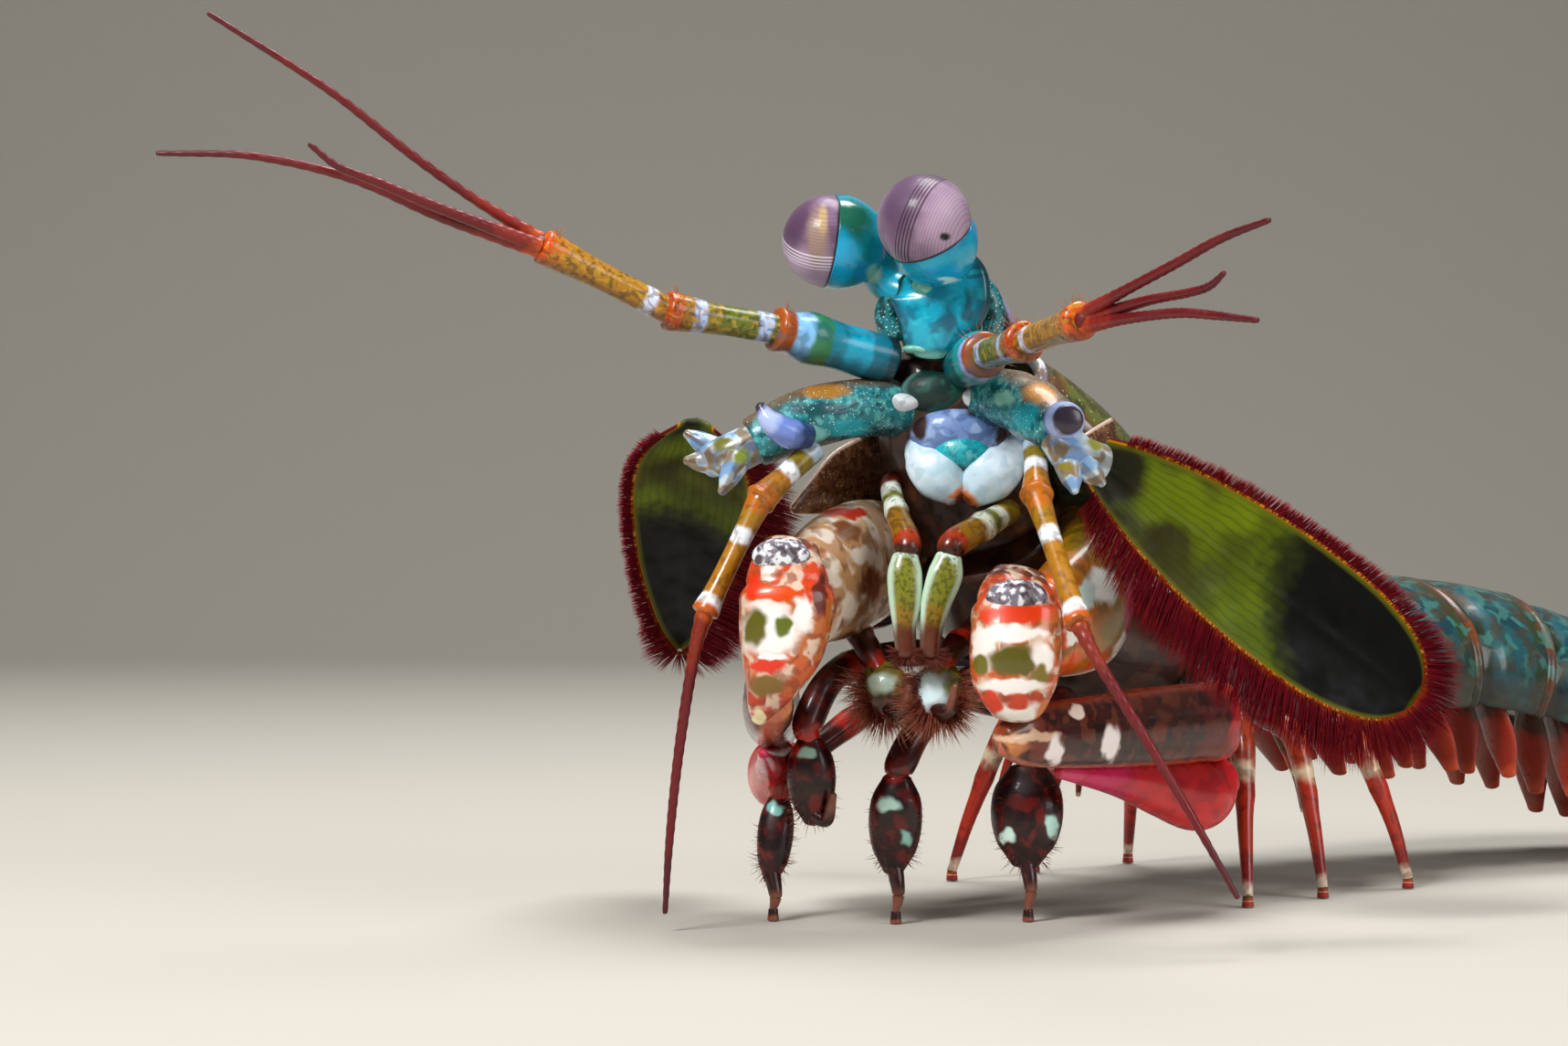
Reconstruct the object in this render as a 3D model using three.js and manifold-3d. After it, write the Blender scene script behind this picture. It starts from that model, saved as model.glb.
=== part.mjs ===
// A peacock mantis shrimp rearing up with its face to the front: a still, life-size model.
// Millimetres, +Z up. The face looks along -Y, the animal's left is +X, and the tail runs back to +X and +Y.
import * as THREE from "three";
import { mergeVertices } from "three/addons/utils/BufferGeometryUtils.js";
import Module from "manifold-3d";

const wasm = await Module();
wasm.setup();

// Driving dimensions, in millimetres.
const EYE_RADIUS = 3.85;
const CARAPACE_LENGTH = 33.5;
const CARAPACE_HALF_WIDTH = 13.6;
const CARAPACE_THICKNESS = 0.9;
const SCALE_LENGTH = 33;
const SCALE_THICKNESS = 0.7;
const RIB_HEIGHT = 0.28;
const TELSON_LENGTH = 16.5;
const TELSON_HALF_WIDTH = 9.2;
// The gap between neighbours, the wider one between the somites, and how far a made node is grown to cut
// the next ones clear of it.
const GAP = 0.3;
const SOMITE_GAP = 0.46;
const GROW = 0.34;
// No limb is drawn thinner than this half thickness.
const THINNEST = 0.26;
// A rounded end as two rings: how far out each lies, and its share of the end's size.
const ROUND_END = [[0.65, 0.72], [1, 0.25]];
// How many coarse vanes stand for the bristles of each fringe.
const FRINGE_VANES = 20;
const BRUSH_VANES = 5;
const FAN_VANES = 4;
const BLADE_SPINES = 4;

const COLOURS = {
  cornea: 0x8d6f86,
  turquoise: 0x129bb4,
  olive: 0x5c6a2c,
  orange: 0xc8751c,
  crimson: 0x7d1618,
  scarlet: 0xc9301f,
  cream: 0xd9d5c4,
  shield: 0x5f6b45,
  maroon: 0x4a1413,
  teal: 0x2f6d70,
};

const point = (a) => new THREE.Vector3(a[0], a[1], a[2]);
const UP = new THREE.Vector3(0, 0, 1);
const mix = (a, b, t) => a + (b - a) * t;
const between = (a, b, t) => point(a).lerp(point(b), t).toArray();

// Closed surface through rings of points, with a flat fan or a strip of quads at each end.
function loft(rings, caps = "fan") {
  const n = rings[0].length;
  const points = rings.flat();
  const faces = [];
  for (let r = 0; r + 1 < rings.length; r++)
    for (let i = 0; i < n; i++) {
      const a = r * n + i;
      const b = r * n + ((i + 1) % n);
      faces.push(a, b, b + n, a, b + n, a + n);
    }
  const last = (rings.length - 1) * n;
  if (caps === "fan") {
    for (const [start, flip] of [[0, true], [last, false]])
      for (let i = 1; i + 1 < n; i++) {
        const [a, b, c] = [start, start + i, start + i + 1];
        faces.push(...(flip ? [a, c, b] : [a, b, c]));
      }
  } else {
    for (let i = 0; i + 1 < n / 2; i++) {
      const [a, b, c, d] = [i, i + 1, n - 2 - i, n - 1 - i];
      faces.push(a, c, b, a, d, c);
      faces.push(last + a, last + b, last + c, last + a, last + c, last + d);
    }
  }
  const geometry = new THREE.BufferGeometry().setFromPoints(points);
  geometry.setIndex(faces);
  return geometry;
}

// A closed geometry as a solid for joining and cutting, turned face outwards.
function solid(geometry) {
  geometry.deleteAttribute("normal");
  geometry.deleteAttribute("uv");
  const merged = mergeVertices(geometry, 1e-4);
  const triVerts = new Uint32Array(merged.index.array);
  const vertProperties = merged.attributes.position.array;
  const make = () => new wasm.Manifold(new wasm.Mesh({ numProp: 3, vertProperties, triVerts }));
  const made = make();
  if (made.volume() >= 0) return made;
  for (let i = 0; i < triVerts.length; i += 3)
    [triVerts[i + 1], triVerts[i + 2]] = [triVerts[i + 2], triVerts[i + 1]];
  return make();
}

const join = (solids) => solids.reduce((a, b) => a.add(b));

// The side and upper directions across a tangent, the upper one nearest to a wanted direction.
function across(tangent, wanted) {
  const side = new THREE.Vector3().crossVectors(tangent, wanted).normalize();
  return [side, new THREE.Vector3().crossVectors(side, tangent).normalize()];
}

// A ring of points round a centre: an oval whose squareness runs from 1, round, to 2 and more, boxy.
function oval(centre, side, upper, halfWidth, halfHeight, sides, squareness = 1) {
  return Array.from({ length: sides }, (_, i) => {
    const angle = (2 * Math.PI * i) / sides;
    const c = Math.cos(angle);
    const s = Math.sin(angle);
    const x = Math.sign(c) * Math.abs(c) ** (1 / squareness) * halfWidth;
    const y = Math.sign(s) * Math.abs(s) ** (1 / squareness) * halfHeight;
    return centre.clone().addScaledVector(side, x).addScaledVector(upper, y);
  });
}

// A limb length through stations [x, y, z, half width, half height], smooth between them.
// Its ends are flat, or rounded off where round gives a length for that end.
function limb(stations, form) {
  const { wanted = UP, sides = 7, steps = 1, round = [0, 0], grow = 0, squareness = 1 } = form;
  const path = new THREE.CatmullRomCurve3(stations.map(point), false, "catmullrom", 0.5);
  const halves = stations.map((s) => new THREE.Vector3(s[3], s[4] ?? s[3], 0));
  const sizes = new THREE.CatmullRomCurve3(halves, false, "catmullrom", 0.5);
  const count = (stations.length - 1) * steps;
  const place = (t, push, shrink) => {
    const tangent = path.getTangent(t).normalize();
    const [side, upper] = across(tangent, wanted);
    const size = sizes.getPoint(t);
    const centre = path.getPoint(t).addScaledVector(tangent, push);
    const fit = (r) => (shrink < 1 ? r * shrink : Math.max(r, THINNEST)) + grow;
    return oval(centre, side, upper, fit(size.x), fit(size.y), sides, squareness);
  };
  const end = (t, sign, length) => {
    if (length) return ROUND_END.map(([reach, share]) => place(t, sign * (length * reach + grow), share));
    return grow ? [place(t, sign * grow, 1)] : [];
  };
  const middle = Array.from({ length: count + 1 }, (_, i) => place(i / count, 0, 1));
  return solid(loft([...end(0, -1, round[0]).reverse(), ...middle, ...end(1, 1, round[1])]));
}

// A tapered blade or spine from a root to a tip: three flat sides, thin at its end.
function spine(root, tip, halfWidth, halfHeight, wanted = UP, grow = 0) {
  const tangent = point(tip).sub(point(root)).normalize();
  const [side, upper] = across(tangent, wanted);
  const ring = (t, k) => oval(
    point(root).lerp(point(tip), t), side, upper, halfWidth * k + grow, halfHeight * k + grow, 3);
  return solid(loft([ring(0, 1), ring(1, 0.25)]));
}

function ball(centre, radii, grow = 0, wide = 12, high = 8) {
  const geometry = new THREE.SphereGeometry(1, wide, high);
  geometry.scale(radii[0] + grow, radii[1] + grow, radii[2] + grow);
  geometry.translate(...centre);
  return solid(geometry);
}

// A flat clockwise outline moved outwards by a distance.
function widened(outline, distance) {
  const n = outline.length;
  return outline.map(([x, y], i) => {
    const [x0, y0] = outline[(i + n - 1) % n];
    const [x1, y1] = outline[(i + 1) % n];
    const long = Math.hypot(x1 - x0, y1 - y0);
    return [x - (distance * (y1 - y0)) / long, y + (distance * (x1 - x0)) / long];
  });
}

const part = new THREE.Group();
part.name = "mantis_shrimp";
const built = [];

function largest(made) {
  const pieces = made.decompose();
  return pieces.length < 2 ? made : pieces.reduce((a, b) => (b.volume() > a.volume() ? b : a));
}

const boxesMeet = (a, b) => [0, 1, 2].every((k) => a.min[k] < b.max[k] && b.min[k] < a.max[k]);

// Adds a node. It is cut clear of every node made before it, so the two meet across a narrow gap.
function add(group, name, colour, build, { roughness = 0.4, cuts = true } = {}) {
  let made = build(0);
  for (const other of built) {
    if (!boxesMeet(made.boundingBox(), other.box)) continue;
    other.grown ??= other.build(GROW);
    if (made.intersect(other.grown).volume() > 1e-6) made = made.subtract(other.grown);
  }
  made = largest(made);
  if (cuts) built.push({ build, box: build(GROW).boundingBox() });
  const data = made.getMesh();
  const geometry = new THREE.BufferGeometry();
  geometry.setAttribute("position", new THREE.BufferAttribute(Float32Array.from(data.vertProperties), 3));
  geometry.setIndex(new THREE.BufferAttribute(Uint32Array.from(data.triVerts), 1));
  geometry.computeBoundingBox();
  const anchor = geometry.boundingBox.getCenter(new THREE.Vector3());
  geometry.translate(-anchor.x, -anchor.y, -anchor.z);
  geometry.computeVertexNormals();
  const material = new THREE.MeshStandardMaterial({ color: COLOURS[colour], roughness, metalness: 0 });
  const mesh = new THREE.Mesh(geometry, material);
  mesh.name = name;
  mesh.position.copy(anchor);
  group.add(mesh);
}

function group(name) {
  const made = new THREE.Group();
  made.name = name;
  part.add(made);
  return made;
}

// The line through the middle of the chest and tail.
const TRUNK = [
  [16.6, 10.4, 33.6], [19.8, 15.4, 27.6], [24.8, 21.8, 22.9], [30.8, 28.3, 20.4],
  [37.6, 35.2, 19.4], [44.6, 41.6, 19.6], [52.6, 48.0, 20.3], [61.4, 53.8, 20.2],
  [70.6, 58.7, 18.2], [79.8, 62.7, 15.0], [88.8, 65.8, 11.2], [96.8, 68.2, 8.0],
  [104.5, 70.3, 6.4], [112.5, 72.4, 5.9],
];
const trunk = new THREE.CatmullRomCurve3(TRUNK.map(point), false, "centripetal");
const trunkLength = trunk.getLength();

// The trunk's frame at a distance along it: centre, tailward, side (the animal's left) and back.
function frameAt(distance) {
  const t = Math.min(Math.max(distance / trunkLength, 0), 1);
  const tailward = trunk.getTangentAt(t).normalize();
  const [side, back] = across(tailward, UP);
  return { centre: trunk.getPointAt(t), tailward, side, back };
}

const inFrame = (f, x, y, z) => f.centre.clone()
  .addScaledVector(f.side, x).addScaledVector(f.tailward, y).addScaledVector(f.back, z);

// A point beside and above the trunk's line at a distance along it, going straight on past its end.
function alongTrunk(distance, x, z) {
  const past = Math.max(0, distance - trunkLength);
  return inFrame(frameAt(distance), x, past, z);
}

// HEAD
const HEAD_BACK = new THREE.Vector3(0.15, 0.97, 0.18);
const FACE_BACK = new THREE.Vector3(0.2, 0.97, 0.1);

// Wedge of the eye and antennule rings, wide under the eyestalks and narrow above the mouth,
// with a ridge down each side.
const FACE = {
  shield: [
    [11.6, 2.0, 54.0, 2.6, 1.5], [12.4, 1.9, 52.6, 4.0, 2.4], [12.6, 1.8, 50.6, 3.8, 2.8],
    [12.3, 1.8, 48.8, 3.0, 2.6], [12.0, 1.9, 46.8, 2.2, 2.3],
  ],
  ridges: [
    [[15.4, 2.8, 53.6, 0.9], [16.9, 3.0, 51.6, 1.1], [17.2, 3.2, 49.6, 1.1], [15.8, 3.2, 47.6, 1.2]],
    [[9.4, 3.0, 52.4, 0.9], [8.5, 3.4, 50.4, 1.0], [9.2, 3.4, 48.2, 1.1]],
  ],
};

function face(grow) {
  return join([
    limb(FACE.shield, { wanted: FACE_BACK, sides: 12, round: [0.6, 0], grow }),
    ...FACE.ridges.map((ridge) => limb(ridge, { wanted: FACE_BACK, sides: 6, grow })),
  ]);
}

// The head behind the mouth field, with the smooth oval boss between the antennules.
const HEAD = [
  [12.5, 4.4, 47.2, 3.4, 2.8], [12.9, 5.0, 44.6, 5.2, 4.6], [13.9, 5.9, 41.5, 6.2, 5.4],
  [15.1, 7.3, 38.0, 6.4, 6.2], [16.6, 9.6, 34.4, 6.6, 6.8],
];
const BOSS = { centre: [12.5, 1.4, 43.9], radii: [3.0, 2.2, 1.8] };

function head(grow) {
  return join([
    limb(HEAD, { wanted: HEAD_BACK, sides: 14, grow, squareness: 1.2 }),
    ball(BOSS.centre, BOSS.radii, grow, 10, 6),
  ]);
}

const CHEST = [
  [16.9, 10.9, 33.0, 6.7, 6.8], [19.8, 15.4, 27.6, 7.4, 6.6], [24.8, 21.8, 22.9, 8.2, 6.0],
  [30.2, 27.7, 20.6, 9.4, 5.6],
];
const CHEST_BACK = new THREE.Vector3(0.18, 0.6, 0.78);

function chest(grow) {
  return limb(CHEST, { wanted: CHEST_BACK, sides: 12, steps: 2, grow, squareness: 1.2 });
}

// Eyes: a domed cornea on a deep cup, which narrows to a neck on the face. The edge is where the
// cornea ends, as a share of the radius along the axis.
const EYES = {
  right: {
    centre: [3.7, 3.0, 56.3], axis: [-0.97, -0.16, 0.12], edge: -0.03,
    neck: [8.4, 3.6, 53.0], root: [10.4, 3.0, 51.8],
  },
  left: {
    centre: [11.5, -3.0, 57.3], axis: [-0.42, -0.47, 0.78], edge: -0.42,
    neck: [13.4, 1.2, 53.7], root: [13.6, 2.4, 52.2],
  },
};
const CORNEA_ROWS = 7;
// Shares of the cup's depth, with the cup's radius at each as a share of the cornea's rim.
const CUP = [[0, 1.015], [0.22, 1.03], [0.45, 0.97], [0.68, 0.84], [0.86, 0.66], [1, 0.42]];
const CUP_DEPTH = 4.6;

// A shape turned on a lathe round an eye's axis.
function onEye(eye, profile, sides) {
  const geometry = new THREE.LatheGeometry(profile.map(([r, y]) => new THREE.Vector2(r, y)), sides);
  const upright = new THREE.Vector3(0, 1, 0);
  const turn = new THREE.Quaternion().setFromUnitVectors(upright, point(eye.axis).normalize());
  geometry.applyQuaternion(turn);
  geometry.translate(...eye.centre);
  return solid(geometry);
}

function cornea(eye, grow) {
  const radius = EYE_RADIUS + grow;
  const edge = Math.asin(eye.edge);
  const profile = [[0, EYE_RADIUS * eye.edge + GAP / 2 - grow]];
  for (let i = 0; i <= CORNEA_ROWS; i++) {
    const angle = mix(edge, Math.PI / 2, i / CORNEA_ROWS);
    const lift = i ? 0 : GAP / 2 - grow;
    profile.push([i < CORNEA_ROWS ? radius * Math.cos(angle) : 0, radius * Math.sin(angle) + lift]);
  }
  return onEye(eye, profile, 14);
}

function eyestalk(eye, grow) {
  const rim = EYE_RADIUS * Math.sqrt(1 - eye.edge ** 2);
  const start = EYE_RADIUS * eye.edge - GAP / 2;
  const depth = CUP_DEPTH + start * 0.55;
  const profile = CUP.map(([share, width]) => [rim * width + grow, start - depth * share]);
  const closed = [[0, start + grow], ...profile, [0, start - depth - grow]].reverse();
  const back = point(eye.centre).addScaledVector(point(eye.axis).normalize(), start - depth * 0.7);
  const neck = [[...back.toArray(), 1.9], [...eye.neck, 1.45], [...eye.root, 1.5]];
  return join([onEye(eye, closed, 12), limb(neck, { sides: 8, steps: 2, grow })]);
}

// Rostral plate: a rounded triangular shield over the roots of the eyestalks.
const ROSTRUM = [
  [15.0, 8.4, 47.2, 4.9, 0.6], [14.8, 7.4, 49.0, 4.9, 0.6], [14.6, 6.4, 51.0, 4.2, 0.6],
  [14.2, 5.6, 53.0, 2.9, 0.55], [13.9, 5.2, 54.4, 1.2, 0.5],
];
const ROSTRUM_BACK = new THREE.Vector3(0.2, 0.9, 0.35);

function rostrum(grow) {
  return limb(ROSTRUM, { wanted: ROSTRUM_BACK, sides: 10, round: [0, 0.5], grow, squareness: 1.3 });
}

// Carapace: an arched shield over the head and chest, with a lobe forward from each side.
const CARAPACE_FRONT = new THREE.Vector3(14.6, 9.6, 47.6);
const CARAPACE_TAILWARD = new THREE.Vector3(0.49, 0.66, -0.57).normalize();
const CARAPACE_BACK = new THREE.Vector3(0.16, 0.58, 0.8);
// Shares of the length, with shares of the half width, the drop of the sides, and the ridge's height.
const CARAPACE_SHAPE = [
  [0, 0.66, 5.2, 0], [0.1, 0.8, 6.6, 0.35], [0.25, 0.93, 8.0, 0.6], [0.45, 1, 9.2, 0.7],
  [0.65, 1.02, 9.8, 0.6], [0.85, 1.03, 9.8, 0.3], [1, 1, 9.4, 0],
];
const CARAPACE_TURNS = 6;
const CARAPACE_SWEEP = Math.PI * 0.56;
const LOBES = [
  {
    line: [[8.6, 14.0, 37.6, 3.6, 0.5], [5.0, 9.0, 36.6, 2.8, 0.5], [2.6, 6.4, 35.2, 1.6, 0.45],
      [0.8, 4.8, 34.2, 0.5, 0.35]],
    flat: new THREE.Vector3(-0.8, 0.6, 0),
  },
  {
    line: [[27.4, 4.2, 38.8, 3.0, 0.5], [25.2, 0.8, 38.4, 2.2, 0.5], [23.2, -1.4, 38.4, 1.0, 0.4]],
    flat: new THREE.Vector3(0.8, -0.6, 0),
  },
];

function carapace(grow) {
  const [side, back] = across(CARAPACE_TAILWARD, CARAPACE_BACK);
  const rings = CARAPACE_SHAPE.map(([along, share, drop, rise], row) => {
    const end = row === 0 ? -grow : row === CARAPACE_SHAPE.length - 1 ? grow : 0;
    const ridge = CARAPACE_FRONT.clone()
      .addScaledVector(CARAPACE_TAILWARD, along * CARAPACE_LENGTH + end).addScaledVector(back, rise);
    const arch = (inset) => Array.from({ length: 2 * CARAPACE_TURNS + 1 }, (_, i) => {
      const angle = (i / CARAPACE_TURNS - 1) * CARAPACE_SWEEP;
      const width = CARAPACE_HALF_WIDTH * share - inset;
      const height = (drop - inset) * (Math.cos(angle) - 1) - inset;
      return ridge.clone().addScaledVector(side, width * Math.sin(angle)).addScaledVector(back, height);
    });
    return [...arch(-grow), ...arch(CARAPACE_THICKNESS + grow).reverse()];
  });
  const lobes = LOBES.map(({ line, flat }) => limb(line, { wanted: flat, sides: 6, grow }));
  return join([solid(loft(rings, "strip")), ...lobes]);
}

// Mouth: the domed upper lip and the two jaw lobes under it.
const LIP = { centre: [14.6, 0.6, 38.7], radii: [2.25, 1.9, 1.85] };
const JAWS = {
  right: [[11.4, 2.6, 40.0, 1.3, 1.5], [11.9, 1.4, 38.0, 1.9, 1.7], [12.9, 0.9, 36.5, 1.8, 1.6],
    [13.8, 0.7, 35.2, 0.9, 1.0]],
  left: [[19.2, 2.4, 39.6, 1.3, 1.5], [18.4, 1.2, 37.9, 2.1, 1.7], [16.9, 0.8, 36.3, 2.0, 1.6],
    [15.4, 0.6, 34.9, 0.9, 1.0]],
};

const upperLip = (grow) => ball(LIP.centre, LIP.radii, grow);
const jaw = (stations, grow) => limb(stations, { wanted: HEAD_BACK, round: [0, 0.7], grow });

// ANTENNULES
const ANTENNULES = {
  right: {
    joints: [[8.6, 1.8, 46.4], [-0.5, -3.0, 48.7], [-9.2, -6.0, 50.0], [-19.0, -9.0, 54.9]],
    feelers: [
      [[-19.4, -8.6, 55.6, 0.62], [-24.7, -9.6, 58.8, 0.42], [-29.7, -10.6, 62.3, 0.38],
        [-36.0, -11.6, 67.2, 0.33],
        [-45.3, -12.2, 73.1, 0.28]],
      [[-19.4, -9.4, 54.6, 0.62], [-27.1, -10.8, 57.2, 0.44], [-34.2, -11.6, 60.2, 0.38],
        [-41.9, -12.2, 61.9, 0.33],
        [-49.3, -12.4, 62.1, 0.28]],
      [[-19.4, -9.8, 55.0, 0.62], [-26.6, -12.2, 57.6, 0.44], [-31.8, -13.4, 59.7, 0.38],
        [-34.9, -14.0, 60.9, 0.32],
        [-37.1, -14.2, 62.6, 0.27]],
    ],
  },
  left: {
    joints: [[15.0, 1.6, 46.0], [16.0, -8.6, 46.4], [18.6, -17.5, 47.0], [22.0, -28.5, 48.0]],
    feelers: [
      [[22.2, -29.0, 48.5, 0.62], [24.6, -33.4, 49.8, 0.42], [28.1, -38.0, 51.6, 0.38],
        [30.9, -41.8, 53.1, 0.33],
        [33.8, -45.4, 54.1, 0.28]],
      [[22.3, -29.0, 47.6, 0.62], [25.0, -33.8, 47.9, 0.42], [28.2, -39.0, 48.0, 0.37],
        [30.6, -42.5, 47.6, 0.32],
        [32.9, -46.0, 47.1, 0.28]],
      [[22.5, -29.2, 48.1, 0.6], [26.2, -34.6, 49.1, 0.4], [29.0, -38.2, 49.5, 0.34],
        [30.2, -40.8, 49.8, 0.3],
        [31.0, -42.6, 50.6, 0.27]],
    ],
  },
};
// Half thickness of each stalk length along it and at its flared end.
const STALK_LENGTHS = [[2.0, 1.9], [1.25, 1.7], [1.12, 1.5]];
const KNOB_RADIUS = 0.85;

// One antennule's stalk: three lengths, each flared where it takes the next.
function antennule(joints, grow) {
  return join(STALK_LENGTHS.map(([thin, flared], i) => {
    const at = (t, r) => [...between(joints[i], joints[i + 1], t), r];
    const middle = [at(0.45, thin * 0.96), at(0.86, mix(thin, flared, 0.7))];
    const line = [at(i ? -0.04 : 0, thin), ...middle, at(1.01, flared)];
    return limb(line, { round: [0, i === 2 ? 0.4 : 0], grow });
  }));
}

function feelers(lines, grow) {
  const centre = [0, 1, 2].map((k) => lines.reduce((sum, line) => sum + line[0][k], 0) / lines.length);
  const knob = ball(centre, [KNOB_RADIUS, KNOB_RADIUS, KNOB_RADIUS], grow, 8, 6);
  return join([knob, ...lines.map((line) => limb(line, { sides: 5, grow }))]);
}

// ANTENNAE
const ANTENNAE = {
  right: {
    root: [[9.6, 3.4, 42.6, 2.6, 2.4], [5.6, 0.4, 42.4, 2.5, 2.4], [1.5, -1.2, 41.4, 2.5, 2.5],
      [-2.4, -1.6, 39.6, 2.1, 2.1]],
    tooth: [[0.8, -3.0, 40.4], [-2.1, -4.4, 42.8]],
    lobe: [[-2.2, -1.8, 39.6, 1.7], [-4.4, -1.8, 38.6, 1.7], [-6.0, -0.8, 38.2, 1.5]],
    teeth: [[[-3.6, -3.0, 38.4], [-5.0, -3.4, 35.6]], [[-5.4, -0.8, 38.8], [-7.9, -0.6, 40.3]],
      [[-5.6, -1.2, 38.0], [-7.9, -1.4, 38.1]]],
    stalk: [[2.4, -2.6, 39.0], [-1.9, -6.0, 34.9], [-6.3, -8.0, 25.9]],
    whip: [[-6.2, -8.0, 26.3, 0.8], [-7.2, -8.0, 22.4, 0.5], [-8.4, -7.2, 14.9, 0.42],
      [-9.2, -6.2, 7.6, 0.34],
      [-9.6, -5.2, 1.6, 0.28]],
  },
  left: {
    root: [[16.6, 3.2, 43.2, 2.6, 2.4], [18.4, -0.6, 43.2, 2.6, 2.4], [20.5, -4.8, 41.9, 2.5, 2.5],
      [22.0, -8.2, 40.2, 2.1, 2.1]],
    tooth: [[22.2, -7.4, 41.0], [22.7, -11.2, 41.8]],
    lobe: [[21.9, -8.2, 40.0, 1.7], [23.2, -8.8, 38.4, 1.8], [25.4, -7.9, 37.8, 1.5]],
    teeth: [[[22.6, -9.8, 37.6], [23.0, -10.6, 35.6]], [[23.8, -9.6, 37.6], [25.2, -10.2, 36.2]]],
    stalk: [[20.2, -6.4, 39.2], [20.0, -10.8, 35.2], [22.7, -18.2, 25.3]],
    whip: [[22.5, -17.8, 25.8, 0.8], [24.0, -19.3, 22.6, 0.5], [27.4, -20.8, 16.9, 0.42],
      [30.9, -22.0, 10.9, 0.34],
      [34.4, -22.8, 4.6, 0.28]],
  },
};

// A blunt tooth, with its [half width, half height] at the root, past the middle and at the tip.
function tooth([root, tip], sizes, grow) {
  const places = [0, 0.55, 1].map((t, i) => [...between(root, tip, t), ...sizes[i]]);
  return limb(places, { sides: 6, round: [0, 0.35], grow });
}

function antennaRoot(shape, grow) {
  return join([limb(shape.root, { grow }), tooth(shape.tooth, [[1.7, 1.3], [1.35, 1.05], [0.6, 0.5]], grow)]);
}

function antennaJoint(shape, grow) {
  const teeth = shape.teeth.map((line) => tooth(line, [[1.15, 1.15], [0.9, 0.9], [0.4, 0.4]], grow));
  return join([limb(shape.lobe, { round: [0, 0.5], grow }), ...teeth]);
}

function antennaFeeler(shape, grow) {
  const [a, b, c] = shape.stalk;
  const upper = [[...a, 1.05], [...between(a, b, 0.5), 0.95], [...b, 1.35]];
  const lower = [[...b, 1.1], [...between(b, c, 0.3), 0.86], [...between(b, c, 0.75), 0.85], [...c, 1.12]];
  return join([
    limb(upper, { sides: 8, round: [0, 0.5], grow }),
    limb(lower, { sides: 8, round: [0, 0.3], grow }),
    limb(shape.whip, { sides: 5, grow }),
  ]);
}

// ANTENNAL SCALES
// Where the scales lie: root, tip, the direction across the blade, its bow, the long bristles' side, and
// the half width along the blade in mm. The right one is turned so that its root end looks the wider.
const SCALES = {
  right: {
    root: [-7.3, 1.0, 40.7], tip: [-9.4, 27.6, 21.2], across: [-1, 0, 0.12], camber: 0.9, long: -1,
    outline: [[0, 1.7], [0.06, 3.4], [0.16, 4.8], [0.3, 5.2], [0.46, 4.85], [0.63, 4.15], [0.78, 3.1],
      [0.88, 2.2], [0.95, 1.3], [1, 0.4]],
  },
  left: {
    root: [25.0, -7.6, 38.2], tip: [52.2, -4.6, 18.0], across: [0.6, 0.16, 0.78], camber: -0.9, long: -1,
    outline: [[0, 2.05], [0.08, 3.1], [0.2, 4.2], [0.35, 5.1], [0.5, 5.6], [0.63, 5.7], [0.76, 5.5],
      [0.86, 4.8], [0.93, 3.8], [0.975, 2.4], [1, 0.8]],
  },
};
// Shares of the half width where the blade's faces bend, with the rib's share of its height at each.
const SCALE_FOLDS = [[-1, 0], [-0.62, 1], [-0.42, 0], [0, 1], [0.42, 0], [0.62, 1], [1, 0]];
// Bristle lengths along the blade: shares of its length, on the short side and on the long side.
const BRISTLES = [[0, 0.7, 2.6], [0.2, 0.9, 4.2], [0.4, 1.2, 5.2], [0.75, 1.8, 4.7], [0.92, 2.6, 4.4],
  [1, 3.6, 3.8]];

// The blade in its own frame: along to the tip, across, and through.
function scaleFrame(shape) {
  const root = point(shape.root);
  const along = point(shape.tip).sub(root).normalize();
  const through = new THREE.Vector3().crossVectors(along, point(shape.across)).normalize();
  const wide = new THREE.Vector3().crossVectors(through, along).normalize();
  return (x, y, z) => root.clone()
    .addScaledVector(along, x).addScaledVector(wide, y).addScaledVector(through, z);
}

const bow = (share, camber) => camber * (1 - share * share);

function scaleBlade(shape, grow) {
  const place = scaleFrame(shape);
  const rings = shape.outline.map(([t, halfWidth], i) => {
    const end = i === 0 ? -grow : i === shape.outline.length - 1 ? grow : 0;
    const row = (face) => SCALE_FOLDS.map(([share, rib]) => {
      const edge = Math.abs(share) === 1 ? 0.5 : 1;
      const half = (SCALE_THICKNESS / 2) * edge + rib * RIB_HEIGHT * Math.min(1, 4 * (1 - t)) + grow;
      const y = share * halfWidth + Math.sign(share) * grow;
      return place(t * SCALE_LENGTH + end, y, bow(share, shape.camber) + face * half);
    });
    return [...row(1), ...row(-1).reverse()];
  });
  return solid(loft(rings, "strip"));
}

// The value in a table's column at a share, straight between its rows.
function along(table, share, column) {
  const next = Math.max(1, table.findIndex(([t]) => t >= share));
  const [a, b] = [table[next - 1], table[next]];
  return mix(a[column], b[column], (share - a[0]) / (b[0] - a[0]));
}

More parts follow.
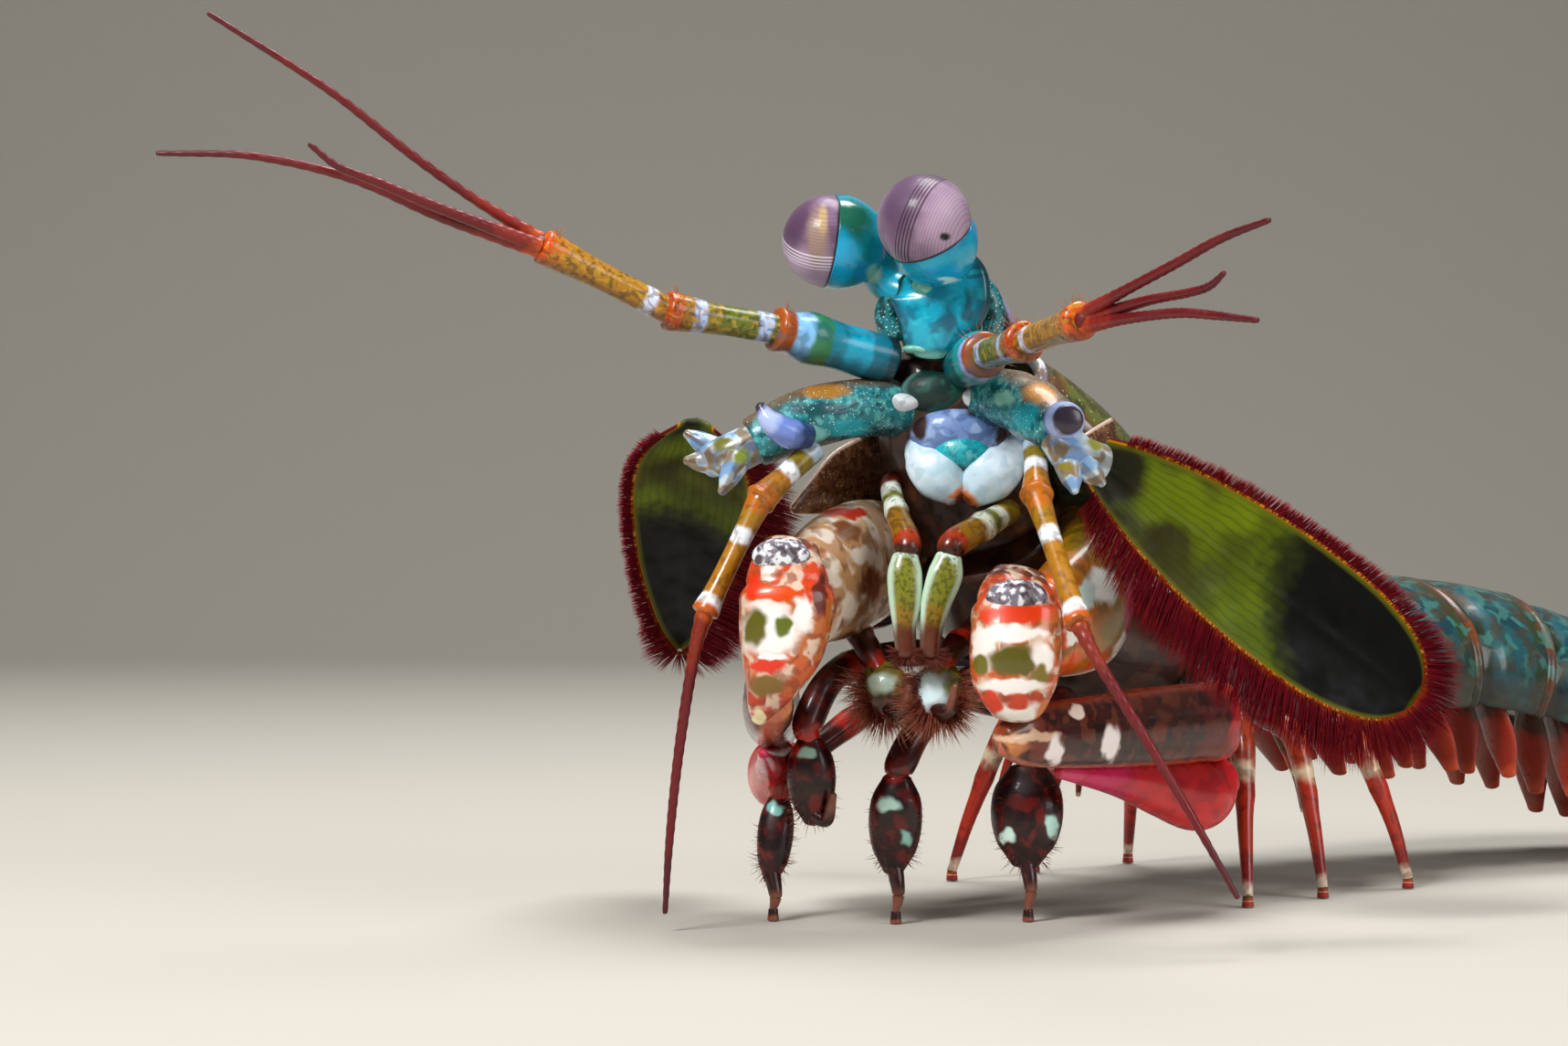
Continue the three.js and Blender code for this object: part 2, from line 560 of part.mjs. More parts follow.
// Fringe bristles stand out from the edge as tapered vanes, long on one edge and round the tip.
function fringe(shape) {
  const place = scaleFrame(shape);
  const flat = place(0, 0, 1).sub(place(0, 0, 0));
  return Array.from({ length: FRINGE_VANES }, (_, i) => {
    const turn = (2 * (i + 0.5)) / FRINGE_VANES;
    const side = turn < 1 ? -1 : 1;
    const t = 1 - (1 - (turn < 1 ? turn : 2 - turn)) ** 1.35;
    const x = t * SCALE_LENGTH;
    const halfWidth = along(shape.outline, t, 1);
    const y = side * halfWidth;
    const lean = t * t * 1.35;
    const out = [Math.sin(lean), side * Math.cos(lean)];
    const reach = along(BRISTLES, t, side === shape.long ? 2 : 1) * (1 + 0.06 * Math.sin(i * 2.4));
    const root = place(x - out[0], y - out[1], bow(1 - 1 / Math.max(1.6, halfWidth), shape.camber));
    const tip = place(x + out[0] * reach, y + out[1] * reach, 0.1 * Math.sin(i * 1.7));
    return spine(root.toArray(), tip.toArray(), 0.95, 0.34, flat);
  });
}

function antennalScale(shape, grow) {
  const blade = scaleBlade(shape, grow);
  return grow ? blade : join([blade, ...fringe(shape)]);
}

// A small round foot with a flat sole on the floor.
function foot(x, y, height, grow) {
  const pad = new THREE.CylinderGeometry(0.55 + grow, 0.75 + grow, height + grow, 8);
  pad.rotateX(Math.PI / 2).translate(x, y, (height + grow) / 2);
  return solid(pad);
}

// SMALL MOUTH LIMBS
// First pair: thin arms that bend at an elbow and end in long oval palms, side by side.
const CLEANERS = {
  right: {
    arm: [[10.6, 7.6, 36.0, 0.8], [8.9, 3.4, 36.2, 0.85], [9.3, -1.2, 33.6, 0.95], [10.0, -4.0, 31.4, 1.15]],
    palm: [[9.9, -4.6, 30.4, 1.15, 0.8], [9.6, -5.2, 28.8, 1.4, 0.8], [9.4, -5.6, 26.4, 1.15, 0.75],
      [9.6, -5.8, 24.0, 0.95, 0.7], [9.8, -5.8, 22.4, 1.3, 0.8]],
  },
  left: {
    arm: [[19.0, 6.6, 34.4, 0.9], [18.6, 2.6, 34.0, 1.0], [16.0, -2.0, 32.6, 1.15], [13.7, -4.4, 31.3, 1.2]],
    palm: [[13.4, -4.9, 30.4, 1.15, 0.8], [12.9, -5.3, 28.8, 1.4, 0.8], [12.2, -5.7, 26.4, 1.15, 0.75],
      [11.9, -5.9, 24.0, 0.95, 0.7], [11.9, -5.9, 22.4, 1.3, 0.8]],
  },
};
const CLEANER_BACK = new THREE.Vector3(0, 1, 0.2);

function cleaner(shape, grow) {
  const [start, next] = shape.palm;
  const arm = [...shape.arm, [...start.slice(0, 3), 0.9], [...next.slice(0, 3), 0.7]];
  return join([
    limb(arm, { sides: 6, grow, wanted: CLEANER_BACK }),
    limb(shape.palm, { sides: 8, round: [0.4, 0.4], grow, wanted: CLEANER_BACK }),
  ]);
}

// Third to fifth pairs: an arm, a rounded palm and a small claw. The palms of the third have bristles,
// and three of the claws stand on the floor.
const PICKERS = {
  third_right: {
    arm: [[12.4, 11.0, 26.4, 1.0], [6.6, 6.6, 24.6, 1.05], [6.9, 0.6, 22.6, 1.1]],
    palm: [[7.5, -1.4, 21.2], [8.4, -3.0, 17.6]], size: [2.2, 1.3], brush: true,
  },
  third_left: {
    arm: [[18.4, 9.4, 26.4, 1.0], [16.0, 5.0, 24.2, 1.05], [13.6, -0.6, 22.4, 1.1]],
    palm: [[13.0, -2.8, 21.2], [11.9, -4.6, 17.4]], size: [2.5, 1.3], brush: true,
  },
  fourth_right: {
    arm: [[16.4, 14.2, 21.6, 1.0], [9.6, 7.6, 22.0, 1.1], [4.4, 1.6, 20.6, 1.2], [2.0, -0.6, 16.8, 1.3]],
    palm: [[2.1, -1.0, 15.2], [2.4, -0.8, 8.6]], size: [2.0, 1.5],
  },
  fourth_left: {
    arm: [[21.6, 13.2, 20.6, 1.0], [16.4, 6.6, 20.4, 1.1], [11.6, 2.2, 16.4, 1.2], [9.6, 0.6, 13.2, 1.3]],
    palm: [[9.3, 0.4, 12.0], [9.0, 1.0, 4.4]], size: [2.2, 1.6], floor: true,
  },
  fifth_right: {
    arm: [[19.0, 18.4, 17.0, 1.0], [10.6, 11.6, 18.6, 1.1], [3.0, 6.6, 14.4, 1.1], [0.0, 4.8, 11.6, 1.2]],
    palm: [[-0.4, 4.4, 10.2], [-1.1, 3.2, 3.4]], size: [1.5, 1.3], floor: true,
  },
  fifth_left: {
    arm: [[25.0, 17.0, 16.6, 1.0], [23.2, 9.4, 18.0, 1.1], [20.6, 4.4, 14.2, 1.3]],
    palm: [[20.3, 3.6, 12.6], [20.0, 2.6, 4.8]], size: [3.0, 1.9], floor: true,
  },
};
const PICKER_BACK = new THREE.Vector3(0.1, 1, 0.15);
// Shares along a palm, with its size at each as a share of the greatest.
const PALM_SHAPE = [[0, 0.55], [0.22, 0.92], [0.5, 1], [0.78, 0.82], [1, 0.4]];

// Where a claw ends: on the floor below the palm, or folded up in front of it.
function clawTip(shape) {
  const end = point(shape.palm[1]);
  const reach = shape.floor ? new THREE.Vector3(0.2, -0.4, 1 - end.z) : new THREE.Vector3(1.6, -1.7, 2.2);
  return end.add(reach);
}

function brush(shape, grow) {
  const [a, b] = shape.palm;
  const middle = point(between(a, b, 0.62));
  return Array.from({ length: BRUSH_VANES }, (_, i) => {
    const turn = mix(-1.3, 1.3, i / (BRUSH_VANES - 1));
    const out = new THREE.Vector3(Math.sin(turn), -0.25, -Math.cos(turn));
    const at = (far) => middle.clone().addScaledVector(out, far).toArray();
    const reach = shape.size[0] + 2.2 + 0.3 * Math.sin(i * 2.1);
    return spine(at(shape.size[0] * 0.5), at(reach), 0.55, 0.4, PICKER_BACK, grow);
  });
}

function picker(shape, grow) {
  const [a, b] = shape.palm;
  const palm = PALM_SHAPE.map(([t, k]) => [...between(a, b, t), shape.size[0] * k, shape.size[1] * k]);
  const tip = clawTip(shape);
  const bend = point(b).lerp(tip, 0.5).add(new THREE.Vector3(0.3, -0.3, shape.floor ? 0 : -0.9));
  const claw = [[...between(a, b, 0.9), 0.75], [...bend.toArray(), 0.55], [...tip.toArray(), 0.34]];
  const arm = [...shape.arm, [...a, 0.85], [...between(a, b, 0.2), 0.7]];
  const pieces = [
    limb(arm, { sides: 6, grow }),
    limb(palm, { round: [0.4, 0.4], grow, wanted: PICKER_BACK }),
    limb(claw, { sides: 5, grow }),
  ];
  if (shape.brush) pieces.push(...brush(shape, grow));
  if (shape.floor) pieces.push(foot(tip.x, tip.y, tip.z + 0.6, grow));
  return join(pieces);
}

// RAPTORIAL LIMBS: arm, wrist, forearm folded back under the arm, and the hammer folded under the forearm.
const CLUBS = {
  right: {
    arm: [[14.6, 15.8, 28.6, 2.0, 2.6], [10.4, 12.6, 30.2, 2.8, 3.9], [7.0, 6.6, 29.8, 3.4, 5.2],
      [4.2, 0.6, 28.6, 3.4, 5.3],
      [2.0, -4.4, 27.4, 2.9, 4.4], [0.9, -6.8, 26.9, 2.4, 3.5]],
    wrist: [[0.6, -8.2, 31.2, 2.2, 1.2], [0.3, -9.4, 29.2, 3.1, 2.2], [0.2, -10.2, 26.2, 3.7, 2.7],
      [-0.2, -10.4, 23.2, 3.4, 2.6], [-0.9, -10.4, 20.6, 2.4, 2.2], [-1.7, -10.2, 18.5, 1.3, 1.3],
        [-2.0, -10.0, 17.4, 0.6, 0.6]],
    forearm: [[-0.9, -7.2, 18.8, 1.6, 1.8], [-1.2, -4.6, 18.6, 2.0, 2.8], [-1.3, 0.2, 18.2, 2.1, 3.2],
      [-1.2, 5.0, 17.6, 2.1, 3.3],
      [-0.6, 10.4, 17.0, 2.0, 3.2]],
    hammer: [[-0.5, 12.0, 13.2, 1.9, 1.9], [-0.7, 9.8, 11.8, 2.4, 3.0], [-1.0, 6.4, 12.2, 1.7, 2.1],
      [-1.3, 1.4, 13.2, 1.0, 1.2],
      [-1.7, -5.4, 14.4, 0.4, 0.4]],
  },
  left: {
    arm: [[19.8, 15.2, 28.8, 2.0, 2.6], [23.8, 12.2, 30.4, 2.8, 3.9], [25.8, 6.8, 28.8, 3.4, 5.4],
      [25.0, 1.0, 26.6, 3.5, 5.6],
      [22.2, -4.2, 25.0, 2.9, 4.6], [20.6, -6.8, 24.4, 2.4, 3.5]],
    wrist: [[18.7, -9.2, 28.8, 2.2, 1.2], [18.4, -10.8, 26.8, 3.2, 2.3], [18.3, -11.8, 23.8, 3.6, 2.8],
      [18.2, -12.0, 21.0, 3.5, 2.7],
      [18.2, -11.7, 19.0, 2.7, 2.2], [18.1, -11.3, 18.0, 1.8, 1.6]],
    forearm: [[17.4, -11.4, 15.8, 1.2, 1.3], [19.6, -9.2, 16.0, 1.9, 2.4], [25.4, -3.0, 16.1, 2.2, 3.0],
      [32.0, 4.2, 16.2, 2.3, 3.3],
      [37.0, 9.6, 16.3, 2.1, 3.3]],
    hammer: [[37.2, 11.0, 11.2, 1.7, 1.8], [35.2, 9.2, 9.7, 2.5, 2.9], [31.6, 5.4, 10.4, 1.9, 2.2],
      [27.4, 0.4, 11.5, 1.1, 1.3],
      [22.2, -5.4, 12.5, 0.4, 0.4]],
  },
};
// How far each length's ends are rounded off.
const CLUB_ENDS = { arm: [0, 0.4], wrist: [0.5, 0.3], forearm: [0.5, 0.8], hammer: [0.9, 0.5] };
const CLUB_COLOURS = { arm: "olive", wrist: "cream", forearm: "maroon", hammer: "scarlet" };

// TRUNK
// Half a somite's outline from the ridge to the tip of its side flap, in shares of its half width and height.
const SOMITE_OUTLINE = [
  [0, 1], [0.32, 0.95], [0.6, 0.78], [0.83, 0.5], [0.97, 0.12], [1.0, -0.28], [0.93, -0.62], [0.8, -0.5],
    [0.66, -0.36],
  [0, -0.44],
];
// Shares of a somite's length, with its size at each: it narrows where it slips under the one before.
const SOMITE_SHAPE = [[0, 0.93], [0.3, 0.98], [1, 1]];
// The four free chest somites and the six tail somites: length, half width and half height.
const SOMITES = [
  ["chest_somite_5", 3.2, 10.6, 6.5], ["chest_somite_6", 5.2, 11.2, 6.8], ["chest_somite_7", 5.6, 11.7, 7.0],
  ["chest_somite_8", 6.0, 12.0, 7.2], ["tail_somite_1", 9.6, 12.4, 7.4], ["tail_somite_2", 10.2, 12.6, 7.5],
  ["tail_somite_3", 10.2, 12.6, 7.4], ["tail_somite_4", 10.0, 12.4, 7.1], ["tail_somite_5", 9.6, 12.0, 6.7],
  ["tail_somite_6", 8.2, 11.2, 5.9],
];
const CHEST_END = 24.2;
const FIRST_SWIMMERET = 4;
const LAST_SWIMMERET = 8;

function somite(from, to, halfWidth, halfHeight, grow) {
  const mirrored = SOMITE_OUTLINE.slice(1, -1).reverse().map(([x, z]) => [-x, z]);
  const rings = SOMITE_SHAPE.map(([t, k], i) => {
    const end = i === 0 ? -grow : i === SOMITE_SHAPE.length - 1 ? grow : 0;
    const frame = frameAt(mix(from, to, t) + end);
    const outline = [...SOMITE_OUTLINE, ...mirrored].map(([x, z]) => [x * halfWidth * k, z * halfHeight * k]);
    return widened(outline, grow).map(([x, z]) => inFrame(frame, x, 0, z));
  });
  return solid(loft(rings));
}

// Swimmerets: two leaf blades on each side, under each of the first five tail somites.
function swimmerets(middle, halfWidth, grow) {
  const frame = frameAt(middle);
  const wanted = frame.tailward.clone().multiplyScalar(0.8).addScaledVector(frame.back, 0.6);
  const blade = (hand, root, spread) => {
    const at = (share, y, z) => inFrame(frame, hand * halfWidth * share, y, z).toArray();
    const line = [[...at(root, -1.4, -1.8), 1.7, 1.0], [...at(root + spread, 0.8, -6.6), 2.0, 0.5],
      [...at(root + spread * 1.2, 3.0, -10.4), 0.9, 0.3]];
    return limb(line, { sides: 4, grow, wanted });
  };
  return [-1, 1].flatMap((hand) => [blade(hand, 0.44, -0.12), blade(hand, 0.62, 0.14)]);
}

// TAIL FAN
// Shares of the telson's length, with shares of its half width and its height.
const TELSON_SHAPE = [[0, 0.9, 3.6], [0.15, 1, 3.7], [0.4, 1, 3.3], [0.65, 0.9, 2.5], [0.85, 0.72, 1.7],
  [1, 0.5, 1.0]];
const TELSON_SECTION = [
  [-1, 0.1], [-0.72, 0.62], [-0.42, 0.84], [-0.12, 0.94], [0, 1.12], [0.12, 0.94], [0.42, 0.84],
    [0.72, 0.62], [1, 0.1],
  [0.8, -0.25], [-0.8, -0.25],
];
// The teeth of its rear edge: where each is rooted, how far back it reaches, and where it ends.
const TELSON_TEETH = [[0.22, 1.0, 0.2], [0.58, 0.9, 0.56], [0.93, 0.68, 0.98]];

function telson(from, grow) {
  const place = (x, y, z) => alongTrunk(from + y, x, z);
  const rings = TELSON_SHAPE.map(([t, w, h], i) => {
    const y = t * TELSON_LENGTH * 0.8 + (i === 0 ? -grow : i === TELSON_SHAPE.length - 1 ? grow : 0);
    const half = w * TELSON_HALF_WIDTH + grow;
    return TELSON_SECTION.map(([x, z]) => place(x * half, y, z * (h + grow) - 0.6)).reverse();
  });
  const teeth = [-1, 1].flatMap((hand) => TELSON_TEETH.map(([x, reach, out]) => {
    const root = place(hand * x * TELSON_HALF_WIDTH * 0.86, TELSON_LENGTH * (0.62 - 0.3 * (x - 0.22)), -0.35);
    const end = place(hand * out * TELSON_HALF_WIDTH * 0.92, TELSON_LENGTH * reach, -0.5);
    return spine(root.toArray(), end.toArray(), 1.7, 1.0, UP, grow);
  }));
  return join([solid(loft(rings)), ...teeth]);
}

// One uropod, as [aside, back, up, half width, half height] from the telson's front edge: a stout root,
// an outer blade of two lengths, an inner blade and a spine.
const UROPOD = [
  [[6.4, -4.6, -2.6, 1.8, 1.3], [8.8, -1.6, -3.4, 2.1, 1.4], [10.4, 2.0, -3.6, 1.9, 1.2]],
  [[10.4, 1.4, -3.6, 1.8, 0.9], [12.6, 5.6, -4.0, 2.0, 0.8], [13.8, 9.4, -4.2, 1.7, 0.6]],
  [[13.6, 8.8, -4.2, 1.4, 0.5], [14.6, 12.2, -4.3, 2.6, 0.42], [15.2, 16.2, -4.3, 1.6, 0.3]],
  [[9.6, 2.0, -4.3, 1.0, 0.6], [10.8, 7.0, -4.6, 1.8, 0.5], [11.2, 12.8, -4.7, 1.3, 0.32]],
  [[7.8, 0.6, -4.6, 1.1, 0.7], [7.8, 5.6, -5.0, 0.9, 0.5], [7.2, 11.4, -4.9, 0.36, 0.3]],
];
const UROPOD_FOOT = [14.6, 12.2, -4.3];

function uropod(hand, from, grow) {
  const at = ([x, y, z]) => alongTrunk(from + y, hand * x, z).toArray();
  const blades = UROPOD.map((line) => limb(line.map((s) => [...at(s), s[3], s[4]]), { sides: 6, grow }));
  const [x, y, z] = at(UROPOD_FOOT);
  const pieces = [...blades, foot(x, y, z + 0.2, grow)];
  if (grow) return join(pieces);
  for (let i = 0; i < BLADE_SPINES; i++) {
    const t = i / (BLADE_SPINES - 1);
    const root = at([mix(11.4, 14.2, t), mix(3.6, 9.4, t), -4.0]);
    pieces.push(spine(root, at([mix(14.6, 17.2, t), mix(5.6, 12.4, t), -4.0]), 0.6, 0.5));
  }
  for (let i = 0; i < FAN_VANES; i++) {
    const turn = mix(-0.8, 1.15, i / (FAN_VANES - 1));
    const out = [Math.sin(turn), Math.cos(turn)];
    const root = at([14.8 + out[0] * 1.4, 12.8 + out[1] * 2.0, -4.3]);
    pieces.push(spine(root, at([14.8 + out[0] * 4.0, 12.8 + out[1] * 5.6, -4.3]), 0.7, 0.34));
  }
  return join(pieces);
}

// WALKING LEGS: three thin pairs under the last chest somites, each on a small flat foot.
const LEG_SWINGS = [-7.5, -1.5, 5.5];
const LEG_REACH = 15.5;
const KNEE_HEIGHT = 7;

function leg(order, hand, grow) {
  const before = SOMITES.slice(0, order).reduce((sum, [, length]) => sum + length, 0);
  const frame = frameAt(CHEST_END + before + SOMITES[order][1] / 2);
  const swing = LEG_SWINGS[order - 1];
  const at = (x, y, z) => inFrame(frame, hand * x, y, z).toArray();
  const [shinX, shinY] = at(LEG_REACH, swing * 0.8, 0);
  const [toeX, toeY] = at(LEG_REACH + 1.4, swing, 0);
  const line = [
    [...at(6.0, 0, -2.0), 1.1], [...at(9.6, swing * 0.15, -3.8), 1.0],
      [...at(13.2, swing * 0.35, -5.6), 1.05],
    [shinX, shinY, KNEE_HEIGHT, 0.7], [toeX, toeY, 1.0, 0.5],
  ];
  const branch = [
    [...at(11.0, swing * 0.25, -4.8), 0.5], [...at(12.6, swing * 0.6 + 1.6, -8.6), 0.45],
    [...at(13.2, swing * 0.8 + 2.4, -12.0), 0.3],
  ];
  const sole = foot(toeX, toeY, 1.3, grow);
  return join([limb(line, { sides: 6, grow }), sole, limb(branch, { sides: 4, grow })]);
}

// Putting the animal together. The order matters: a later node is cut clear of the earlier ones.
const headGroup = group("head_group");
const trunkGroup = group("trunk_group");
const limbGroup = group("limb_group");
const HANDS = [["right", -1], ["left", 1]];

add(headGroup, "face", "turquoise", face);
add(headGroup, "head", "turquoise", head);
add(headGroup, "chest", "cream", chest);
add(headGroup, "carapace", "shield", carapace);
add(headGroup, "rostrum", "shield", rostrum);
add(headGroup, "upper_lip", "turquoise", upperLip);
for (const [hand] of HANDS) {
  const { joints, feelers: lines } = ANTENNULES[hand];
  add(headGroup, `eye_${hand}`, "cornea", (grow) => cornea(EYES[hand], grow), { roughness: 0.15 });
  add(headGroup, `eyestalk_${hand}`, "turquoise", (grow) => eyestalk(EYES[hand], grow));
  add(headGroup, `jaw_${hand}`, "cream", (grow) => jaw(JAWS[hand], grow));
  add(headGroup, `antennule_${hand}`, "olive", (grow) => antennule(joints, grow));
  add(headGroup, `antennule_feelers_${hand}`, "crimson", (grow) => feelers(lines, grow));
  add(headGroup, `antenna_root_${hand}`, "turquoise", (grow) => antennaRoot(ANTENNAE[hand], grow));
  add(headGroup, `antenna_joint_${hand}`, "cream", (grow) => antennaJoint(ANTENNAE[hand], grow));
  add(headGroup, `antenna_feeler_${hand}`, "orange", (grow) => antennaFeeler(ANTENNAE[hand], grow));
}

let distance = CHEST_END + SOMITE_GAP;
SOMITES.forEach(([name, length, halfWidth, halfHeight], i) => {
  const from = distance;
  const to = distance + length - SOMITE_GAP;
  const hasSwimmerets = i >= FIRST_SWIMMERET && i <= LAST_SWIMMERET;
  add(trunkGroup, name, "teal", (grow) => join([
    somite(from, to, halfWidth, halfHeight, grow),
    ...(hasSwimmerets ? swimmerets((from + to) / 2, halfWidth, grow) : []),
  ]));
  distance += length;
});
const telsonFrom = distance;
add(trunkGroup, "telson", "teal", (grow) => telson(telsonFrom, grow));
for (const [hand, sign] of HANDS)
  add(trunkGroup, `uropod_${hand}`, "scarlet", (grow) => uropod(sign, telsonFrom, grow));

for (const [hand] of HANDS) {
  for (const [name, round] of Object.entries(CLUB_ENDS))
    add(limbGroup, `club_${name}_${hand}`, CLUB_COLOURS[name],
      (grow) => limb(CLUBS[hand][name], { sides: 9, round, grow }));
  add(limbGroup, `cleaner_${hand}`, "cream", (grow) => cleaner(CLEANERS[hand], grow));
}
for (const [name, shape] of Object.entries(PICKERS))
  add(limbGroup, `picker_${name}`, "maroon", (grow) => picker(shape, grow));
for (const order of [1, 2, 3])
  for (const [hand, sign] of HANDS)
    add(limbGroup, `leg_${order}_${hand}`, "scarlet", (grow) => leg(order, sign, grow));
for (const [hand] of HANDS)
  add(headGroup, `antennal_scale_${hand}`, "olive", (grow) => antennalScale(SCALES[hand], grow),
    { cuts: false });

// The origin is under the middle of the whole animal, on the floor.
part.updateMatrixWorld(true);
const box = new THREE.Box3().setFromObject(part);
const middle = box.getCenter(new THREE.Vector3());
part.position.set(-middle.x, -middle.y, -box.min.z);

export default part;
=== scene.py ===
"""A still peacock mantis shrimp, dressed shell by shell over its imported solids.

Shapes are worked out in millimetres in the animal's own layout, and set in the frame in metres.
"""
import math

import bpy
import numpy as np
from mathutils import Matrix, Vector
from mathutils.bvhtree import BVHTree


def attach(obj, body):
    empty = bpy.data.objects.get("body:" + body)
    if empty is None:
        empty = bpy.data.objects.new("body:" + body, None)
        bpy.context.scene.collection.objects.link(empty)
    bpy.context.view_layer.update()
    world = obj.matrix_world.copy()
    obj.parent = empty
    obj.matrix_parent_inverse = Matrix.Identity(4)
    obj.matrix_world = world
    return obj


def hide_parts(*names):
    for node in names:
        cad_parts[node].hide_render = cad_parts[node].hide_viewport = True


bl_info = {
    "name": "Mantis Shrimp",
    "version": (1, 0, 0),
    "blender": (4, 5, 0),
    "location": "View3D > Sidebar > Mantis Shrimp",
    "description": "Builds the shells, limbs, feelers and fringes of a peacock mantis shrimp",
    "category": "Add Mesh",
}

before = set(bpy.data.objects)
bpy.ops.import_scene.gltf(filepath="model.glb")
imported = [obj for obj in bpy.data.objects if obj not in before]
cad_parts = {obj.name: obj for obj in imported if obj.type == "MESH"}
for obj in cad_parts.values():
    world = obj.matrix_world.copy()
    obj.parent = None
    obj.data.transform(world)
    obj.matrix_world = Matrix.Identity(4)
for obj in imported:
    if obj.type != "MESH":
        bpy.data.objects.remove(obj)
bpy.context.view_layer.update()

MM = 0.001
UP = (0.0, 0.0, 1.0)
# Where the middle of the whole animal's box lies in the layout's millimetres.
LAYOUT_MIDDLE = np.array([31.822, 21.211, 0.0])

# The photograph: its size in pixels, one pixel's size at the face, and the camera in the layout.
PHOTO_WIDTH, PHOTO_HEIGHT = 1717, 1145
PIXEL_MM = 0.075
CAMERA_MM = np.array([0.0, -300.0, 33.0])
SENSOR_MM = 36.0


# Numbers and directions

def linear(colour):
    """A colour as the linear values that the shaders take, from an sRGB hex text or a picked colour."""
    if not isinstance(colour, str):
        return (*tuple(colour)[:3], 1.0)
    parts = [int(colour[i:i + 2], 16) / 255 for i in (1, 3, 5)]
    return tuple(c / 12.92 if c <= 0.04045 else ((c + 0.055) / 1.055) ** 2.4 for c in parts) + (1.0,)


def unit(vectors):
    """The vectors, each made one long."""
    vectors = np.asarray(vectors, float)
    return vectors / np.maximum(np.linalg.norm(vectors, axis=-1, keepdims=True), 1e-9)


def bell(values, middle, width):
    """A bump of height one round a middle value."""
    return np.exp(-((np.asarray(values) - middle) / width) ** 2)


def ease(values, low, high):
    """A smooth step from nought at low to one at high."""
    t = np.clip((np.asarray(values, float) - low) / (high - low), 0.0, 1.0)
    return t * t * (3 - 2 * t)


def smooth_path(stations, steps):
    """A smooth curve through the stations, with each number of a station carried along."""
    points = np.asarray(stations, float)
    led = np.vstack([2 * points[0] - points[1], points, 2 * points[-1] - points[-2]])
    t = (np.arange(steps) / steps)[:, None]
    rows = []
    for a, b, c, d in zip(led, led[1:], led[2:], led[3:]):
        rows.append(0.5 * (2 * b + (c - a) * t + (2 * a - 5 * b + 4 * c - d) * t ** 2
                           + (3 * b - a - 3 * c + d) * t ** 3))
    rows.append(points[-1:])
    return np.vstack(rows)


# Forms: points, faces and the values that the materials read

class Form:
    """A closed surface in millimetres. lie holds three values a point for the materials."""

    def __init__(self, points, faces, lie, finish=0):
        self.points = np.asarray(points, float)
        self.faces = faces
        self.lie = np.asarray(lie, float)
        self.finishes = [finish] * len(faces)


def joined(forms):
    """Several forms as one."""
    whole = Form(np.vstack([f.points for f in forms]), [], np.vstack([f.lie for f in forms]))
    start = 0
    for form in forms:
        whole.faces += [[start + i for i in face] for face in form.faces]
        whole.finishes += form.finishes
        start += len(form.points)
    return whole


def loft(rings, lie, finish=0):
    """Closed skin through rings of points, with a flat face at each end."""
    rows, n = rings.shape[:2]
    at = np.arange(rows * n).reshape(rows, n)
    turned = np.roll(at, -1, axis=1)
    quads = np.stack([at[:-1], turned[:-1], turned[1:], at[1:]], axis=-1).reshape(-1, 4).tolist()
    quads.append(at[0, ::-1].tolist())
    quads.append(at[-1].tolist())
    return Form(rings.reshape(-1, 3), quads, lie.reshape(-1, 3), finish)


# The rings of a tube's rounded end, the share of its size at the end's tip, and the least thickness in mm.
CAP_RINGS = 6
CAP_TIP = 0.04
THINNEST_MM = 0.03


def tube(stations, sides=36, steps=10, wanted=UP, caps=(0.3, 0.3), square=1.0, mould=None, finish=0):
    """A limb through stations [x, y, z, half width, half height], with rounded ends.

    mould(share, turn) swells or pinches it: share runs along it, and turn goes round it from its side
    by way of its upper face. Its lie is the share along it, the cosine and the sine of the turn.
    """
    full = [tuple(s) + (s[3],) * (5 - len(s)) for s in stations]
    path = smooth_path(full, steps)
    centre, size = path[:, :3], np.maximum(path[:, 3:5], THINNEST_MM)
    forward = unit(np.gradient(centre, axis=0))
    bends = np.linspace(0, math.pi / 2, CAP_RINGS + 1)[1:]
    for end, cap, sign in ((0, caps[0], -1), (-1, caps[1], 1)):
        if cap <= 0:
            continue
        out = centre[end] + sign * forward[end] * cap * np.sin(bends)[:, None]
        shrunk = size[end] * np.maximum(np.cos(bends), CAP_TIP)[:, None]
        along = np.repeat(forward[end][None], len(bends), axis=0)
        if end == 0:
            centre, size, forward = (np.vstack([new[::-1], old]) for new, old in
                                     ((out, centre), (shrunk, size), (along, forward)))
        else:
            centre, size, forward = (np.vstack([old, new]) for new, old in
                                     ((out, centre), (shrunk, size), (along, forward)))
    side = unit(np.cross(forward, wanted))
    upper = np.cross(side, forward)
    lengths = np.concatenate([[0], np.cumsum(np.linalg.norm(np.diff(centre, axis=0), axis=1))])
    share = (lengths / lengths[-1])[:, None]
    turn = np.linspace(0, 2 * math.pi, sides, endpoint=False)[None]
    c, s = np.cos(turn), np.sin(turn)
    x = np.sign(c) * np.abs(c) ** (1 / square) * size[:, :1]
    y = np.sign(s) * np.abs(s) ** (1 / square) * size[:, 1:]
    if mould:
        factor = mould(share, turn)
        x, y = x * factor, y * factor
    rings = centre[:, None] + side[:, None] * x[..., None] + upper[:, None] * y[..., None]
    lie = np.stack(np.broadcast_arrays(share, c, s), axis=-1)
    return loft(rings, lie, finish)


# The sides and the rows of an egg shape.
BALL_SIDES = 36
BALL_ROWS = 24


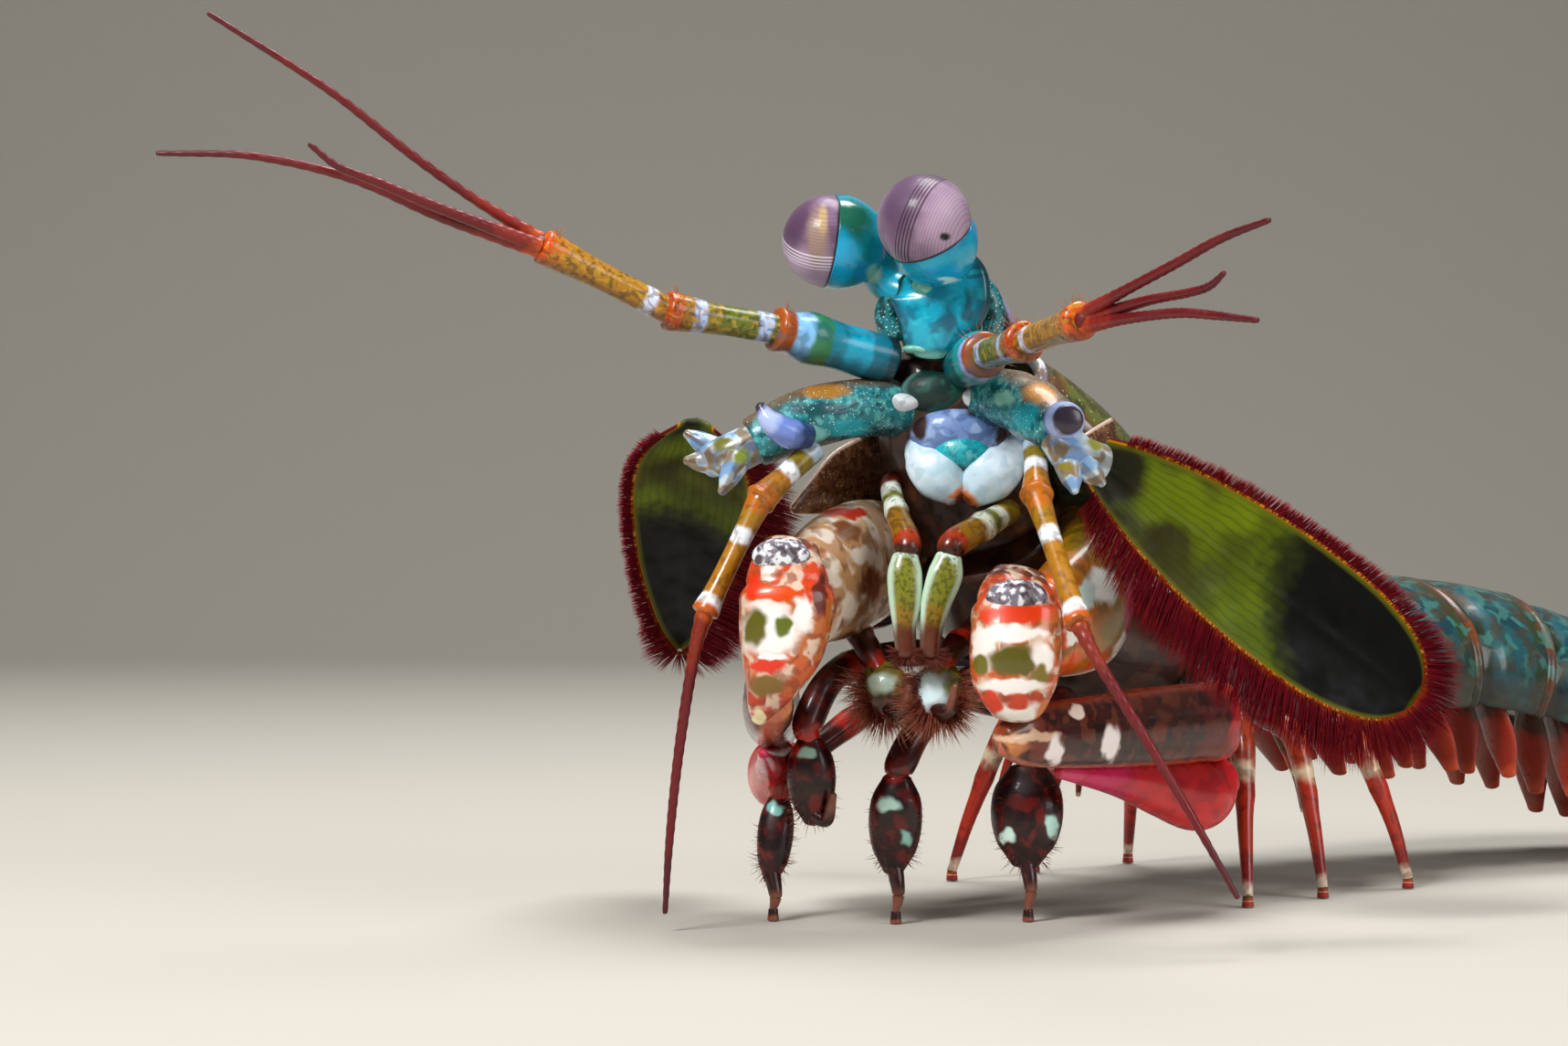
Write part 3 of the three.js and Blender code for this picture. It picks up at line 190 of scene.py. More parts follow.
def ball(centre, radii, finish=0):
    """An egg shape. Its lie is the share from bottom to top, and the cosine and sine round it."""
    polar = np.linspace(0.02, math.pi - 0.02, BALL_ROWS)[:, None]
    turn = np.linspace(0, 2 * math.pi, BALL_SIDES, endpoint=False)[None]
    rings = np.stack(np.broadcast_arrays(np.sin(polar) * np.cos(turn), np.sin(polar) * np.sin(turn),
                                         -np.cos(polar)), axis=-1) * np.asarray(radii, float)
    lie = np.stack(np.broadcast_arrays(polar / math.pi, np.cos(turn), np.sin(turn)), axis=-1)
    return loft(rings + np.asarray(centre, float), lie, finish)


# A hair: its sides, and the share along it and the share of its thickness at each of its rings. Its patch
# on the bake map is a small polygon about its root's place, of this radius.
HAIR_SIDES = 3
HAIR_RINGS = ((0, 1.0), (0.36, 0.82), (0.7, 0.5), (1.0, 0.08))
HAIR_POINTS = HAIR_SIDES * len(HAIR_RINGS)
PATCH_RADIUS = 0.0015


def bristles(roots, tips, width, bend=None, roots_on_skin=None):
    """Thin tapered hairs. bend moves their middles, in mm, and roots_on_skin places them on the bake map."""
    roots, tips = np.asarray(roots, float), np.asarray(tips, float)
    count = len(roots)
    thick = np.broadcast_to(np.asarray(width, float), (count,))[:, None, None]
    bend = np.zeros_like(roots) if bend is None else np.asarray(bend, float)
    along = unit(tips - roots)
    side = unit(np.cross(along, [0.31, 0.22, 0.93]))
    upper = np.cross(side, along)
    turns = np.arange(HAIR_SIDES) * 2 * math.pi / HAIR_SIDES
    rings = []
    for t, size in HAIR_RINGS:
        centre = roots + (tips - roots) * t + bend * 4 * t * (1 - t)
        across = (np.cos(turns) * size)[None, :, None] * thick / 2
        up = (np.sin(turns) * size)[None, :, None] * thick / 2
        rings.append(centre[:, None] + side[:, None] * across + upper[:, None] * up)
    points = np.stack(rings, axis=1).reshape(-1, 3)
    corner = np.arange(HAIR_POINTS).reshape(-1, HAIR_SIDES)
    faces = []
    for a, b in zip(corner, corner[1:]):
        faces += [[a[i], a[(i + 1) % HAIR_SIDES], b[(i + 1) % HAIR_SIDES], b[i]] for i in range(HAIR_SIDES)]
    faces += [corner[0][::-1].tolist(), corner[-1].tolist()]
    every = [[int(i) + HAIR_POINTS * k for i in face] for k in range(count) for face in faces]
    lie = np.zeros((count, HAIR_POINTS, 3))
    lie[:, :, 0] = np.repeat([t for t, size in HAIR_RINGS], HAIR_SIDES)
    lie[:, :, 1] = np.linspace(0, 1, count)[:, None]
    lie[:, :, 2] = (np.arange(count) * 0.618 % 1)[:, None]
    form = Form(points, every, lie.reshape(-1, 3))
    skin = np.zeros((count, 2)) if roots_on_skin is None else np.asarray(roots_on_skin, float)
    patch = [[PATCH_RADIUS * math.cos(a), PATCH_RADIUS * math.sin(a)] for a in range(HAIR_POINTS)]
    form.patches = np.repeat(skin, HAIR_POINTS, axis=0) + np.tile(patch, (count, 1))
    return form


def piece(name, form, materials, nodes=()):
    """A finished piece of the animal: a smooth mesh that rides on the body and stands for its nodes."""
    mesh = bpy.data.meshes.new(name)
    mesh.from_pydata(((form.points - LAYOUT_MIDDLE) * MM).tolist(), [], form.faces)
    lie = mesh.attributes.new("lie", "FLOAT_VECTOR", "POINT")
    lie.data.foreach_set("vector", form.lie.astype(np.float32).ravel())
    for material in materials:
        mesh.materials.append(material)
    mesh.polygons.foreach_set("material_index", form.finishes)
    mesh.polygons.foreach_set("use_smooth", [True] * len(mesh.polygons))
    if hasattr(form, "patches"):
        corners = np.zeros(len(mesh.loops), dtype=np.int32)
        mesh.loops.foreach_get("vertex_index", corners)
        bake_map = mesh.uv_layers.new(name="OFBake")
        bake_map.data.foreach_set("uv", form.patches[corners].astype(np.float32).ravel())
    mesh.validate()
    mesh.update()
    made = bpy.data.objects.new(name, mesh)
    bpy.context.scene.collection.objects.link(made)
    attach(made, "root")
    if nodes:
        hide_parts(*nodes)
    return made


# Finishes

# Where a colour mix node has its sockets.
MIX_SHARE, MIX_UNDER, MIX_OVER, MIX_RESULT = 0, 6, 7, 2
# Wet cuticle: its refraction, the roughness of the water on it, how far apart the film's dry and wet
# patches lie, and how far light spreads under it.
CUTICLE_IOR = 1.42
FILM_ROUGHNESS = 0.08
FILM_PATCH_MM = 2.2
GLOW_RADII = (0.9, 0.55, 0.35)
GLOW_DEPTH_MM = 0.7
# The range of the roughness across the film, as shares of the usual.
FILM_RANGE = (0.7, 1.4)
# The size of the soft waves in painted edges.
WAVE_MM = 1.3
# A cloud's edge: its softness, and its level with no cover and how much full cover lowers it.
CLOUD_SOFT = 0.13
CLOUD_LEVELS = (0.6, 0.3)
# A speckle's edge: its softness, and how far it reaches at full cover, as shares of a cell.
SPECKLE_SOFT = 0.08
SPECKLE_REACH = 0.45


def add_node(tree, kind, inputs=None, **settings):
    """Adds a node with its settings, its input values and its input links."""
    made = tree.nodes.new(kind)
    for key, value in settings.items():
        setattr(made, key, value)
    for key, value in (inputs or {}).items():
        if isinstance(value, bpy.types.NodeSocket):
            tree.links.new(value, made.inputs[key])
        else:
            made.inputs[key].default_value = value
    return made


def layer(tree, under, colour, value, low, high, most=1.0):
    """Lays a colour over another where a value passes softly from low to high."""
    reading = {"Value": value, "From Min": low, "From Max": high, "To Min": 0.0, "To Max": most}
    share = add_node(tree, "ShaderNodeMapRange", reading, interpolation_type="SMOOTHSTEP")
    colours = {MIX_SHARE: share.outputs[0], MIX_UNDER: under, MIX_OVER: linear(colour)}
    return add_node(tree, "ShaderNodeMix", colours, data_type="RGBA").outputs[MIX_RESULT]


def banded(tree, share, bands, soft):
    """Colours one after another along a share, each with soft edges."""
    ramp = add_node(tree, "ShaderNodeValToRGB", {"Fac": share})
    elements = ramp.color_ramp.elements
    marks = []
    for i, (start, colour) in enumerate(bands):
        end = bands[i + 1][0] if i + 1 < len(bands) else 1.0
        edge = min(soft, (end - start) * 0.45)
        marks.append((start + edge if i else 0.0, colour))
        marks.append((end - edge if i + 1 < len(bands) else 1.0, colour))
    while len(elements) > 1:
        elements.remove(elements[-1])
    elements[0].position = marks[0][0]
    elements[0].color = linear(marks[0][1])
    for mark, colour in marks[1:]:
        elements.new(mark).color = linear(colour)
    return ramp.outputs["Color"]


def started(name):
    """A new material with its tree, its shader, its object coordinates and what its form's lie reads."""
    material = bpy.data.materials.new(name)
    material.use_nodes = True
    tree = material.node_tree
    place = add_node(tree, "ShaderNodeTexCoord").outputs["Object"]
    lie = add_node(tree, "ShaderNodeAttribute", attribute_name="lie").outputs["Vector"]
    axes = add_node(tree, "ShaderNodeSeparateXYZ", {0: lie}).outputs
    rim = add_node(tree, "ShaderNodeMath", {0: axes[1]}, operation="ABSOLUTE").outputs[0]
    readings = {"share": axes[0], "side": axes[1], "upper": axes[2], "rim": rim}
    return material, tree, tree.nodes["Principled BSDF"], place, readings


def wavered(tree, place, wander_mm):
    """The place pushed about by soft noise, so that painted edges waver, and the noise itself."""
    wander = add_node(tree, "ShaderNodeTexNoise",
                      {"Vector": place, "Scale": 1 / (WAVE_MM * MM), "Detail": 1.2})
    offset = add_node(tree, "ShaderNodeVectorMath", {0: wander.outputs["Color"], 1: (0.5, 0.5, 0.5)},
                      operation="SUBTRACT")
    scaled = add_node(tree, "ShaderNodeVectorMath", {0: offset.outputs[0], "Scale": 3 * wander_mm * MM},
                      operation="SCALE")
    moved = add_node(tree, "ShaderNodeVectorMath", {0: place, 1: scaled.outputs[0]}, operation="ADD")
    return moved.outputs[0], wander.outputs["Fac"]


def marked(tree, colour, place, marks):
    """Oval marks, each as (centre in metres, radii in metres, colour, softness of its edge)."""
    for centre, radii, tint, soft in marks:
        away = add_node(tree, "ShaderNodeVectorMath", {0: place, 1: centre}, operation="SUBTRACT")
        shares = add_node(tree, "ShaderNodeVectorMath", {0: away.outputs[0], 1: radii}, operation="DIVIDE")
        reach = add_node(tree, "ShaderNodeVectorMath", {0: shares.outputs[0]}, operation="LENGTH")
        colour = layer(tree, colour, tint, reach.outputs["Value"], 1 + soft, 1 - soft)
    return colour


def wet_skin(tree, shader, place, roughness, coat, grain_mm, relief_mm, glow, ior=CUTICLE_IOR):
    """The finish of a wet cuticle: a fine grain, a roughness that varies, a thin film and a little glow."""
    fine = {"Vector": place, "Scale": 1 / (grain_mm * MM), "Detail": 4.0}
    grain = add_node(tree, "ShaderNodeTexNoise", fine)
    bump = add_node(tree, "ShaderNodeBump", {"Height": grain.outputs["Fac"], "Distance": relief_mm * MM})
    tree.links.new(bump.outputs[0], shader.inputs["Normal"])
    film = add_node(tree, "ShaderNodeTexNoise",
                    {"Vector": place, "Scale": 1 / (FILM_PATCH_MM * MM), "Detail": 2.0})
    spread = {"Value": film.outputs["Fac"], "From Min": 0.3, "From Max": 0.7,
              "To Min": roughness * FILM_RANGE[0], "To Max": roughness * FILM_RANGE[1]}
    rough = add_node(tree, "ShaderNodeMapRange", spread)
    tree.links.new(rough.outputs[0], shader.inputs["Roughness"])
    shader.inputs["IOR"].default_value = ior
    shader.inputs["Coat Weight"].default_value = coat
    shader.inputs["Coat Roughness"].default_value = FILM_ROUGHNESS
    shader.inputs["Subsurface Weight"].default_value = glow
    shader.inputs["Subsurface Radius"].default_value = GLOW_RADII
    shader.inputs["Subsurface Scale"].default_value = GLOW_DEPTH_MM * MM


def shell(name, base, bands=(), soft=0.015, wander_mm=0.25, layers=(), mottles=(), speckles=(), marks=(),
          roughness=0.3, coat=0.3, grain_mm=0.14, relief_mm=0.014, glow=0.06, ior=CUTICLE_IOR):
    """A wet crustacean shell: a coloured, slightly clear cuticle with a fine grain under a film of water.

    bands run along the piece. layers are (reading, low, high, strength, colour), mottles are (colour,
    size in mm, cover, strength), speckles are (colour, size in mm, cover), and marks are oval marks.
    """
    material, tree, shader, place, readings = started(name)
    warped, noise = wavered(tree, place, wander_mm)
    colour = add_node(tree, "ShaderNodeRGB").outputs[0]
    colour.default_value = linear(base)
    if bands:
        centred = {0: noise, 1: 4 * soft, 2: -2 * soft}
        shift = add_node(tree, "ShaderNodeMath", centred, operation="MULTIPLY_ADD")
        share = add_node(tree, "ShaderNodeMath", {0: readings["share"], 1: shift.outputs[0]},
                         operation="ADD")
        colour = banded(tree, share.outputs[0], bands, soft)
    for tint, size, cover, strength in mottles:
        soft_noise = {"Vector": warped, "Scale": 1 / (size * MM), "Detail": 0.8}
        cloud = add_node(tree, "ShaderNodeTexNoise", soft_noise)
        edge = CLOUD_LEVELS[0] - CLOUD_LEVELS[1] * cover
        colour = layer(tree, colour, tint, cloud.outputs["Fac"], edge, edge + CLOUD_SOFT, strength)
    for reading, low, high, strength, tint in layers:
        colour = layer(tree, colour, tint, readings[reading], low, high, strength)
    colour = marked(tree, colour, warped, marks)
    for tint, size, cover in speckles:
        cells = add_node(tree, "ShaderNodeTexVoronoi", {"Vector": warped, "Scale": 1 / (size * MM)})
        reach = SPECKLE_REACH * cover
        colour = layer(tree, colour, tint, cells.outputs["Distance"], reach + SPECKLE_SOFT, reach)
    tree.links.new(colour, shader.inputs["Base Color"])
    wet_skin(tree, shader, place, roughness, coat, grain_mm, relief_mm, glow, ior)
    return material


# Places on the photograph

# How far a mark reaches into a form, away from the camera, and how deep a dome sits, as a share of its
# depth.
MARK_DEPTH_MM = 2.5
DOME_SINK = 0.45


def on_photo(u, v, depth):
    """The layout point in mm seen at a pixel of the photograph, at a depth along +Y."""
    reach = PIXEL_MM * (depth - CAMERA_MM[1]) / -CAMERA_MM[1]
    return np.array([(u - PHOTO_WIDTH / 2) * reach, depth, CAMERA_MM[2] + (PHOTO_HEIGHT / 2 - v) * reach])


def seen_place(tree, u, v):
    """The place in layout mm where a pixel of the photograph falls on a form, and a pixel's size there."""
    eye, far = Vector(CAMERA_MM), Vector(on_photo(u, v, 0.0))
    place = tree.ray_cast(eye, (far - eye).normalized())[0]
    if place is None:
        place = tree.find_nearest(far)[0]
    return np.array(place), PIXEL_MM * (place[1] - CAMERA_MM[1]) / -CAMERA_MM[1]


def seen_marks(form, marks, soft):
    """Marks given as (pixel u, pixel v, half width, half height, colour) on the photograph, each set down
    on the face of a form as an oval mark."""
    tree = BVHTree.FromPolygons(form.points.tolist(), form.faces)
    found = []
    for u, v, half_width, half_height, colour in marks:
        place, pixel = seen_place(tree, u, v)
        radii = (half_width * pixel * MM, MARK_DEPTH_MM * MM, half_height * pixel * MM)
        found.append((tuple((place - LAYOUT_MIDDLE) * MM), radii, colour, soft))
    return found


def seen_dome(form, u, v, half_width, half_height, depth_mm, finish):
    """A low dome on the face of a form, placed by its middle and half sizes on the photograph."""
    place, pixel = seen_place(BVHTree.FromPolygons(form.points.tolist(), form.faces), u, v)
    radii = (half_width * pixel, depth_mm, half_height * pixel)
    return ball(place + (0.0, depth_mm * DOME_SINK, 0.0), radii, finish=finish)


# EYES

EYE_RADIUS = 3.85
# Each eye's centre, the way it looks, how far its dome reaches back as a cosine, the direction across its
# band of large facets, and the ends of its neck.
EYES = {
    "right": {"centre": (3.7, 3.0, 56.35), "axis": (-0.97, -0.16, 0.12), "edge": -0.03,
              "band": (0.0, 0.55, -0.84), "neck": (8.4, 3.6, 53.0), "root": (10.4, 3.0, 51.8)},
    "left": {"centre": (11.4, -3.0, 57.5), "axis": (-0.42, -0.47, 0.78), "edge": -0.42,
             "band": (0.866, -0.34, -0.367), "neck": (13.4, 1.2, 53.8), "root": (13.6, 2.4, 52.2)},
}
# The band of large facets: its half width as a share of the radius, and its rows. Fine rows cover the rest.
BAND_HALF = 0.19
BAND_ROWS = 5
FINE_ROWS = 110.0
# The facets of the cornea, drawn coarser than in life so that they show, and their relief.
FACET_MM = 0.1
FACET_RELIEF_MM = 0.01
# Depth shares of the cup behind a cornea, with its width at each as a share of the rim.
CUP = [(0.0, 1.015), (0.22, 1.03), (0.45, 0.97), (0.68, 0.84), (0.86, 0.66), (1.0, 0.5)]
CUP_DEPTH = 4.6
# Marks on the eyes, as pixels of the photograph: centre, half width, half height and colour.
CORNEA_MARKS = {
    "right": [(876, 305, 32, 22, "#b79cb8"), (870, 240, 26, 26, "#553a52"), (895, 262, 11, 36, "#9a7f72"),
              (901, 240, 5, 16, "#b89a6c")],
    # The left cornea's two dark marks at its top and upper left, #5f4660 and #5a4059, are painted shade.
    "left": [(1040, 246, 30, 40, "#b096ac"), (984, 222, 22, 44, "#5f4660"), (1000, 194, 40, 12, "#5a4059"),
             (1035, 259, 5.5, 3.8, "#050304")],
}
CUP_MARKS = {
    "right": [(930, 236, 26, 26, "#0a5a46"), (921, 284, 18, 30, "#06a6d4"), (946, 296, 12, 10, "#0a86b4"),
              (956, 300, 8, 10, "#7fb7a0")],
    "left": [(1066, 244, 10, 22, "#0a8fc0"), (1034, 300, 26, 9, "#0a9fd0"), (1040, 306, 12, 3, "#bfe8ea")],
}
CORNEA_COLOURS = {"right": ("#6a5068", "#8a6f8c", "#e4dae6"), "left": ("#83687f", "#a088a0", "#2c1c2c")}
CUP_CLOUDS = {"right": "#0c6a5c", "left": "#0a7ea8"}


def cornea_glass(name, dark, pale, line, marks):
    """Cornea: a clear, wet, faceted cuticle over mauve pigment, so it shows a soft sheen and fine facets."""
    material, tree, shader, place, readings = started(name)
    warped, noise = wavered(tree, place, 0.1)
    base = add_node(tree, "ShaderNodeRGB").outputs[0]
    base.default_value = linear(dark)
    colour = layer(tree, base, pale, noise, 0.4, 0.62, 0.6)
    colour = marked(tree, colour, warped, marks)
    # The rows of large facets that cross the eye, one fine line between each pair.
    turns = {0: readings["share"], 1: BAND_ROWS * math.pi / BAND_HALF}
    rows = add_node(tree, "ShaderNodeMath", turns, operation="MULTIPLY").outputs[0]
    wave = add_node(tree, "ShaderNodeMath", {0: rows}, operation="COSINE").outputs[0]
    near = add_node(tree, "ShaderNodeMath", {0: readings["share"]}, operation="ABSOLUTE").outputs[0]
    edge = {0: near, 1: BAND_HALF * 1.04}
    inside = add_node(tree, "ShaderNodeMath", edge, operation="LESS_THAN").outputs[0]
    lines = add_node(tree, "ShaderNodeMath", {0: wave, 1: inside}, operation="MULTIPLY").outputs[0]
    finer = {0: readings["share"], 1: FINE_ROWS}
    fine = add_node(tree, "ShaderNodeMath", finer, operation="MULTIPLY").outputs[0]
    ripple = add_node(tree, "ShaderNodeMath", {0: fine}, operation="SINE").outputs[0]
    colour = layer(tree, colour, "#5c4660", ripple, 0.2, 1.0, 0.35)
    colour = layer(tree, colour, line, lines, 0.1, 0.7, 0.95)
    # A dark ring round the cornea's edge: painted shade.
    colour = layer(tree, colour, "#1c101c", readings["side"], 0.955, 0.985, 0.9)
    tree.links.new(colour, shader.inputs["Base Color"])
    cells = add_node(tree, "ShaderNodeTexVoronoi", {"Vector": place, "Scale": 1 / (FACET_MM * MM)})
    raised = {"Height": cells.outputs["Distance"], "Distance": FACET_RELIEF_MM * MM, "Strength": 0.5}
    bump = add_node(tree, "ShaderNodeBump", raised)
    tree.links.new(bump.outputs[0], shader.inputs["Normal"])
    shader.inputs["Roughness"].default_value = 0.42
    shader.inputs["IOR"].default_value = 1.3
    shader.inputs["Coat Weight"].default_value = 0.14
    shader.inputs["Coat Roughness"].default_value = 0.1
    shader.inputs["Sheen Weight"].default_value = 0.1
    shader.inputs["Sheen Roughness"].default_value = 0.4
    return material


def eye_dome(eye):
    """The cornea: a dome that may reach past its equator, with the facet rows slightly raised."""
    axis = unit(eye["axis"])
    side = unit(np.cross(axis, (0.1, 0.2, 1.0)))
    upper = np.cross(side, axis)
    last = math.acos(eye["edge"])
    polar = np.concatenate([np.linspace(0.015, last, 64), [last]])[:, None]
    turn = np.linspace(0, 2 * math.pi, 96, endpoint=False)[None]
    out = (axis * np.cos(polar)[..., None] + side * (np.sin(polar) * np.cos(turn))[..., None]
           + upper * (np.sin(polar) * np.sin(turn))[..., None])
    row = out @ unit(eye["band"])
    raised = 1 + 0.005 * ease(np.abs(row), BAND_HALF, BAND_HALF * 0.8)
    rings = np.asarray(eye["centre"]) + out * (EYE_RADIUS * raised)[..., None]
    floor = np.asarray(eye["centre"]) + axis * EYE_RADIUS * (eye["edge"] - 0.02)
    rings[-1] = floor + (rings[-1] - rings[-1].mean(axis=0)) * 0.96
    lie = np.stack(np.broadcast_arrays(row, polar / last, np.cos(polar)), axis=-1)
    return loft(rings[::-1], lie[::-1])


def folded(share, turn):
    """A fold round the narrow end of an eye's cup."""
    return 1 + 0.05 * bell(share, 0.72, 0.08) - 0.06 * bell(share, 0.84, 0.05) + 0.012 * np.sin(turn * 9)


def eye_cup(eye):
    """The cup behind the cornea: full at its rim, drawn in to a neck that bends to the face."""
    axis = unit(eye["axis"])
    centre = np.asarray(eye["centre"])
    rim = math.sqrt(1 - eye["edge"] ** 2) * EYE_RADIUS
    start = eye["edge"] * EYE_RADIUS
    depth = CUP_DEPTH + start * 0.55
    stations = [tuple(centre + axis * (start - share * depth)) + (rim * width,) for share, width in CUP]
    neck = tuple(centre + axis * (start - depth * 0.8)) + (1.9,)
    return joined([
        tube(stations, sides=72, caps=(0.0, 1.0), mould=folded),
        tube([neck, eye["neck"] + (1.5,), eye["root"] + (1.55,)], sides=40),
    ])


def build_eyes(colours):
    """Each eye: its cornea, and the cup and neck of its stalk."""
    # Eyestalk cuticle: a thin, smooth, unmineralised shell, so it is even and softly glossy.
    for hand, eye in EYES.items():
        dome, cup = eye_dome(eye), eye_cup(eye)
        glass = cornea_glass(f"faceted cornea, wet, {hand}", *CORNEA_COLOURS[hand],
                             seen_marks(dome, CORNEA_MARKS[hand], 0.5))
        skin = shell(f"turquoise eyestalk cuticle, smooth and wet, {hand}", colours.turquoise,
                     mottles=[(CUP_CLOUDS[hand], 2.6, 0.4, 0.6)],
                     marks=seen_marks(cup, CUP_MARKS[hand], 0.4), roughness=0.26, coat=0.4)
        piece(f"cornea_{hand}", dome, [glass], [f"eye_{hand}"])
        piece(f"eyestalk_{hand}_cuticle", cup, [skin], [f"eyestalk_{hand}"])


# FACE

HEAD_BACK = (0.15, 0.97, 0.18)
FACE_BACK = (0.2, 0.97, 0.1)
FACE_BASE = [(11.6, 2.0, 54.0, 2.6, 1.5), (12.3, 1.9, 52.6, 4.0, 2.3), (12.6, 1.9, 50.6, 3.6, 2.6),
             (12.3, 1.9, 48.8, 2.9, 2.4), (12.0, 1.9, 46.8, 2.1, 2.2)]
FACE_SHIELD = [(11.9, 0.4, 54.0, 2.6, 0.8), (12.5, -0.1, 52.8, 4.0, 1.0), (12.7, -0.5, 51.6, 4.1, 1.0),
               (12.6, -0.6, 50.4, 3.8, 1.0), (12.3, -0.5, 48.9, 3.0, 0.95), (12.0, -0.3, 47.8, 2.3, 0.8),
               (12.0, 0.1, 46.9, 1.3, 0.6)]
FACE_RIDGES = [
    [(15.4, 2.6, 53.6, 0.9), (16.9, 2.6, 51.6, 1.1), (17.2, 2.8, 49.6, 1.1), (15.8, 2.8, 47.6, 1.2)],
    [(9.4, 2.8, 52.4, 0.9), (8.5, 3.2, 50.4, 1.0), (9.2, 3.2, 48.2, 1.1)],
]
FACE_LOBES = [((11.4, -1.0, 52.5), (0.9, 0.6, 0.8)), ((13.4, -1.0, 52.7), (0.8, 0.6, 0.7)),
              ((11.4, -0.2, 47.3), (1.7, 0.6, 0.42))]
# Dark marks in the folds of the face, which are painted shade, and light spots, as pixels of the photograph.
FACE_MARKS = [(982, 344, 8, 26, "#065068"), (1040, 350, 9, 20, "#08586e"), (1008, 364, 10, 12, "#18a8c4"),
              (1000, 324, 14, 9, "#1fb4d0"), (1030, 322, 12, 8, "#0a7f9c"), (1062, 336, 7, 20, "#0a5464")]
MOUTH_LOBES = [((9.3, 0.6, 42.9), (1.9, 1.0, 0.8)), ((16.0, 0.7, 43.3), (1.4, 1.0, 1.0))]
# Painted shade in the hollows beside the mouth plate, as pixels of the photograph.
MOUTH_MARKS = [(1071, 450, 14, 8, "#140c10"), (1008, 466, 9, 15, "#2c1410"), (1098, 480, 8, 12, "#2c1410")]
HEAD = [(12.5, 4.4, 47.2, 3.4, 2.8), (12.9, 5.0, 44.6, 5.2, 4.6), (13.9, 5.9, 41.5, 6.2, 5.4),
        (15.1, 7.3, 38.0, 6.4, 6.2), (16.6, 9.6, 34.4, 6.6, 6.8)]
JAWS = {
    "right": [(11.0, 2.8, 39.8, 0.9, 1.2), (11.7, 1.5, 38.0, 1.8, 1.7), (12.9, 0.8, 36.7, 2.1, 1.7),
              (14.1, 0.6, 35.4, 1.2, 1.0)],
    "left": [(19.0, 2.6, 39.6, 0.9, 1.2), (18.2, 1.4, 38.0, 1.9, 1.7), (16.7, 0.8, 36.7, 2.2, 1.7),
             (15.2, 0.6, 35.3, 1.3, 1.0)],
}
ROSTRUM = [(15.0, 8.4, 47.2, 4.9, 0.6), (14.8, 7.4, 49.0, 4.9, 0.6), (14.6, 6.4, 51.0, 4.2, 0.6),
           (14.2, 5.6, 53.0, 2.9, 0.55), (13.9, 5.2, 54.4, 1.2, 0.5)]


def creased(share, turn):
    """Soft upright folds down the face."""
    return 1 + 0.05 * np.sin(turn * 5 + 2.0) * bell(share, 0.55, 0.3) + 0.02 * np.sin(turn * 11)


def pleated(share, turn):
    """Fine upright pleats with a crease near the lower end, as on a jaw lobe."""
    return 1 + 0.02 * np.sin(turn * 7) - 0.06 * bell(share, 0.3, 0.04)


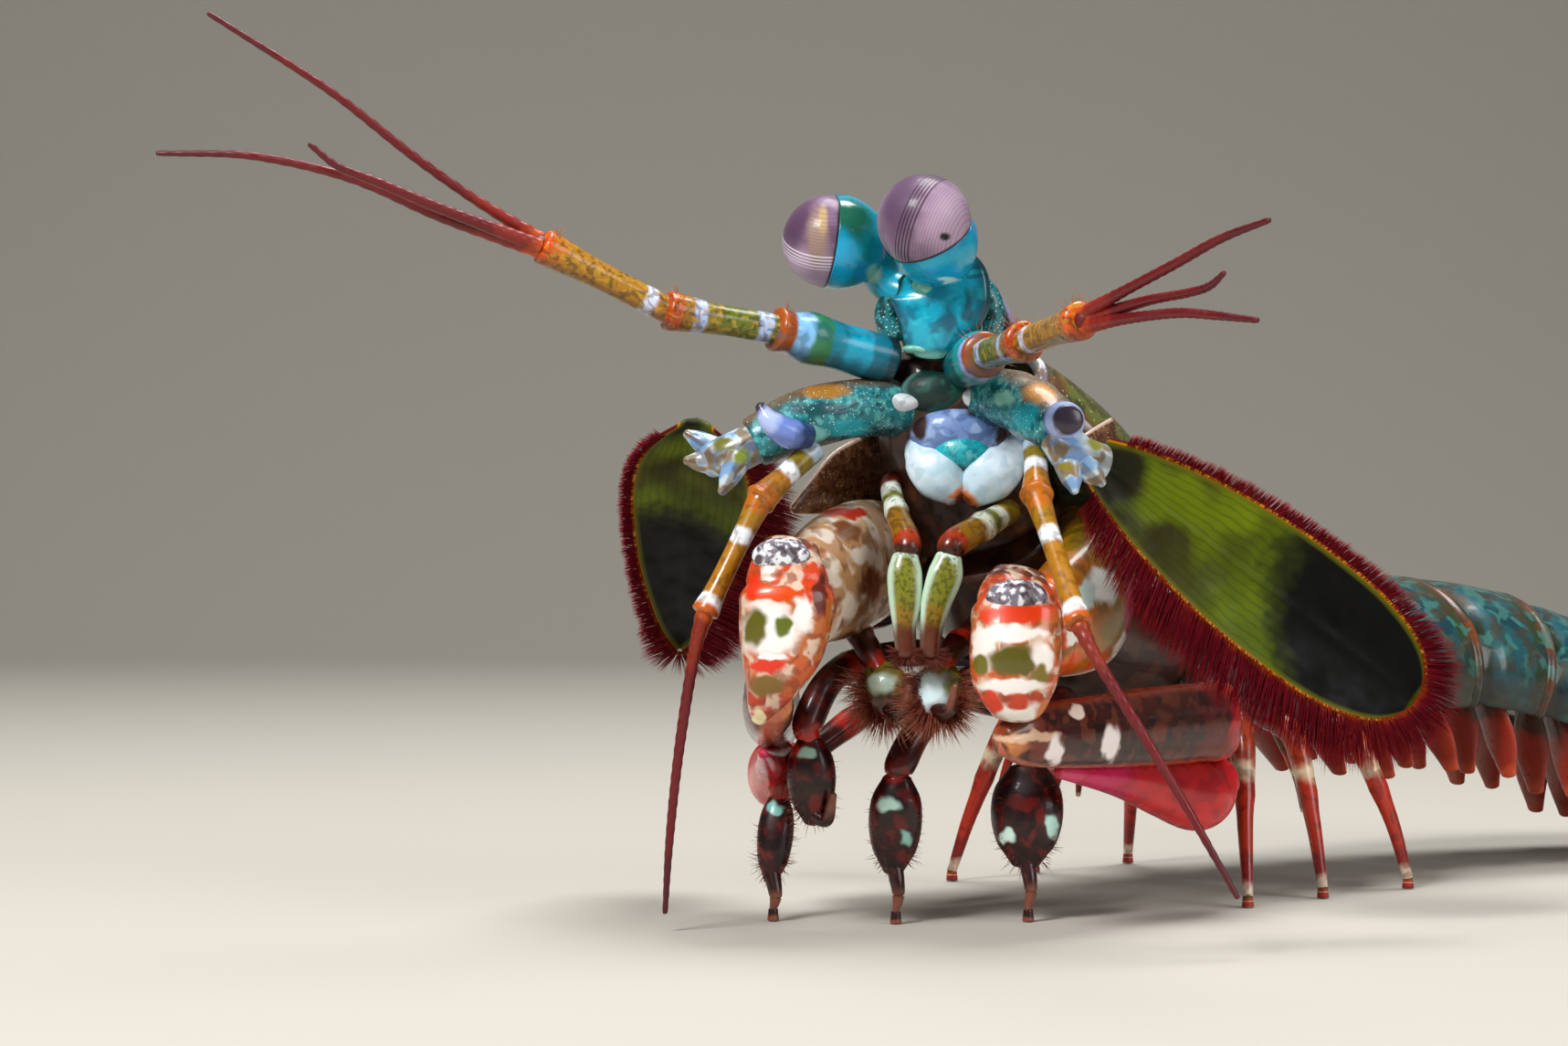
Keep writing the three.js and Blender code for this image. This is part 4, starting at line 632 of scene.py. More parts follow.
def build_face(colours):
    """The face shield, the head behind it, the lip, the jaws and the rostral plate."""
    # Face cuticle: thin and smooth over dark pigment, with a flat turquoise shield in front.
    dark = shell("green black face cuticle, wet", "#0c2a24", mottles=[("#1c4f44", 0.9, 0.4, 0.7)],
                 speckles=[("#5f9a84", 0.35, 0.2)])
    front = tube(FACE_SHIELD, sides=72, wanted=FACE_BACK, caps=(0.5, 0.4), square=1.2, mould=creased,
                 finish=1)
    # The shield's dark sides and the dark marks in its folds are painted shade.
    shield = shell("turquoise face shield, smooth and wet", colours.turquoise, roughness=0.24,
                   wander_mm=0.5, marks=seen_marks(front, FACE_MARKS, 0.6),
                   mottles=[("#055f78", 1.5, 0.42, 0.75), ("#2cc4d0", 1.0, 0.3, 0.6)],
                   layers=[("rim", 0.72, 0.98, 0.9, "#043038"), ("share", 0.86, 0.94, 0.8, "#8fd8cc")])
    ridge = shell("speckled green face ridge, granular", "#1f7f88", relief_mm=0.04,
                  mottles=[("#0a3c3c", 0.6, 0.45, 0.9)], speckles=[("#c4e8d0", 0.3, 0.42)])
    mint = shell("mint face lobe, smooth and wet", "#8fd0b8", mottles=[("#4f9f8f", 0.7, 0.4, 0.7)])
    forms = [tube(FACE_BASE, sides=72, wanted=FACE_BACK, caps=(0.6, 0.4)),
             front]
    forms += [tube(line, sides=36, wanted=FACE_BACK, finish=2) for line in FACE_RIDGES]
    forms += [ball(centre, radii, finish=3) for centre, radii in FACE_LOBES]
    piece("face_shield", joined(forms), [dark, shield, ridge, mint], ["face"])

    # The head's dark brown and near black colour is painted shade beneath the jaws.
    brown = shell("head cuticle in painted shade, dull and folded", "#3a1c12", roughness=0.45,
                  mottles=[("#5a3018", 1.8, 0.4, 0.6), ("#140806", 1.1, 0.45, 0.8)])
    green = shell("dark green oval boss, smooth and dull", "#0f2c28", mottles=[("#1c5548", 1.2, 0.5, 0.7)],
                  roughness=0.5, coat=0.05, layers=[("rim", 0.7, 0.98, 0.8, "#5f8c88")])
    plate = ball((14.4, 1.9, 40.3), (4.1, 2.3, 2.8), finish=2)
    # The mouth plate's dark marks are painted shade in the hollows beside it.
    lavender = shell("lavender mouth plate, chalky cuticle", "#6f8cc0", roughness=0.4,
                     mottles=[("#9fb8dc", 1.4, 0.4, 0.7), ("#3c5c90", 1.0, 0.36, 0.7)],
                     marks=seen_marks(plate, MOUTH_MARKS, 0.3), layers=[("rim", 0.9, 1.0, 0.8, "#4a2c24")])
    pale = shell("white head lobe, chalky cuticle", "#dfe4ea", mottles=[("#8f9a9c", 0.8, 0.36, 0.6)])
    forms = [tube(HEAD, sides=80, wanted=HEAD_BACK, square=1.2, caps=(0.2, 0.2)),
             ball((12.4, 1.6, 43.8), (2.9, 1.9, 1.9), finish=1),
             plate]
    forms += [ball(centre, radii, finish=3) for centre, radii in MOUTH_LOBES]
    piece("head_shell", joined(forms), [brown, green, lavender, pale], ["head"])

    lip = ball((14.6, 1.0, 38.9), (2.5, 1.7, 1.7))
    turquoise = shell("turquoise upper lip, granular cuticle", "#18aebc", relief_mm=0.03,
                      mottles=[("#0f7f90", 0.7, 0.5, 0.7), ("#6fd6d8", 0.9, 0.35, 0.6)],
                      layers=[("share", 0.3, 0.2, 0.9, "#0c3a44")], speckles=[("#0a4a58", 0.3, 0.3)])
    piece("upper_lip_dome", lip, [turquoise], ["upper_lip"])
    # The jaw lobes' blue grey back faces are painted shade.
    white = shell("pale aqua jaw lobe, thick chalky cuticle", "#c4e0e6", soft=0.03, glow=0.2,
                  bands=[(0, "#7f98b8"), (0.16, "#d8e8f4"), (0.6, "#c4dce8"), (0.9, "#c8681c"),
                         (0.96, "#6a2c10")],
                  mottles=[("#a4c8d8", 1.0, 0.36, 0.5)], layers=[("upper", 0.3, 0.95, 0.6, "#5f7f98")])
    for hand, stations in JAWS.items():
        lobe = tube(stations, sides=56, wanted=HEAD_BACK, caps=(0.4, 0.7), mould=pleated)
        piece(f"jaw_{hand}_lobe", lobe, [white], [f"jaw_{hand}"])

    grey = shell("purple grey rostral plate, thin clear cuticle", "#3c3846",
                 mottles=[("#5a5468", 0.9, 0.45, 0.7), ("#23202a", 0.7, 0.4, 0.6)],
                 speckles=[("#8fb0a8", 0.35, 0.2)],
                 layers=[("rim", 0.9, 0.97, 1.0, "#a99cc8"), ("share", 0.9, 0.96, 0.9, "#a99cc8")])
    rostral = tube(ROSTRUM, sides=64, wanted=(0.2, 0.9, 0.35), square=1.3, caps=(0.2, 0.5))
    piece("rostral_plate", rostral, [grey], ["rostrum"])


# CARAPACE AND CHEST

CARAPACE_FRONT = np.array([14.6, 9.6, 47.6])
CARAPACE_TAILWARD = unit((0.49, 0.66, -0.57))
CARAPACE_LENGTH = 33.5
CARAPACE_HALF_WIDTH = 13.6
CARAPACE_THICKNESS = 0.9
# As shares of half a turn: how far the shield reaches round each side, and where its groove runs.
CARAPACE_SPREAD = 0.56
CARAPACE_GROOVE = 0.27
CARAPACE_SHAPE = [(0, 0.66, 5.2, 0), (0.1, 0.8, 6.6, 0.35), (0.25, 0.93, 8.0, 0.6), (0.45, 1, 9.2, 0.7),
                  (0.65, 1.02, 9.8, 0.6), (0.85, 1.03, 9.8, 0.3), (1, 1, 9.4, 0)]


def carapace_form():
    """The arched shield, with a raised rim round it and a groove along each side."""
    side = unit(np.cross(CARAPACE_TAILWARD, (0.16, 0.58, 0.8)))
    back = np.cross(side, CARAPACE_TAILWARD)
    rows = smooth_path(CARAPACE_SHAPE, 12)
    turn = np.linspace(-1, 1, 97) * math.pi * CARAPACE_SPREAD
    along, share, drop, rise = (rows[:, k:k + 1] for k in range(4))
    ridge = CARAPACE_FRONT + CARAPACE_TAILWARD * along * CARAPACE_LENGTH + back * rise
    rim = bell(along, 0.0, 0.012) + bell(along, 1.0, 0.012)
    edge = bell(np.abs(turn[None]), math.pi * 0.55, 0.05)
    groove = bell(np.abs(turn[None]), math.pi * CARAPACE_GROOVE, 0.035)
    groove = groove * ease(along, 0.02, 0.2) * ease(along, 1.0, 0.85)
    lift = 0.22 * np.maximum(rim, edge) - 0.28 * groove

    arches = []
    for inset in (-lift, np.full_like(lift, CARAPACE_THICKNESS)):
        width = CARAPACE_HALF_WIDTH * share - inset
        drop_to = (drop - inset) * (np.cos(turn) - 1) - inset
        arches.append(ridge[:, None] + side * (width * np.sin(turn))[..., None] + back * drop_to[..., None])
    rings = np.concatenate([arches[0], arches[1][:, ::-1]], axis=1)
    sweep = turn[None] / (math.pi * CARAPACE_SPREAD)
    lie = np.stack(np.broadcast_arrays(along, sweep, 0 * sweep + 1), axis=-1)
    return loft(rings, np.concatenate([lie, lie[:, ::-1] * (1, 1, -1)], axis=1))


CARAPACE_LOBES = [
    ([(8.6, 14.0, 37.6, 3.6, 0.5), (5.0, 9.0, 36.6, 2.8, 0.5), (2.6, 6.4, 35.2, 1.6, 0.45),
      (0.8, 4.8, 34.2, 0.5, 0.35)],
     (-0.8, 0.6, 0.0)),
    ([(27.4, 4.2, 38.8, 3.0, 0.5), (25.2, 0.8, 38.4, 2.2, 0.5), (23.2, -1.4, 38.4, 1.0, 0.4)],
     (0.8, -0.6, 0.0)),
]
CHEST = [(16.9, 10.9, 33.0, 6.7, 6.8), (19.8, 15.4, 27.6, 7.4, 6.6), (24.8, 21.8, 22.9, 8.2, 6.0),
         (30.2, 27.7, 20.6, 9.4, 5.6)]


def build_carapace():
    """The carapace with its lobes, and the chest under it."""
    # Carapace: thick mineral shell, worn smooth, so its highlights are broad and its clouds lie soft.
    olive = shell("olive brown carapace, hard mineral shell", "#4a4c24", soft=0.02,
                  bands=[(0, "#9a93b4"), (0.018, "#6b4a2c"), (0.06, "#4a4c28"), (0.5, "#3f5234"),
                         (0.95, "#7a4424"), (0.985, "#a89fb4")],
                  mottles=[("#2a3420", 3.2, 0.5, 0.7), ("#6f7434", 1.4, 0.38, 0.6),
                           ("#6a3c20", 2.2, 0.34, 0.6)],
                  layers=[("rim", 0.95, 0.985, 0.9, "#b8a8a0")], speckles=[("#a0a868", 0.6, 0.25)])
    brown = shell("brown carapace side, thin clear cuticle", "#6a3f26", glow=0.2, soft=0.03,
                  mottles=[("#8f6240", 0.9, 0.45, 0.7), ("#3a1c12", 0.5, 0.42, 0.7)],
                  layers=[("rim", 0.88, 0.96, 0.9, "#c8b0a0")], speckles=[("#d8b890", 0.35, 0.3)])
    forms = [carapace_form()]
    forms += [tube(line, sides=48, wanted=flat, caps=(0.2, 0.3), finish=1) for line, flat in CARAPACE_LOBES]
    piece("carapace_shield", joined(forms), [olive, brown], ["carapace"])
    dusky = shell("dusky chest cuticle, soft and folded", "#331a14", roughness=0.45,
                  mottles=[("#5a3422", 2.0, 0.5, 0.6)])
    chest = tube(CHEST, sides=64, wanted=(0.18, 0.6, 0.78), square=1.2, caps=(0.2, 0.2))
    piece("chest_shell", chest, [dusky], ["chest"])


# ANTENNULES

ANTENNULES = {
    "right": {
        "joints": [(8.6, 1.8, 46.4), (-0.5, -3.0, 48.7), (-9.2, -6.0, 50.0), (-19.0, -9.0, 54.9)],
        "feelers": [
            [(-19.4, -8.6, 55.6, 0.62), (-24.7, -9.6, 58.8, 0.42), (-29.7, -10.6, 62.3, 0.38),
             (-36.0, -11.6, 67.2, 0.33), (-45.3, -12.2, 73.1, 0.22)],
            [(-19.4, -9.4, 54.6, 0.62), (-27.1, -10.8, 57.2, 0.44), (-34.2, -11.6, 60.2, 0.38),
             (-41.9, -12.2, 61.9, 0.33), (-49.3, -12.4, 62.1, 0.22)],
            [(-19.4, -9.8, 55.0, 0.62), (-26.6, -12.2, 57.6, 0.44), (-31.8, -13.4, 59.7, 0.38),
             (-34.9, -14.0, 60.9, 0.32), (-37.1, -14.2, 62.6, 0.22)],
        ],
    },
    "left": {
        "joints": [(15.0, 1.6, 46.0), (16.0, -8.6, 46.4), (18.6, -17.5, 47.0), (22.0, -28.5, 48.0)],
        "feelers": [
            [(22.2, -29.0, 48.5, 0.62), (24.6, -33.4, 49.8, 0.42), (28.1, -38.0, 51.6, 0.38),
             (30.9, -41.8, 53.1, 0.33), (33.8, -45.4, 54.1, 0.22)],
            [(22.3, -29.0, 47.6, 0.62), (25.0, -33.8, 47.9, 0.42), (28.2, -39.0, 48.0, 0.37),
             (30.6, -42.5, 47.6, 0.32), (32.9, -46.0, 47.1, 0.22)],
            [(22.5, -29.2, 48.1, 0.6), (26.2, -34.6, 49.1, 0.4), (29.0, -38.2, 49.5, 0.34),
             (30.2, -40.8, 49.8, 0.3), (31.0, -42.6, 50.6, 0.2)],
        ],
    },
}
# Half thickness of each stalk length at its waist and at its flared end.
STALK_LENGTHS = [(2.0, 1.85), (1.25, 1.62), (1.12, 1.45)]


def at_share(start, end, share, *sizes):
    """A station on the straight line between two points."""
    start, end = np.asarray(start, float), np.asarray(end, float)
    return tuple(start + (end - start) * share) + sizes


def collared(share, turn):
    """A swollen end with a shallow groove before it."""
    return 1 + 0.015 * bell(share, 0.93, 0.04) - 0.02 * bell(share, 0.86, 0.03) + 0.012 * np.sin(turn * 5)


def ringed(share, turn):
    """Shallow rings along a whip."""
    return 1 + 0.05 * np.sin(share * 150)


def stalk_form(joints):
    """The three lengths of an antennule's stalk, each flared where it takes the next."""
    forms = []
    for i, (thin, flared) in enumerate(STALK_LENGTHS):
        sizes = [(-0.04 if i else 0.0, thin * 1.02), (0.2, thin), (0.5, thin), (0.72, thin * 1.1),
                 (0.88, flared * 0.96), (1.01, flared)]
        stations = [at_share(joints[i], joints[i + 1], share, size) for share, size in sizes]
        forms.append(tube(stations, sides=56, steps=12, caps=(0.3, 0.5), mould=collared, finish=i))
    return joined(forms)


def feeler_form(lines):
    """Whips of many short rings."""
    forms = []
    for line in lines:
        length = sum(math.dist(a[:3], b[:3]) for a, b in zip(line, line[1:]))
        forms.append(tube(line, sides=12, steps=int(length * 1.8), caps=(0.2, 0.15), mould=ringed))
    return forms


# The hairs in each joint's ring, and their thickness in mm.
JOINT_HAIRS = 34
JOINT_HAIR_MM = 0.055


def stalk_bristles(joints, seed):
    """Short stiff hairs that stand in a ring on each joint."""
    random = np.random.default_rng(seed)
    roots, tips = [], []
    for i in (1, 2, 3):
        a, b = np.asarray(joints[i - 1], float), np.asarray(joints[i], float)
        forward = unit(b - a)
        side = unit(np.cross(forward, UP))
        upper = np.cross(side, forward)
        for turn in random.uniform(-0.4, math.pi + 0.4, JOINT_HAIRS):
            out = side * math.cos(turn) + upper * math.sin(turn)
            root = b - forward * random.uniform(0.1, 0.7) + out * STALK_LENGTHS[i - 1][1] * 0.9
            roots.append(root)
            tips.append(root + unit(out + forward * random.uniform(-0.2, 0.9)) * random.uniform(0.5, 1.6))
    return bristles(roots, tips, JOINT_HAIR_MM)


# The colours along each length of an antennule, from its root.
FIRST_BANDS = {
    "right": [(0, "#0c2c30"), (0.1, "#0a6f86"), (0.24, "#0aa0c0"), (0.46, "#0a8098"), (0.58, "#2c7a4c"),
              (0.74, "#7fb8e8"), (0.86, "#a04a0c")],
    "left": [(0, "#0a6f78"), (0.6, "#138f90"), (0.79, "#a3a4e0"), (0.88, "#8f4410")],
}
SECOND_BANDS = [(0, "#a04408"), (0.07, "#6a6a08"), (0.14, "#a4bce8"), (0.25, "#5f6c08"), (0.55, "#7a6c08"),
                (0.68, "#b0c4f0"), (0.78, "#8f6408"), (0.87, "#b0420a")]
THIRD_BANDS = [(0, "#b0420a"), (0.1, "#9a6404"), (0.18, "#d0d8f0"), (0.26, "#a87406"), (0.84, "#c06c06"),
               (0.93, "#d0500a")]


def build_antennules(colours):
    """Each antennule: its stalk, the bristles on its joints and its three whips."""
    # Stalk cuticle: hard and softly glossy, with chalk blue rings and rusty, rough joints.
    whip = shell("crimson feeler rings, fine and dry", "#6a1012", soft=0.02, roughness=0.42, coat=0.1,
                 bands=[(0, "#b04408"), (0.05, "#7f1a10"), (0.2, colours.crimson), (0.8, "#560c16")])
    hair = shell("amber joint bristles, stiff and clear", "#a8683c", roughness=0.4, coat=0.1, relief_mm=0.0)
    for hand, shape in ANTENNULES.items():
        lengths = []
        for i, bands in enumerate((FIRST_BANDS[hand], SECOND_BANDS, THIRD_BANDS)):
            freckles = [("#065468", 1.8, 0.36, 0.5)] if i == 0 else [("#3a2606", 0.6, 0.36, 0.6),
                                                                    ("#c89a30", 0.5, 0.24, 0.5)]
            # Each length darkens on its underside: painted shade.
            lengths.append(shell(f"ringed antennule cuticle, length {i + 1}, {hand}", colours.amber,
                                 bands=bands, soft=0.014, wander_mm=0.5, relief_mm=0.022, mottles=freckles,
                                 layers=[("upper", -0.35, -0.95, 0.55, "#1c1406")]))
        piece(f"antennule_{hand}_stalk", stalk_form(shape["joints"]), lengths,
              [f"antennule_{hand}"])
        piece(f"antennule_{hand}_bristles", stalk_bristles(shape["joints"], 5 + len(hand)), [hair])
        root = np.mean([line[0][:3] for line in shape["feelers"]], axis=0)
        whips = joined([ball(root, (0.85, 0.85, 0.85))] + feeler_form(shape["feelers"]))
        piece(f"antennule_{hand}_whips", whips, [whip], [f"antennule_feelers_{hand}"])


# ANTENNAE

ANTENNAE = {
    "right": {
        "root": [(9.6, 3.4, 42.6, 2.6, 2.4), (5.6, 0.4, 42.4, 2.5, 2.4), (1.5, -1.2, 41.4, 2.5, 2.5),
                 (-2.4, -1.6, 39.6, 2.1, 2.1)],
        "tooth": [(1.7, -3.0, 40.0, 1.4, 1.2), (0.3, -4.1, 40.3, 1.5, 1.25), (-1.1, -4.6, 41.2, 1.15, 0.95),
                  (-1.9, -4.6, 42.4, 0.5, 0.45)],
        "lobe": [(-2.2, -1.8, 39.6, 1.7), (-4.4, -1.8, 38.6, 1.7), (-6.0, -0.8, 38.2, 1.5)],
        "teeth": [[(-3.6, -3.0, 38.4), (-5.0, -3.4, 35.6)], [(-5.4, -0.8, 38.8), (-7.9, -0.6, 40.3)],
                  [(-5.6, -1.2, 38.0), (-7.9, -1.4, 38.1)]],
        "stalk": [(2.4, -2.6, 39.0), (-1.9, -6.0, 34.9), (-6.3, -8.0, 25.9)],
        "whip": [(-6.2, -8.0, 26.3, 0.8), (-7.2, -8.0, 22.4, 0.5), (-8.4, -7.2, 14.9, 0.42),
                 (-9.2, -6.2, 7.6, 0.34), (-9.6, -5.2, 1.6, 0.22)],
    },
    "left": {
        "root": [(16.6, 3.2, 43.2, 2.6, 2.4), (18.4, -0.6, 43.2, 2.6, 2.4), (20.5, -4.8, 41.9, 2.5, 2.5),
                 (22.0, -8.2, 40.2, 2.1, 2.1)],
        "tooth": [(22.1, -7.4, 41.0, 1.5, 1.4), (22.3, -9.4, 41.1, 1.65, 1.6),
                  (22.5, -11.0, 41.2, 1.2, 1.15)],
        "lobe": [(21.9, -8.2, 40.0, 1.7), (23.2, -8.8, 38.4, 1.8), (25.4, -7.9, 37.8, 1.5)],
        "teeth": [[(22.6, -9.8, 37.6), (23.0, -10.6, 35.6)], [(23.8, -9.6, 37.6), (25.2, -10.2, 36.2)]],
        "stalk": [(20.2, -6.4, 39.2), (20.0, -10.8, 35.2), (22.7, -18.2, 25.3)],
        "whip": [(22.5, -17.8, 25.8, 0.8), (24.0, -19.3, 22.6, 0.5), (27.4, -20.8, 16.9, 0.42),
                 (30.9, -22.0, 10.9, 0.34), (34.4, -22.8, 4.6, 0.22)],
    },
}


# Marks on the roots and joints of the antennae, as pixels of the photograph.
ANTENNA_MARKS = {
    "root_right": [(905, 428, 26, 9, "#a8742c"), (900, 448, 34, 7, "#0c4a50"), (930, 470, 24, 12, "#18a0b0"),
                   (890, 476, 16, 9, "#7fd0cc"), (918, 496, 34, 7, "#0a2c30")],
    "root_left": [(1138, 430, 18, 13, "#b87a2c"), (1120, 456, 16, 14, "#149aa8"),
                  (1100, 436, 12, 8, "#8fd0c0"), (1128, 486, 24, 8, "#0c3438")],
    "joint_right": [(812, 500, 10, 8, "#7a8a2c"), (838, 512, 8, 6, "#5f8fb0"), (792, 486, 12, 8, "#6a6a20")],
    "joint_left": [(1180, 500, 12, 8, "#6f8fb8"), (1200, 486, 12, 7, "#8a8a38"),
                   (1166, 512, 8, 6, "#8f7f2c")],
}
UPPER_STALK_BANDS = [(0, "#a8bccc"), (0.2, "#7f6c14"), (0.4, "#e4eaf0"), (0.58, "#a86c10"), (0.8, "#b8640a")]
LOWER_STALK_BANDS = [(0, "#b8640a"), (0.15, "#9f7010"), (0.29, "#e8eef4"), (0.4, "#a8700e"),
                     (0.72, "#a86c0a"), (0.84, "#eceef2"), (0.93, "#c0580c")]


def rippled(share, turn):
    """Shallow swellings along a root."""
    return 1 + 0.03 * np.sin(9 * share * math.pi) * np.sin(2 * turn)


def build_antennae(colours):
    """Each antenna: its root with a tooth, its lobed joint, and its stalk with a whip."""
    # Antenna shell: granular on the roots and chalky on the joints, where highlights break up, and smooth on
    # the teeth and the stalks, where they stay narrow.
    lavender = shell("lavender antenna tooth, smooth shell", "#8fa6dc", roughness=0.26, soft=0.05,
                     bands=[(0, "#2c3f6a"), (0.3, "#6f88d0"), (0.6, "#b0c0f2"), (0.88, "#3a3040")])
    # The stalks darken on their undersides: painted shade.
    amber = {"mottles": [("#5f3c06", 0.8, 0.34, 0.5)], "layers": [("upper", -0.3, -0.95, 0.5, "#3a2008")]}
    upper = shell("banded feeler stalk, upper length", "#b07818", bands=UPPER_STALK_BANDS, soft=0.025,
                  **amber)
    lower = shell("banded feeler stalk, lower length", "#b07818", bands=LOWER_STALK_BANDS, soft=0.016,
                  **amber)
    whip = shell("crimson antenna whip, fine rings", "#6a1a16", soft=0.02, roughness=0.42, coat=0.1,
                 bands=[(0, "#b04a08"), (0.05, "#7f200c"), (0.2, colours.crimson), (0.8, "#500e18")])
    for hand, shape in ANTENNAE.items():
        root = tube(shape["root"], sides=72, steps=16, caps=(0.2, 0.4), mould=rippled)
        # The root's dark underside is painted shade.
        teal = shell(f"teal antenna root, granular shell, {hand}", "#1c7f88", relief_mm=0.03,
                     mottles=[("#0a4650", 0.9, 0.48, 0.8), ("#5fb8b4", 0.7, 0.36, 0.7)],
                     layers=[("upper", 0.55, 0.95, 0.8, "#7a4c18"), ("upper", -0.4, -0.9, 0.85, "#08262a")],
                     marks=seen_marks(root, ANTENNA_MARKS[f"root_{hand}"], 0.35),
                     speckles=[("#b8e4dc", 0.32, 0.3)])
        tooth = tube(shape["tooth"], sides=40, caps=(0.2, 0.35), finish=1)
        piece(f"antenna_{hand}_root", joined([root, tooth]), [teal, lavender],
              [f"antenna_root_{hand}"])
        forms = [tube(shape["lobe"], sides=56, caps=(0.4, 0.5))]
        for start, end in shape["teeth"]:
            sizes = [(0.0, 1.15), (0.6, 0.85), (1.0, 0.4)]
            forms.append(tube([at_share(start, end, share, size) for share, size in sizes], sides=32,
                              caps=(0.4, 0.35)))
        joint = joined(forms)
        white = shell(f"white antenna joint, lobed chalky shell, {hand}", "#c4d4dc", wander_mm=0.35,
                      mottles=[("#7a5a1c", 1.2, 0.4, 0.85), ("#5f94c8", 1.3, 0.36, 0.8)],
                      layers=[("rim", 0.88, 0.98, 0.6, "#4a3018")],
                      marks=seen_marks(joint, ANTENNA_MARKS[f"joint_{hand}"], 0.4))
        piece(f"antenna_{hand}_joint", joint, [white], [f"antenna_joint_{hand}"])
        a, b, c = shape["stalk"]
        upper_sizes = [(0.0, 1.05), (0.5, 0.95), (0.85, 1.15), (1.0, 1.35)]
        lower_sizes = [(0.0, 1.1), (0.3, 0.86), (0.75, 0.85), (1.0, 1.12)]
        stalks = [tube([at_share(a, b, share, size) for share, size in upper_sizes], sides=44,
                       caps=(0.3, 0.5), mould=collared),
                  tube([at_share(b, c, share, size) for share, size in lower_sizes], sides=44,
                       mould=collared, finish=1)]
        lash = feeler_form([shape["whip"]])[0]
        lash.finishes = [2] * len(lash.faces)
        piece(f"antenna_{hand}_feeler_shell", joined(stalks + [lash]), [upper, lower, whip],
              [f"antenna_feeler_{hand}"])


# ANTENNAL SCALES

SCALE_LENGTH = 33.0
SCALE_THICKNESS = 0.7
# The ribs of a blade: where each runs across it, its height in mm and its width.
SCALE_RIBS = [(0, 0.07, 0.08), (0.62, 0.04, 0.07), (0.965, 0.08, 0.03)]
# Each scale's root, tip, direction across the blade and bow, the side with the long hairs, where its black
# end begins, how far that edge slants, and its half width in mm along the blade.
SCALES = {
    "right": {"root": (-7.3, 1.0, 40.7), "tip": (-9.4, 27.6, 21.2), "across": (-1.0, 0.0, 0.12),
              "camber": 0.9, "long": -1, "black": 0.4, "slant": 0.06,
              "outline": [(0, 1.7), (0.06, 3.4), (0.16, 4.8), (0.3, 5.2), (0.46, 4.85), (0.63, 4.15),
                          (0.78, 3.1), (0.88, 2.2), (0.95, 1.3), (1, 0.4)]},
    "left": {"root": (25.0, -7.6, 38.2), "tip": (52.2, -4.6, 18.0), "across": (0.6, 0.16, 0.78),
             "camber": -0.9, "long": -1, "black": 0.56, "slant": 0.1,
             "outline": [(0, 2.05), (0.08, 3.1), (0.2, 4.2), (0.35, 5.1), (0.5, 5.6), (0.63, 5.7),
                         (0.76, 5.5), (0.86, 4.8), (0.93, 3.8), (0.975, 2.4), (1, 0.8)]},
}
# Bristle lengths in mm along the blade: the share of its length, on the short side and on the long side.
BRISTLE_LENGTHS = [(0, 0.7, 1.2), (0.1, 0.9, 3.2), (0.3, 1.1, 4.6), (0.6, 1.2, 5.0), (0.85, 1.7, 4.6),
                   (1, 3.4, 3.8)]
# The step along the rim that its direction is taken over, how deep a root lies in the rim, and how far the
# hairs lean towards the tip.
RIM_STEP_MM = 0.8
ROOT_DEPTH_MM = 0.35
HAIR_LEAN = np.array([0.42, 0.0])
# The veins of a blade, as turns of a wave across half of it, and how far its black end bows towards the tip.
VEINS = 46.0
END_BOW = 0.07


def scale_frame(shape):
    """Turns places on the blade, along it, across it and through it, into layout millimetres."""
    root = np.asarray(shape["root"], float)
    along = unit(np.asarray(shape["tip"]) - root)
    through = unit(np.cross(along, shape["across"]))
    wide = unit(np.cross(through, along))
    return lambda x, y, z: (root + along * np.asarray(x)[..., None] + wide * np.asarray(y)[..., None]
                            + through * np.asarray(z)[..., None])


def scale_blade(shape):
    """The paddle: a thin bowed blade with a thick rim, a middle rib and a rib near each edge."""
    place = scale_frame(shape)
    t, width = np.hsplit(smooth_path(shape["outline"], 12), 2)
    share = np.linspace(-1, 1, 81)[None]
    bow = shape["camber"] * (1 - share ** 2)
    rib = sum(high * bell(np.abs(share), where, wide) for where, high, wide in SCALE_RIBS)
    flat = SCALE_THICKNESS / 2 * np.sqrt(np.clip(1 - share ** 6, 0.02, 1)) * 0.9
    half = flat + rib * np.minimum(1, 4 * (1 - t))
    x, y = np.broadcast_arrays(t * SCALE_LENGTH, share * width)
    faces = [place(x, y, bow + sign * half) for sign in (1, -1)]
    rings = np.concatenate([faces[0], faces[1][:, ::-1]], axis=1)
    edge = np.minimum((1 - np.abs(share)) * width, (1.0 - t) * SCALE_LENGTH + 0.2)
    lie = np.stack(np.broadcast_arrays(t, share, edge), axis=-1)
    return loft(rings, np.concatenate([lie, lie[:, ::-1]], axis=1))


